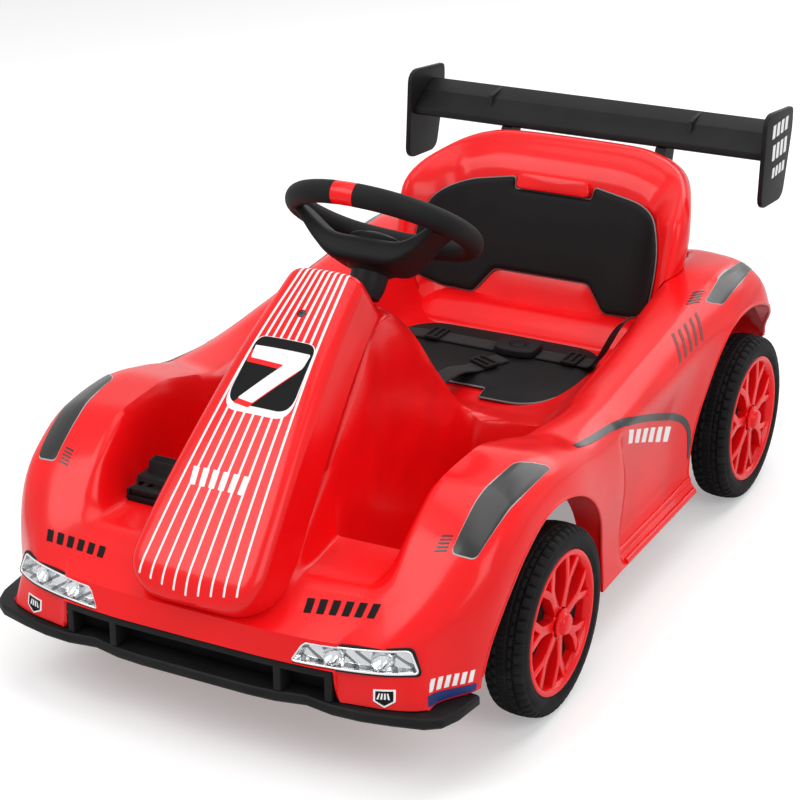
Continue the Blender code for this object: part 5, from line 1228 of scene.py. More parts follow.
def make_back_pad(leather, piping, crown, bead_radius):
    """The back cushion, with a bead round its foot, pale as a painted highlight along the pad's edge."""
    corners = BACK_PAD_CORNERS + BACK_PAD_CORNERS[-2:0:-1]
    o = resample(rounded(mirror_outline(BACK_PAD), corners), 260, closed=True)
    pad = cushion("back_cushion", o, back_surface, GAP + crown)
    settle(pad, leather, "chassis", ["back_pad"], angle=60)
    bead = ring_path(back_surface(o[:, 0], o[:, 1], np.full(len(o), 0.0030)), bead_radius, 10)
    edge = tube_grid("back_cushion_piping_highlight", bead, loop_rows=True)
    settle(edge, piping, "chassis", angle=60)


def deck_surface(x, y, z):
    """Places z above the seat's deck."""
    return to_row(np.stack([x, y, z + np.full(np.shape(x), SEAT_PAN_Z)], axis=-1))


def make_seat_pad(leather, piping, crown, bead_radius):
    """The seat cushion with its notch for the crotch strap, and a bead round its foot, pale as a painted
    highlight.
    """
    front, rear = SEAT_PAD_Y
    half, depth = SEAT_PAD_NOTCH
    pts = [(0.0, rear + 0.002), (-0.110, rear), (-SEAT_PAD_HALF, rear - 0.045),
           (-SEAT_PAD_HALF, front + 0.060), (-0.108, front), (-half, front),
           (-half + 0.004, front + depth), (0.0, front + depth)]
    corners = [0, 0.03, 0.03, 0.045, 0.04, 0.003, 0.004, 0]
    o = resample(rounded(mirror_outline(pts), corners + corners[-2:0:-1]), 260, closed=True)
    if np.cross(o[1] - o[0], o[2] - o[1]) > 0:
        o = o[::-1]
    pad = cushion("seat_cushion", o, deck_surface, crown, floor=0.0008)
    settle(pad, leather, "chassis", ["seat_pad"], angle=60)
    bead = ring_path(deck_surface(o[:, 0], o[:, 1], np.full(len(o), 0.0030)), bead_radius, 10)
    edge = tube_grid("seat_cushion_piping_highlight", bead, loop_rows=True)
    settle(edge, piping, "chassis", angle=60)


# Wheels


def tyre_grid(blocks, tread_depth, per_block=8):
    """A tyre: its section carried round the axle, sunk along its normal by the depth of the grooves.

    Shoulder blocks stand between cross grooves in two rows on each side, the inner row half a block
    ahead, and the middle has fine cross ribs between two round grooves."""
    w = TYRE_W
    section = np.array([(RIM_BARREL_R + 0.004, 0.0022), (RIM_R + 0.001, 0.0006), (0.0800, 0.0),
                        (0.0870, 0.0006), (0.0940, 0.0022), (0.0968, 0.0046), (0.0984, 0.0082),
                        (0.0993, 0.0125), (0.0999, 0.018), (0.1, 0.023), (0.0999, 0.028),
                        (0.0993, w - 0.0125), (0.0984, w - 0.0082), (0.0968, w - 0.0046),
                        (0.0940, w - 0.0022), (0.0870, w - 0.0004), (0.0820, w - 0.0002),
                        (0.0795, w - 0.0010), (0.0778, w - 0.0014), (RIM_R + 0.0004, w - 0.0024),
                        (RIM_R - 0.001, w - 0.008)])
    section = flow(section, 96)
    n = blocks * per_block
    a = np.arange(n) * 2 * pi / n
    r, z = section[:, 0][:, None], section[:, 1][:, None]
    from_side = np.minimum(z, w - z)
    phase = a[None, :] * blocks / (2 * pi)

    def groove(shift, share):
        f = (phase + shift) % 1.0
        return 1 - ease(np.minimum(f, 1 - f) / share)

    tread = ease((r - 0.0925) / 0.0015)
    outer_row = tread * ease((0.0106 - from_side) / 0.0006)
    inner_row = ease((from_side - 0.0112) / 0.0006) * ease((0.0170 - from_side) / 0.0006)
    middle = ease((from_side - 0.0176) / 0.0006)
    round_groove = np.exp(-((from_side - 0.0109) / 0.0009) ** 2)
    round_groove += 0.8 * np.exp(-((from_side - 0.0174) / 0.0008) ** 2)
    depth = tread_depth * np.maximum(outer_row * groove(0.0, 0.20), inner_row * groove(0.5, 0.19))
    depth = np.maximum(depth, 0.45 * tread_depth * middle * (0.5 + 0.5 * np.cos(phase * 4 * pi)))
    depth = np.maximum(depth, 0.9 * tread_depth * round_groove * tread)
    side_ring = 0.0005 * np.exp(-((r - 0.0905) / 0.0008) ** 2) * ease((z - w * 0.6) / 0.004)
    tangent = np.gradient(section, axis=0)
    normal = np.column_stack([tangent[:, 1], -tangent[:, 0]])
    normal /= np.linalg.norm(normal, axis=1, keepdims=True)
    rr = r - depth * np.abs(normal[:, :1])
    zz = z - side_ring - depth * 0.3 * np.sign(z - w / 2)
    return np.stack([rr * np.cos(a), rr * np.sin(a), np.broadcast_to(zz, rr.shape)], axis=2)


def rim_barrel():
    """The rim's barrel and its rolled outer lip, revolved."""
    face = TYRE_W - SPOKE_SET_IN
    r = RIM_BARREL_R
    profile = [(r - RIM_WALL, 0.0008), (r - 0.0004, 0.0008), (r, 0.0014), (r, TYRE_W - 0.0101),
               (RIM_R, TYRE_W - 0.0101), (RIM_R, TYRE_W - 0.0022), (RIM_R - 0.0010, TYRE_W - 0.0013),
               (RIM_R - 0.0030, TYRE_W - 0.0012), (RIM_R - 0.0050, TYRE_W - 0.0018),
               (RIM_R - 0.0060, TYRE_W - 0.0030), (r - RIM_WALL + 0.0012, face - 0.002),
               (r - RIM_WALL, face - 0.006)]
    return turned("barrel", profile, 112)


def spoke_outline():
    """A forked spoke seen from the face, along +X: a stem from the hub and two arms to the rim."""
    end = RIM_R - 0.0066
    arm = 0.0043 / end
    stem = SPOKE_HALF * 1.12

    def at(r, angle):
        return (r * cos(angle), r * sin(angle))

    return np.array([(HUB_R - 0.004, -stem), (FORK_R - 0.004, -stem * 0.86), at(FORK_R + 0.006, -0.150),
                     at(end, -FORK_SPREAD - arm), at(end, -FORK_SPREAD + arm), (FORK_R + 0.0085, 0.0),
                     at(end, FORK_SPREAD - arm), at(end, FORK_SPREAD + arm), at(FORK_R + 0.006, 0.150),
                     (FORK_R - 0.004, stem * 0.86), (HUB_R - 0.004, stem)])


def rim_mesh():
    """Barrel, forked spokes and hub as one mesh."""
    face = TYRE_W - SPOKE_SET_IN
    parts = [rim_barrel()]
    for k in range(SPOKES):
        spoke = bevelled(prism("spoke", spoke_outline(), face - SPOKE_T, face), 0.0011, 3, 40)
        parts.append(place(spoke, Matrix.Rotation(k * 2 * pi / SPOKES, 4, "Z")))
    top = TYRE_W - 0.0045
    hub = turned("hub", [(0.0066, HUB_IN), (HUB_R - 0.001, HUB_IN), (HUB_R, HUB_IN + 0.001),
                         (HUB_R, top - 0.0012), (HUB_R - 0.0012, top), (0.0066, top)], 64)
    return join("rim", parts + [hub])


def painted_shade_disc_mesh():
    """Painted shade behind the spokes: a black flat ring from the hub to the barrel, for the hollow
    wheel's shadow.
    """
    z = TYRE_W - SPOKE_SET_IN - SPOKE_T
    r = RIM_BARREL_R - RIM_WALL - 0.0002
    return turned("backing", [(HUB_R + 0.0002, z - 0.0016), (r, z - 0.0016), (r, z + 0.0002),
                              (HUB_R + 0.0002, z + 0.0002)], 96)


def cap_mesh():
    """The hub cap: a flat flange and a domed middle, revolved."""
    z = TYRE_W - 0.0045 + GAP
    profile = [(0.0004, z), (CAP_R - 0.0006, z), (CAP_R, z + 0.0006), (CAP_R, z + 0.0024),
               (CAP_R - 0.0008, z + 0.0031), (0.0124, z + 0.0036), (0.0117, z + 0.0044),
               (0.0114, z + 0.0064), (0.0104, z + 0.0080), (0.0084, z + 0.0093), (0.0055, z + 0.0100),
               (0.0025, z + 0.0102), (0.0004, z + 0.0102)]
    return turned("cap", profile, 48, closed=False)


def wheel_places():
    """Name and place of each wheel, its face turned outwards."""
    for name, side, out, y in (("front_left", 1, FRONT_OUT, 0.0), ("front_right", -1, FRONT_OUT, 0.0),
                               ("rear_left", 1, REAR_OUT, WHEEL_BASE),
                               ("rear_right", -1, REAR_OUT, WHEEL_BASE)):
        x, yy, z = to_row((side * (out - TYRE_W), y, TYRE_R))
        turn = Matrix.Rotation(pi / 2 if side > 0 else -pi / 2, 4, "Y")
        yield name, Matrix.Translation((x, yy, z)) @ turn


def make_wheels(kind, base, material):
    """Copy one wheel part to its four places."""
    for name, matrix in wheel_places():
        obj = place(copied(base, kind + "_" + name + "_dressed"), matrix)
        node = kind + "_" + name
        settle(obj, material, "wheel_" + name, [node] if node in NODES else [], angle=40)
    bpy.data.objects.remove(base)


# Steering wheel


def wheel_matrix():
    """Carry local +Z onto the column's axis and local +Y to the wheel's top, at the wheel's centre."""
    turn = Matrix.Rotation(-COLUMN_TILT, 4, "X") @ Matrix.Rotation(pi, 4, "Z")
    return Matrix.Translation(to_row((0, WHEEL_Y, WHEEL_Z)).tolist()) @ turn


def grip_grid(q0, q1, n, r):
    """Sections of the wheel's rim between two angles; the rim is flattened at the bottom."""
    q = np.linspace(q0, q1, n)
    flat = 1 - 0.10 * ease((-np.sin(q) - 0.55) / 0.45)
    c = np.column_stack([np.cos(q), np.sin(q) * flat, np.zeros(n)]) * GRIP_RING_R
    out = np.column_stack([np.cos(q), np.sin(q), np.zeros(n)])
    s = np.arange(24) * 2 * pi / 24
    up = np.array([0, 0, 1.0]) * (r * np.sin(s))[None, :, None]
    return c[:, None] + out[:, None] * (r * np.cos(s) * 0.92)[None, :, None] + up


def make_grip(grip_black, red):
    """The wheel's round grip and the red band at its top."""
    place_wheel = wheel_matrix()
    half = radians(BAND_DEG / 2)
    grip = tube_grid("wheel_grip", grip_grid(pi / 2 + half, 2.5 * pi - half, 200, GRIP_R))
    settle(place(grip, place_wheel), grip_black, "steering", ["steering_wheel_grip"], angle=50)
    band = tube_grid("wheel_band",
                     grip_grid(pi / 2 - half + 0.003, pi / 2 + half - 0.003, 14, GRIP_R - 0.0001))
    settle(place(band, place_wheel), red, "steering", ["steering_wheel_band"], angle=50)


# Belts

BELT_W = 0.025
BELT_T = 0.0018
STRAP_LIFT = 0.0014
PAD_TOP = SEAT_PAN_Z + SEAT_PAD_T + 0.0036
RIGHT_BELT = [(-0.1830, 0.386), (-0.160, 0.390), (-0.140, 0.399), (-0.120, 0.408), (-0.095, 0.415),
              (-0.06, 0.416), (0.0090, 0.415)]
LEFT_BELT = [(0.1760, 0.412), (0.160, 0.413), (0.140, 0.414), (0.119, 0.415), (0.0635, 0.415)]
CROTCH_BELT = [(0.0, 0.2580, 0.2030), (0.0, 0.268, 0.2040), (0.001, 0.290, 0.2045),
               (0.004, 0.318, 0.2025), (0.012, 0.345, PAD_TOP), (0.022, 0.370, PAD_TOP),
               (0.030, 0.3870, PAD_TOP)]


def draped(route, n):
    """Lay a route on the hull, each place high enough for the strap's whole width and for the pad."""
    r = flow(route, n)
    spots = np.array([[(dx, dy) for dx in (-0.009, 0, 0.009) for dy in (-BELT_W / 2, 0, BELT_W / 2)]])
    p = r[:, None] + spots
    p = to_row(np.concatenate([p, np.full(p.shape[:2] + (1,), 0.3)], axis=2))
    z = on_hull(p, (0, 0, -1))[..., 2].max(axis=1) + BELT_T / 2 + STRAP_LIFT
    z = np.maximum(z, PAD_TOP)
    z = np.convolve(np.pad(z, 3, mode="edge"), np.ones(7) / 7, "valid")
    return np.column_stack([r, z])


def strap(name, path, webbing, nodes):
    """A flat section with round edges along a path; its map runs across by share, along by length."""
    p = to_row(path)
    t = np.gradient(p, axis=0)
    t /= np.linalg.norm(t, axis=1, keepdims=True)
    side = np.cross(t, [0, 0, 1.0])
    side /= np.linalg.norm(side, axis=1, keepdims=True)
    up = np.cross(side, t)
    across = np.array([-1, -0.985, -0.96, -0.6, -0.2, 0.2, 0.6, 0.96, 0.985, 1, 0.985, 0.96, 0.6, 0.2,
                       -0.2, -0.6, -0.96, -0.985])
    height = np.array([0, 0.6, 1, 1, 1, 1, 1, 1, 0.6, 0, -0.6, -1, -1, -1, -1, -1, -1, -0.6])
    grid = (p[:, None] + side[:, None] * (across * BELT_W / 2)[None, :, None]
            + up[:, None] * (height * BELT_T / 2)[None, :, None])
    obj = tube_grid(name, grid)
    s = lengths(p)
    co = np.empty(len(obj.data.vertices) * 3)
    obj.data.vertices.foreach_get("co", co)
    co = co.reshape(-1, 3)
    near = np.argmin(((co[:, None] - p[None]) ** 2).sum(axis=2), axis=1)
    u = ((co - p[near]) * side[near]).sum(axis=1) / BELT_W + 0.5
    v = s[near] + ((co - p[near]) * t[near]).sum(axis=1)
    layer = obj.data.uv_layers.new(name="strap")
    loops = np.empty(len(obj.data.loops), int)
    obj.data.loops.foreach_get("vertex_index", loops)
    layer.data.foreach_set("uv", np.column_stack([u, v])[loops].ravel())
    return settle(obj, webbing, "chassis", nodes, angle=60)


def make_belts(webbing):
    """Both lap belts laid over the deck and the crotch strap."""
    strap("lap_belt_right", draped(RIGHT_BELT, 150), webbing, ["harness_belt_right"])
    strap("lap_belt_left", draped(LEFT_BELT, 100), webbing, ["harness_belt_left"])
    strap("crotch_belt", flow(CROTCH_BELT, 110), webbing, ["harness_crotch_strap"])


# Buckle and adjusters

BUCKLE = (0.036, 0.415)
BUCKLE_SIZE = (0.052, 0.040, 0.010)
BUCKLE_BUTTON_R = 0.0095
ADJUSTERS = {"right": (-0.073, 0.4165, 0), "left": (0.107, 0.415, 0), "crotch": (0.0185, 0.361, 65)}


def prism(name, outline, z0, z1):
    """A flat outline carried between two heights."""
    return bar(name, [at_level(outline, 2, z) for z in (z0, z1)])


def make_buckle(black, press_colour):
    """The buckle's rounded body with a ring round a well, and its press button."""
    x, y = BUCKLE
    w, d, t = BUCKLE_SIZE
    z0 = PAD_TOP - BELT_T / 2
    z1 = z0 + t
    outline = rounded([(-w / 2, -d / 2 + 0.006), (-w / 4, -d / 2), (w / 4, -d / 2),
                       (w / 2, -d / 2 + 0.006), (w / 2, d / 2 - 0.004),
                       (-w / 2, d / 2 - 0.004)], 0.006, 8)
    body = bevelled(prism("buckle", outline, z0, z1), 0.0026, 5, 50)
    r = BUCKLE_BUTTON_R
    well = [(r + 0.0004, z1 - 0.0050), (r + 0.0004, z1 - 0.0006), (r + 0.0012, z1 + 0.001)]
    cut(body, turned("well", well, 64, closed=False))
    at = Matrix.Translation(to_row((x, y, 0)).tolist())
    ring = turned("buckle_ring", [(0.0108, z1 - 0.001), (0.0108, z1 + 0.0004), (0.0113, z1 + 0.0008),
                                  (0.0124, z1 + 0.0008), (0.0130, z1 + 0.0002), (0.0130, z1 - 0.001)], 64)
    body = join("harness_buckle_body", [place(body, at), place(ring, at)])
    settle(body, black, "chassis", ["harness_buckle"])
    z = z1 - 0.001
    profile = [(r, z - 0.0015), (r, z + 0.0010), (r - 0.0004, z + 0.0018), (r - 0.0012, z + 0.0022),
               (r - 0.0030, z + 0.0020), (r - 0.0060, z + 0.0017), (0.0006, z + 0.0016)]
    button = place(turned("buckle_press", profile, 64, closed=False), at)
    settle(button, press_colour, "buckle_button", ["buckle_button"])


def make_adjusters(black):
    """Ladder adjusters: a frame with two windows and a bar between them, rounded all over."""
    corners = [(-0.010, -0.0165), (0.010, -0.0165), (0.010, 0.0165), (-0.010, 0.0165)]
    z0 = BELT_T / 2 + GAP
    for name, (ax, ay, degrees) in ADJUSTERS.items():
        frame = prism("ladder", rounded(corners, 0.003, 6), z0, z0 + 0.0034)
        for x in (-0.0046, 0.0046):
            cut(frame, block("window", x - 0.0026, x + 0.0026, -0.0130, 0.0130, z0 + 0.0009, 0.02))
        bevelled(frame, 0.0007, 3, 40)
        turn = Matrix.Rotation(radians(degrees), 4, "Z")
        at = Matrix.Translation(to_row((ax, ay, PAD_TOP)).tolist()) @ turn
        settle(place(frame, at), black, "chassis", ["strap_adjuster_" + name])


# Steering hub

HORN_R = 0.021
HORN_Z = -0.018
SHAFT_R = 0.006
# Each arm's places out from the middle: x, y, width, lowest and highest, in the wheel's own frame
SPOKE_ARM = [(0.0, 0.003, 0.064, -0.054, -0.0245), (0.036, 0.005, 0.062, -0.052, -0.0245),
             (0.058, 0.014, 0.050, -0.038, -0.016), (0.078, 0.025, 0.044, -0.018, -0.003),
             (0.094, 0.032, 0.044, -0.006, 0.005)]
LOWER_ARM = [(0.0, 0.0, 0.056, -0.050, -0.026), (0.0, -0.036, 0.050, -0.046, -0.026),
             (0.0, -0.066, 0.038, -0.024, -0.008), (0.0, -0.086, 0.036, -0.006, 0.005)]
NECK = [(0.0165, -0.084), (0.0180, -0.079), (0.0195, -0.074), (0.0202, -0.066), (0.0205, -0.058),
        (0.0240, -0.0555), (0.0290, -0.0520), (0.0308, -0.0495), (0.0312, -0.0465), (0.0312, -0.0215),
        (0.0306, -0.0201), (0.0294, -0.0195)]


def spoke_arm(name, table, side, down=False):
    """A dished arm: a superellipse of exponent five, between its lowest and highest, at each place."""
    p = flow(table, 26)
    a = np.arange(48) * 2 * pi / 48
    c, s = np.cos(a), np.sin(a)
    wide = np.sign(c) * np.abs(c) ** 0.4
    high = np.sign(s) * np.abs(s) ** 0.4
    rows = []
    for x, y, w, z0, z1 in p:
        z = (z0 + z1) / 2 + high * (z1 - z0) / 2
        if down:
            rows.append(at_level(np.column_stack([x + wide * w / 2, z]), 1, y))
        else:
            rows.append(at_level(np.column_stack([y + wide * w / 2, z]), 0, side * x))
    return tube_grid(name, np.array(rows))


def make_hub(black, glossy):
    """The wheel's hub: neck and three arms joined, cleared for the grip, the shaft and the horn."""
    place_wheel = wheel_matrix()
    neck = turned("neck", NECK, 96, closed=False)
    for arm in (spoke_arm("arm", SPOKE_ARM, 1), spoke_arm("arm", SPOKE_ARM, -1),
                spoke_arm("arm", LOWER_ARM, 1, True)):
        cut(neck, arm, "UNION", "EXACT")
    cut(neck, tube_grid("clear", grip_grid(0, 2 * pi * 119 / 120, 120, GRIP_R + 2 * GAP), loop_rows=True),
        solver="EXACT")
    cut(neck, turned("bore", [(SHAFT_R + GAP, -0.13), (SHAFT_R + GAP, -0.060)], 32, closed=False),
        solver="EXACT")
    well = [(HORN_R + 0.0006, HORN_Z - 0.0065), (HORN_R + 0.0006, HORN_Z + 0.0005),
            (HORN_R + 0.0020, HORN_Z + 0.0020), (HORN_R + 0.003, 0.02)]
    cut(neck, turned("well", well, 96, closed=False), solver="EXACT")
    settle(place(neck, place_wheel), black, "steering", ["steering_hub"], angle=32)
    profile = [(HORN_R, HORN_Z - 0.0040), (HORN_R, HORN_Z - 0.0008), (HORN_R - 0.0006, HORN_Z + 0.0006),
               (HORN_R - 0.002, HORN_Z + 0.0016), (HORN_R - 0.0045, HORN_Z + 0.0025),
               (HORN_R - 0.0052, HORN_Z + 0.0022), (HORN_R - 0.006, HORN_Z + 0.0025),
               (HORN_R - 0.012, HORN_Z + 0.0030), (0.0006, HORN_Z + 0.0032)]
    horn = place(turned("horn_press", profile, 96, closed=False), place_wheel)
    settle(horn, glossy, "horn", ["horn_button"])


# Lamps and front


LAMP_PLAN = [(0.092, 0.0010), (0.125, 0.0040), (0.150, 0.0078), (0.172, 0.0122), (0.200, 0.0200),
             (0.214, 0.0262), (0.226, 0.0330), (0.243, 0.0420)]


def lamp_level(x, z, depth):
    """Places of a lamp's face at a depth behind it: bowed back from the nose and leaned like the body."""
    y = FRONT_Y + smooth(LAMP_PLAN, x) - 0.0025 - (0.1415 - z) * 0.27 + depth
    return np.stack([x, y, z], axis=-1)


LAMP_CELLS = ((0.1965, 0.1420), (0.1505, 0.1415))
LAMP_CELL_R = 0.0086


def mirror_x(side):
    """Identity for the left side, a mirror for the right."""
    return Matrix.Scale(side, 4, (1, 0, 0))


def make_lamps(silver, black, chrome_with_fold_shade, glass):
    """Each lamp: a faceted reflector with two round cells, a lens, a bright rim and a black seal."""
    g = lamp_face(-0.0004, 150, [(t, smooth(LAMP_ROWS, t)) for t in np.linspace(0, 1, 44)])
    x, z = g[..., 0], g[..., 1]
    t = np.linspace(0, 1, g.shape[0])[:, None]
    s = np.linspace(0, 1, g.shape[1])[None]
    edge = np.minimum(ease(np.minimum(t, 1 - t) / 0.16), ease(np.minimum(s, 1 - s) / 0.05))
    fold = np.abs(((x - 0.173) / 0.011 + (z - 0.1415) / 0.02) % 2 - 1)
    deep = 0.0004 + 0.0070 * edge - 0.0012 * fold * edge
    for cx, cz in LAMP_CELLS:
        r = np.hypot(x - cx, z - cz) / LAMP_CELL_R
        bowl = 0.0036 + 0.0066 * (1 - np.clip(r, 0, 1) ** 2)
        collar = 0.0022 + 0.0014 * ease((r - 1.0) / 0.12)
        inside = 1 - ease((r - 0.98) / 0.05)
        near = 1 - ease((r - 1.16) / 0.06)
        deep = deep * (1 - near) + near * (bowl * inside + collar * (1 - inside))
    bowl = closed_skin("reflector", to_row(lamp_level(x, z, LENS_T + 0.0002 + deep)),
                       to_row(lamp_level(x, z, np.full(x.shape, LAMP_DEPTH + 0.0005))))
    lens_low = lamp_level(x, z, np.full(x.shape, LENS_T))
    dome = ease(np.minimum(t, 1 - t) / 0.12) * ease(np.minimum(s, 1 - s) / 0.03)
    lens = closed_skin("lens", to_row(lamp_level(x, z, -LENS_PROUD - 0.0006 * dome)), to_row(lens_low))
    ring = lamp_outline_dense(-0.0010)
    rim = ring_path(to_row(lamp_level(ring[:, 0], ring[:, 1], -0.0004)), 0.0013, 12)
    rim = tube_grid("rim_bead", rim, loop_rows=True)
    seal = lamp_outline_dense(0.0006)
    seal = ring_path(to_row(lamp_level(seal[:, 0], seal[:, 1], 0.0004)), 0.0016, 12)
    seal = tube_grid("seal_bead", seal, loop_rows=True)
    for side, name in SIDES:
        # The reflector's plating carries painted shade in its folds.
        for part, material, node in ((bowl, chrome_with_fold_shade, "headlight_bowl_" + name),
                                     (lens, glass, "headlight_lens_" + name), (rim, silver, None),
                                     (seal, black, None)):
            obj = place(copied(part, part.name + "_" + name), mirror_x(side))
            settle(obj, material, "chassis", [node] if node else [])
    for part in (bowl, lens, rim, seal):
        bpy.data.objects.remove(part)


def lamp_outline_dense(grow):
    """A lamp's outline with rounded corners, evenly spaced."""
    top_out, low_out, low_in, top_in = lamp_corners(grow)
    return resample(rounded([low_in, low_out, top_out, top_in], 0.0045, 8), 160, closed=True)


# Pedal and switches

PEDAL_X = -0.128
PEDAL_Y = -0.106
PEDAL_Z = 0.1985
PANEL_Y = 0.190


def make_pedal(black, rubber):
    """The pedal and its base, with rubber ribs on its tread."""
    dress("pedal_base", black, "chassis", 0.0010, 3)
    dress("accelerator_pedal", black, "pedal", 0.0012, 3)
    ribs = []
    for k in range(5):
        y = PEDAL_Y + 0.0262 + k * 0.0020
        z = PEDAL_Z + 0.0255 + (y - PEDAL_Y - 0.024) / 0.012 * 0.0015
        path = to_row([(PEDAL_X + dx, y, z) for dx in np.linspace(-0.017, 0.017, 12)])
        ribs.append(tube_grid("rib", ring_path(path, 0.0006, 8, closed=False)))
    settle(join("pedal_ribs", ribs), rubber, "pedal")


def panel_matrix():
    """Local +Z stands off the tunnel's rear slope, local +Y runs up the slope."""
    z0 = float(smooth(LINES["spine"][1], PANEL_Y - 0.015))
    z1 = float(smooth(LINES["spine"][1], PANEL_Y + 0.015))
    slope = Vector((0, 0.030, z1 - z0)).normalized()
    up = -slope
    normal = Vector((0, up.z, -up.y))
    m = Matrix((up.cross(normal), up, normal)).transposed().to_4x4()
    return Matrix.Translation(to_row((0, PANEL_Y, smooth(LINES["spine"][1], PANEL_Y))).tolist()) @ m


def make_switches(black, red, white):
    """The panel, the power button in its ring and the rocker with two arrows."""
    dress("switch_panel", black, "chassis", 0.0008, 3)
    at = panel_matrix()
    button_at = at @ Matrix.Translation((-0.010, 0, 0))
    r, top = 0.0065, 0.006
    button = turned("power_press", [(r, 0.003), (r, top + 0.0008), (r - 0.0005, top + 0.0016),
                                    (r - 0.0015, top + 0.0022), (r - 0.003, top + 0.0021),
                                    (0.0004, top + 0.0019)], 48, closed=False)
    settle(place(button, button_at), red, "power_button", ["power_button"])
    dress("direction_rocker", black, "direction_rocker", 0.0004, 2)
    marks = []
    for y, w in ((0.0062, 1), (-0.0062, -1)):
        tri = [(-0.0022, -0.0014 * w), (0.0022, -0.0014 * w), (0, 0.0020 * w)]
        if w < 0:
            tri = tri[::-1]
        z = top + 0.0028 * abs(y) / 0.0095 + 0.00035
        marks.append(place(prism("arrow", tri, z - 0.0004, z + 0.0003),
                           at @ Matrix.Translation((0.0095, y, 0))))
    settle(join("rocker_arrows", marks), white, "direction_rocker")
    ring = turned("power_ring", [(0.0072, top), (0.0072, top + 0.0004), (0.0080, top + 0.0004),
                                 (0.0080, top)], 48)
    settle(place(ring, button_at), white, "chassis")


# Screw


def make_screw(steel):
    """A pan-head screw with a cross recess."""
    p, _, n = cover_frame(SCREW_T)
    p = Vector(to_row(p).tolist())
    n = Vector(n.tolist())
    head = turned("screw_head", [(0.0018, -0.014), (0.0018, 0.0004), (0.0042, 0.0005), (0.0042, 0.0010),
                                 (0.0036, 0.0017), (0.0022, 0.0021), (0.0003, 0.0022)], 40, closed=False)
    for degrees in (20, 110):
        recess = block("recess", -0.0022, 0.0022, -0.00045, 0.00045, 0.0008, 0.004)
        cut(head, place(recess, Matrix.Rotation(radians(degrees), 4, "Z")), solver="EXACT")
    turn = n.to_track_quat("Z", "Y").to_matrix().to_4x4()
    place(head, Matrix.Translation(p) @ turn)
    settle(head, steel, "chassis", ["nose_screw"])


# Printed films

NUMBER_BARS = ([(-0.0315, -0.0473), (0.032, -0.047), (0.0303, -0.0601), (0.009, -0.0608),
                (-0.0307, -0.0591)],
               [(0.009, -0.0608), (0.0303, -0.0601), (-0.0063, -0.0976), (-0.0247, -0.0955)])
REAR_INSERT = [(0.2374, 0.488, 0.2632), (0.2502, 0.5097, 0.2561), (0.2493, 0.563, 0.2632),
               (0.244, 0.640, 0.262), (0.234, 0.640, 0.270), (0.2324, 0.5505, 0.2734)]
FRONT_INSERT = [(0.2307, -0.1317, 0.2271), (0.2538, -0.1274, 0.2232), (0.2606, -0.0719, 0.2525),
                (0.2621, 0.0145, 0.2573), (0.2383, -0.0131, 0.2711), (0.2323, -0.0835, 0.2599)]
REAR_SLITS = [((0.2217, 0.4936, 0.2735), (0.2307, 0.5062, 0.2707)),
              ((0.2263, 0.4639, 0.2705), (0.2337, 0.4802, 0.2660))]
FRONT_SLITS = [((0.2148, -0.1206, 0.2364), (0.2254, -0.1184, 0.2379)),
               ((0.2136, -0.1329, 0.2258), (0.2254, -0.1310, 0.2278))]
SIDE_STRIPE = [(0.2510, 0.100, 0.2435), (0.2517, 0.112, 0.2417), (0.2535, 0.140, 0.2376),
               (0.2540, 0.178, 0.2335), (0.2570, 0.207, 0.2300), (0.2615, 0.234, 0.2240),
               (0.2590, 0.283, 0.2070), (0.2561, 0.334, 0.1867), (0.2554, 0.371, 0.1710),
               (0.2575, 0.390, 0.1590), (0.2595, 0.400, 0.1440), (0.2600, 0.402, 0.1250),
               (0.2600, 0.402, 0.1080)]
SIDE_WIDTHS = [0.0065, 0.0075, 0.008, 0.008, 0.008, 0.0085, 0.0085, 0.0085, 0.0085, 0.008, 0.007, 0.006,
               0.005]

# Fields of plain bars: four corners, from the top's start round to the bottom's start
NOSE_BARS = [[(0.1000, -0.1895, 0.1762), (0.1848, -0.1766, 0.1821), (0.1885, -0.1895, 0.1733),
              (0.1080, -0.2034, 0.1687)],
             [(-0.2097, -0.1838, 0.1775), (-0.1255, -0.1888, 0.1764), (-0.1178, -0.2005, 0.1701),
              (-0.2003, -0.1941, 0.1696)]]
SIDE_BARS = [(0.2617, 0.2102, 0.2222), (0.2550, 0.3720, 0.1590), (0.2546, 0.3720, 0.1400),
             (0.2578, 0.2260, 0.1991)]
REAR_BARS = [(0.2364, 0.3852, 0.2568), (0.2379, 0.4700, 0.2622), (0.2560, 0.4520, 0.2420),
             (0.2543, 0.3666, 0.2367)]
LABEL_TOP = [(0.2390, -0.1945, 0.1235), (0.2670, -0.1502, 0.1215), (0.2670, -0.1500, 0.1090),
             (0.2395, -0.1960, 0.1115)]
COVER_BARS = [(-0.0440, -0.1558), (0.0300, -0.1552), (0.0334, -0.1700), (-0.0370, -0.1700)]
# Rows of bars on an end plate: first and last y, top and bottom z
PLATE_ROWS = [(0.6840, 0.7440, 0.4240, 0.4080), (0.6860, 0.7420, 0.3990, 0.3800),
              (0.6880, 0.7360, 0.3700, 0.3580)]
# Outlines of the plain labels and shields
LABEL_LOW = [(0.2392, -0.1985, 0.1090), (0.2668, -0.1512, 0.1060), (0.2680, -0.1530, 0.0985),
             (0.2395, -0.2010, 0.0985)]
SHIELD = [(0.1925, -0.2192, 0.1155), (0.2130, -0.2130, 0.1170), (0.2135, -0.2145, 0.1050),
          (0.2040, -0.2195, 0.0985), (0.1930, -0.2215, 0.1040)]


def flip(points, side):
    """Points of the left side, or their mirror for the right."""
    return np.asarray(points, float) * np.array([side, 1, 1])


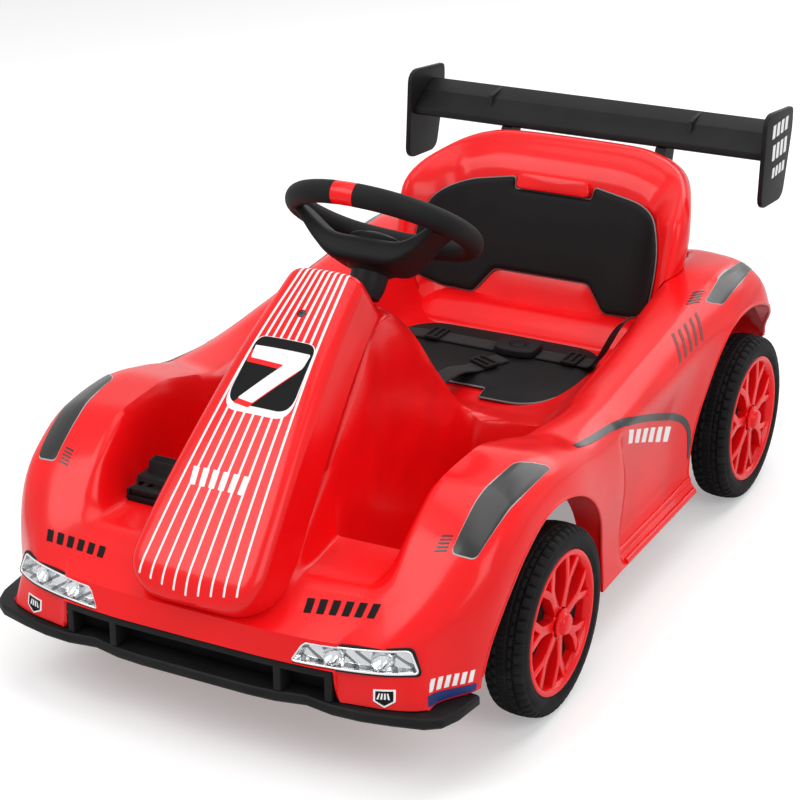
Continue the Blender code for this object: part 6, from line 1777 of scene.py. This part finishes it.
def make_number_plate(black, white, red):
    """The race number 7 on its plate: a border, a field, a shade and the figure, one over another."""
    corners = np.array([(-0.0335, -0.0375), (0.0335, -0.0375), (0.0375, -0.1000), (-0.0375, -0.1000)])
    plate = resample(rounded(corners, [0.010, 0.010, 0.016, 0.016], 8), 96, closed=True)
    edge = corners + [(-0.0008, 0.0005), (0.0008, 0.0005), (0.0016, -0.0062), (-0.0016, -0.0062)]
    border = resample(rounded(edge, [0.010, 0.010, 0.018, 0.018], 8), 96, closed=True)
    settle(film("plate_border", border, on_cover, 0.00030), white, "chassis")
    settle(film("plate_field", plate, on_cover, 0.00055), black, "chassis")
    for shift, lift, material, name in (((-0.0030, -0.0042), 0.00075, red, "shade"),
                                        ((0, 0), 0.00100, white, "figure")):
        pieces = [film(name, resample(np.array(b) + shift, 60, closed=True), on_cover, lift)
                  for b in NUMBER_BARS]
        settle(join("race_number_" + name, pieces), material, "chassis")


def make_fender_inserts(black, pale):
    """Film inserts and slits on the fenders, and the stripe along each side."""
    for side, name in SIDES:
        for outline, end in ((REAR_INSERT, "rear"), (FRONT_INSERT, "front")):
            o = resample(rounded(flip(outline, side), 0.006, 6), 150, closed=True)
            c = o.mean(axis=0)
            d = o - c
            grown = c + d * (1 + 0.0016 / np.linalg.norm(d, axis=1, keepdims=True))
            settle(film("insert_line_" + end + "_" + name, grown, on_skin, 0.0003, 14), pale, "chassis")
            settle(film("insert_" + end + "_" + name, o, on_skin, 0.0006, 14), black, "chassis")
        for slits, end in ((REAR_SLITS, "rear"), (FRONT_SLITS, "front")):
            (a0, a1), (b0, b1) = np.array(slits)
            bars = []
            for k in range(5):
                t = k / 4
                ends = flip([a0 + (b0 - a0) * t, a1 + (b1 - a1) * t], side)
                bars.append(strip("slit", resample(ends, 6), 0.0017 if end == "front" else 0.0026,
                                  on_skin, 0.0005, 10))
            settle(join("slits_" + end + "_" + name, bars), black, "chassis")
        line = strip("side_stripe_" + name, flip(SIDE_STRIPE, side), SIDE_WIDTHS, clear_of_arch, 0.0005,
                     90)
        settle(line, black, "chassis")


def slanted_bars(name, field, surface, count=6, lift=0.0005, share=0.58, lean=0.35):
    """Bars across a four-cornered field: each takes its share of the pitch and leans by a part of it."""
    a, b, c, d = np.array(field, float)
    bars = []
    for k in range(count):
        s0, s1 = (k + lean) / (count + lean), (k + lean + share) / (count + lean)
        slip = lean / (count + lean)
        o = [a + (b - a) * s0, a + (b - a) * s1, d + (c - d) * (s1 - slip), d + (c - d) * (s0 - slip)]
        bars.append(film("bar", resample(o, 36, closed=True), surface, lift, 4))
    return join(name, bars)


def on_end_plate(p, lift=0.0):
    """Places on the left end plate's outer face, from distances along y and heights."""
    p = np.asarray(p, float)
    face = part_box("wing_end_plate_left")[1].x
    return to_row(np.insert(p, 0, face + lift, axis=-1))


def make_marks(black, white, grey, blue):
    """Plain slanted bars, shields and labels on the nose, the sides, the cover and the end plates."""
    def bars(name, field, surface, material, **shape):
        settle(slanted_bars(name, field, surface, **shape), material, "chassis")

    def label(name, outline, lift, material):
        settle(film(name, resample(outline, 60, closed=True), on_skin, lift, 5), material, "chassis")

    for k, field in enumerate(NOSE_BARS):
        bars("nose_bars_%d" % k, field, on_skin, black)
    bars("cover_bars", COVER_BARS, on_cover, white, lift=0.0006)
    for side, name in SIDES:
        bars("side_bars_" + name, flip(SIDE_BARS, side), clear_of_arch, white)
        bars("rear_bars_" + name, flip(REAR_BARS, side), on_skin, grey, count=5, share=0.4)
        bars("label_bars_" + name, flip(LABEL_TOP, side), on_skin, white)
        label("label_field_" + name, flip(LABEL_LOW, side), 0.0005, blue)
        shield = flip(SHIELD, side)
        label("shield_" + name, shield, 0.0005, white)
        field = shield.mean(axis=0) + (shield - shield.mean(axis=0)) * 0.8
        label("shield_field_" + name, field, 0.0008, black)
        a, b, c, _, e = field
        top = a * 0.5 + b * 0.5
        inside = [a * 0.8 + c * 0.2, b * 0.8 + e * 0.2, c * 0.85 + top * 0.15, e * 0.85 + top * 0.15]
        bars("shield_bars_" + name, inside, on_skin, white, count=4, lift=0.0011, share=0.5, lean=0.0)
        rows = [slanted_bars("row", [(y0, z0), (y1, z0), (y1, z1), (y0, z1)], on_end_plate, 4, 0.0004,
                             0.62, 0.2) for y0, y1, z0, z1 in PLATE_ROWS]
        settle(place(join("end_plate_bars_" + name, rows), mirror_x(side)), white, "chassis")


# Stage

WHITE = (1.0, 1.0, 1.0)
WORLD_LIGHT = 0.42
FLOOR_GLOW = 0.30
FLOOR_HALF = 6.0
# Name, place, aim, width and share of the key light's power
LIGHTS = [("key", (-1.3, -1.9, 2.6), (0, 0, 0.15), 1.8, 1.0),
          ("fill", (2.4, -1.2, 1.9), (0, 0, 0.2), 1.8, 0.75),
          ("top", (0.1, 0.3, 3.0), (0, 0, 0.2), 2.4, 0.8),
          ("back", (0.6, 2.4, 1.9), (0, 0.2, 0.3), 1.8, 0.55)]
CAMERA_AT = (1.1084, -2.0674, 1.2106)
CAMERA_TURN = (28.993, 23.542, -1.094)
CAMERA_LENS = 101.58


def make_stage(colour, light_power):
    """Floor, world, lights and camera."""
    size = FLOOR_HALF
    floor = raw("studio_floor", [(-size, -size, 0), (size, -size, 0), (size, size, 0), (-size, size, 0)],
                [(0, 1, 2, 3)])
    lowest = min(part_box("tyre_" + n)[0].z for n in ("front_left", "rear_left"))
    place(floor, Matrix.Translation((0, 0, lowest)))
    floor.data.materials.append(stage_finish("studio_floor", colour))
    bpy.context.scene.world = studio_world("studio_world")
    for name, at, aim, width, power in LIGHTS:
        data = bpy.data.lights.new(name, "AREA")
        data.shape = "SQUARE"
        data.size = width
        data.energy = light_power * power
        lamp = bpy.data.objects.new(name + "_light", data)
        turn = (Vector(aim) - Vector(at)).to_track_quat("-Z", "Y").to_matrix().to_4x4()
        lamp.matrix_world = Matrix.Translation(at) @ turn
        bpy.context.scene.collection.objects.link(lamp)
    bpy.context.scene.view_settings.view_transform = "Standard"
    add_camera()


def studio_world(name):
    """Soft light all round that the camera, a reflection and a view through a lens see as plain white."""
    t = Tree(name, bpy.data.worlds, "Background")
    seen = t.ray("Is Camera Ray").math("MAXIMUM", t.ray("Is Glossy Ray"))
    seen = seen.math("MAXIMUM", t.ray("Is Transmission Ray"))
    light, white = [t.node("ShaderNodeBackground", None, [WHITE, strength])
                    for strength in (WORLD_LIGHT, 1.0)]
    t.put(t.nodes["World Output"].inputs["Surface"],
          t.node("ShaderNodeMixShader", None, [seen, light, white]))
    return t.owner


def stage_finish(name, colour):
    """A pale floor that glows a little for the camera alone: white, with the object's shadow on it."""
    t = Tree(name)
    t.feed("Base Color", colour)
    t.feed("Roughness", 0.9)
    t.feed("Specular IOR Level", 0.0)
    t.feed("Emission Color", WHITE)
    t.feed("Emission Strength", t.ray("Is Camera Ray") * FLOOR_GLOW)
    return t.owner


def add_camera():
    """The photograph's viewpoint: azimuth 29 degrees, 23.5 degrees up, with a small roll."""
    az, el, roll = np.radians(CAMERA_TURN).tolist()
    back = Vector((sin(az) * cos(el), -cos(az) * cos(el), sin(el)))
    right = Vector((cos(az), sin(az), 0))
    up = back.cross(right)
    r = right * cos(roll) + up * sin(roll)
    u = -right * sin(roll) + up * cos(roll)
    data = bpy.data.cameras.new("camera")
    data.lens = CAMERA_LENS
    data.sensor_width = 36
    data.clip_end = 30
    camera = bpy.data.objects.new("camera", data)
    camera.matrix_world = Matrix.Translation(CAMERA_AT) @ Matrix((r, u, back)).transposed().to_4x4()
    bpy.context.scene.collection.objects.link(camera)
    bpy.context.scene.camera = camera


# Add-on


def kept(name, maker, *settings):
    """A material by name, made the first time that it is asked for."""
    return bpy.data.materials.get(name) or maker(name, *settings)


def colour_setting(name, description, default):
    """A colour for the panel."""
    return bpy.props.FloatVectorProperty(name=name, description=description, default=default,
                                         subtype="COLOR", size=3, min=0.0, max=1.0)


def length_setting(name, description, default):
    """A length for the panel."""
    return bpy.props.FloatProperty(name=name, description=description, default=default,
                                   subtype="DISTANCE", unit="LENGTH", min=0.0, precision=4)


class KartColours(bpy.types.PropertyGroup):
    red: colour_setting("Red", "Colour of the moulded body, seat, wheels and nose cover",
                        (0.87, 0.005, 0.007))
    black: colour_setting("Black", "Colour of the satin black mouldings", (0.0085, 0.0085, 0.009))
    rubber: colour_setting("Rubber", "Colour of the tyres", (0.0065, 0.0065, 0.007))
    pad: colour_setting("Pads", "Colour of the seat's padding", (0.0065, 0.0062, 0.0065))
    # The bead round the pads is real; its pale grey, far lighter than the pads, is a painted highlight
    # along their edges.
    piping: colour_setting("Piping", "Colour of the bead round the pads", (0.14, 0.14, 0.145))
    webbing: colour_setting("Webbing", "Colour of the harness straps", (0.0065, 0.0065, 0.0065))
    print_white: colour_setting("Print", "Colour of the printed stripes and number", (0.86, 0.86, 0.86))
    line: colour_setting("Insert line", "Colour of the line round the fender inserts", (0.42, 0.42, 0.43))
    mark_grey: colour_setting("Grey marks", "Colour of the bars behind the seat's sides",
                              (0.22, 0.05, 0.05))
    mark_blue: colour_setting("Blue label", "Colour of the labels at the front corners",
                              (0.015, 0.035, 0.16))
    steel: colour_setting("Steel", "Colour of the axles, knuckles and screw", (0.55, 0.56, 0.58))
    silver: colour_setting("Silver", "Colour of the lamps' bright rims", (0.78, 0.79, 0.80))
    battery: colour_setting("Battery", "Colour of the battery's case", (0.18, 0.19, 0.20))
    floor: colour_setting("Floor", "Colour of the studio floor", (0.84, 0.84, 0.84))
    gloss: bpy.props.FloatProperty(name="Gloss", description="Roughness of the red mouldings",
                                   default=0.20, min=0.0, max=1.0, subtype="FACTOR")


class KartSizes(bpy.types.PropertyGroup):
    tread_depth: length_setting("Tread depth", "Depth of the grooves between the tyres' blocks", 0.0028)
    tread_blocks: bpy.props.IntProperty(name="Tread blocks",
                                        description="Blocks round each tyre's shoulder", default=52,
                                        min=12, max=90)
    back_crown: length_setting("Back pad height", "How far the back pad stands off the seat", 0.0090)
    seat_crown: length_setting("Seat pad height", "How far the seat pad stands off the deck", 0.0095)
    bead_radius: length_setting("Piping radius", "Radius of the bead round the pads", 0.0013)
    edge_width: length_setting("Edge rounding", "Width of the rounding on the satin black mouldings",
                               0.0011)
    light_power: bpy.props.FloatProperty(name="Light", description="Power of the key light", default=42.0,
                                         min=0.0, unit="POWER")


def settings():
    """The panel's colours and sizes."""
    return bpy.context.scene.kart_colours, bpy.context.scene.kart_sizes


def red_finish(c):
    return kept("kart_red", red_moulding, c.red, c.gloss)


def black_finish(c):
    return kept("kart_black", satin_black, c.black, 0.40)


class KART_OT_body(bpy.types.Operator):
    """Make the red body moulding with its wheel arches, lamp holes, arch lips and sill ridges"""

    bl_idname = "kart.body"
    bl_label = "Body"

    def execute(self, context):
        c, _ = settings()
        make_hull(red_finish(c))
        make_arch_lips(red_finish(c))
        make_sills(red_finish(c))
        return {"FINISHED"}


class KART_OT_nose(bpy.types.Operator):
    """Make the striped nose cover and its screw"""

    bl_idname = "kart.nose"
    bl_label = "Nose cover"

    def execute(self, context):
        c, _ = settings()
        make_cover(kept("kart_stripes", striped_red, c.red, c.print_white, c.gloss))
        make_screw(kept("kart_screw", metal_finish, tuple(k * 0.12 for k in c.steel), 0.35))
        return {"FINISHED"}


class KART_OT_front(bpy.types.Operator):
    """Finish the black grille bar and splitter under the nose"""

    bl_idname = "kart.front"
    bl_label = "Grille and splitter"

    def execute(self, context):
        c, z = settings()
        for node in ("front_bumper", "front_splitter"):
            dress(node, black_finish(c), "chassis", z.edge_width, 3)
        return {"FINISHED"}


class KART_OT_lamps(bpy.types.Operator):
    """Make both headlights: reflector, lens, bright rim and seal"""

    bl_idname = "kart.lamps"
    bl_label = "Headlights"

    def execute(self, context):
        c, _ = settings()
        # The reflector takes the black as painted shade in its folds.
        make_lamps(kept("kart_silver", metal_finish, c.silver, 0.16), black_finish(c),
                   kept("kart_reflector", reflector_finish, c.silver, c.black),
                   kept("kart_lens", clear_finish))
        return {"FINISHED"}


class KART_OT_wheels(bpy.types.Operator):
    """Make the four tyres, forked rims and domed caps"""

    bl_idname = "kart.wheels"
    bl_label = "Wheels"

    def execute(self, context):
        c, z = settings()
        tyre = tube_grid("tyre", tyre_grid(z.tread_blocks, z.tread_depth), loop_rows=True)
        make_wheels("tyre", tyre, kept("kart_rubber", rubber_finish, c.rubber))
        make_wheels("rim", rim_mesh(), red_finish(c))
        # A black disc behind each rim's spokes is painted shade for the hollow wheel's shadowed inside.
        make_wheels("rim_painted_shade_disc", painted_shade_disc_mesh(), black_finish(c))
        make_wheels("hub_cap", cap_mesh(), red_finish(c))
        return {"FINISHED"}


class KART_OT_seat(bpy.types.Operator):
    """Make the red seat back, the two padded cushions and the beads round them, pale as a painted
    highlight
    """

    bl_idname = "kart.seat"
    bl_label = "Seat"

    def execute(self, context):
        c, z = settings()
        leather = kept("kart_pad", pad_finish, c.pad)
        # The beads' pale grey is a painted highlight along the pads' edges.
        piping = kept("kart_piping", vinyl, c.piping, 0.28, 0.5)
        make_seat_back(red_finish(c))
        make_back_pad(leather, piping, z.back_crown, z.bead_radius)
        make_seat_pad(leather, piping, z.seat_crown, z.bead_radius)
        return {"FINISHED"}


class KART_OT_harness(bpy.types.Operator):
    """Lay the three straps over the seat and make the buckle and the ladder adjusters"""

    bl_idname = "kart.harness"
    bl_label = "Harness"

    def execute(self, context):
        c, _ = settings()
        make_belts(kept("kart_webbing", webbing_finish, c.webbing))
        make_buckle(black_finish(c), kept("kart_button", satin_black, c.black, 0.28))
        make_adjusters(black_finish(c))
        return {"FINISHED"}


class KART_OT_steering(bpy.types.Operator):
    """Make the steering wheel's grip, band, hub and horn, and finish the column and linkage"""

    bl_idname = "kart.steering"
    bl_label = "Steering"

    def execute(self, context):
        c, _ = settings()
        make_grip(kept("kart_grip", satin_black, c.black, 0.55), red_finish(c))
        make_hub(black_finish(c), kept("kart_horn", satin_black, c.black, 0.26))
        steel = kept("kart_steel", metal_finish, c.steel, 0.28)
        for node, body in (("steering_shaft", "steering"), ("steering_knuckle_left", "knuckle_left"),
                           ("steering_knuckle_right", "knuckle_right"), ("tie_rod", "tie_rod")):
            dress(node, steel, body, 0.0003, 2)
        for node in ("front_axle_beam", "column_bracket"):
            dress(node, black_finish(c), "chassis", 0.0004, 2)
        return {"FINISHED"}


class KART_OT_wing(bpy.types.Operator):
    """Finish the rear wing's blade, end plates and posts"""

    bl_idname = "kart.wing"
    bl_label = "Rear wing"

    def execute(self, context):
        c, z = settings()
        for node in ("wing_blade", "wing_end_plate_left", "wing_end_plate_right", "wing_post_left",
                     "wing_post_right"):
            dress(node, black_finish(c), "chassis", z.edge_width, 3)
        return {"FINISHED"}


class KART_OT_controls(bpy.types.Operator):
    """Make the pedal, the power button, the direction rocker and their panel"""

    bl_idname = "kart.controls"
    bl_label = "Pedal and switches"

    def execute(self, context):
        c, _ = settings()
        make_pedal(black_finish(c), kept("kart_rubber", rubber_finish, c.rubber))
        make_switches(black_finish(c), red_finish(c), kept("kart_print", vinyl, c.print_white))
        return {"FINISHED"}


class KART_OT_drive(bpy.types.Operator):
    """Finish the pan, battery, control box, rear axle, gearboxes and motors"""

    bl_idname = "kart.drive"
    bl_label = "Pan and drive"

    def execute(self, context):
        c, z = settings()
        steel = kept("kart_steel", metal_finish, c.steel, 0.28)
        for node in ("chassis_pan", "control_box", "gearbox_left", "gearbox_right"):
            dress(node, black_finish(c), "chassis", z.edge_width, 2)
        for node in ("rear_axle", "motor_left", "motor_right"):
            dress(node, steel, "chassis", 0.0006, 2)
        dress("battery", kept("kart_battery", satin_black, c.battery, 0.5), "chassis", 0.0012, 2)
        return {"FINISHED"}


class KART_OT_prints(bpy.types.Operator):
    """Lay the number plate, fender inserts, slits, side stripes and plain marks on the body and wing"""

    bl_idname = "kart.prints"
    bl_label = "Printed films"

    def execute(self, context):
        c, _ = settings()
        white = kept("kart_print", vinyl, c.print_white)
        black = kept("kart_film_black", vinyl, c.black, 0.45, 0.06)
        make_number_plate(black, white, kept("kart_film_red", vinyl, c.red))
        make_marks(black, white, kept("kart_mark_grey", vinyl, c.mark_grey),
                   kept("kart_mark_blue", vinyl, c.mark_blue))
        make_fender_inserts(kept("kart_insert", satin_black, c.black, 0.16, 0.45),
                            kept("kart_line", vinyl, c.line))
        return {"FINISHED"}


class KART_OT_stage(bpy.types.Operator):
    """Make the pale floor, the soft lights, the world and the camera"""

    bl_idname = "kart.stage"
    bl_label = "Stage"

    def execute(self, context):
        c, z = settings()
        make_stage(c.floor, z.light_power)
        return {"FINISHED"}


PIECES = (KART_OT_body, KART_OT_nose, KART_OT_front, KART_OT_lamps, KART_OT_wheels, KART_OT_seat,
          KART_OT_harness, KART_OT_steering, KART_OT_wing, KART_OT_controls, KART_OT_drive,
          KART_OT_prints, KART_OT_stage)


class KART_PT_panel(bpy.types.Panel):
    """Sizes, colours and buttons of the go-kart's pieces"""

    bl_idname = "KART_PT_panel"
    bl_label = "Go-kart"
    bl_space_type = "VIEW_3D"
    bl_region_type = "UI"
    bl_category = "Go-kart"

    def draw(self, context):
        for group in settings():
            box = self.layout.box()
            for name in group.bl_rna.properties.keys():
                if name not in ("rna_type", "name"):
                    box.prop(group, name)
        for operator in PIECES:
            self.layout.operator(operator.bl_idname)


CLASSES = (KartColours, KartSizes, *PIECES, KART_PT_panel)


def register():
    for item in CLASSES:
        bpy.utils.register_class(item)
    bpy.types.Scene.kart_colours = bpy.props.PointerProperty(type=KartColours)
    bpy.types.Scene.kart_sizes = bpy.props.PointerProperty(type=KartSizes)


def unregister():
    del bpy.types.Scene.kart_sizes
    del bpy.types.Scene.kart_colours
    for item in reversed(CLASSES):
        bpy.utils.unregister_class(item)


def main():
    register()
    for operator in PIECES:
        group, name = operator.bl_idname.split(".")
        getattr(getattr(bpy.ops, group), name)()


if __name__ == "__main__":
    main()
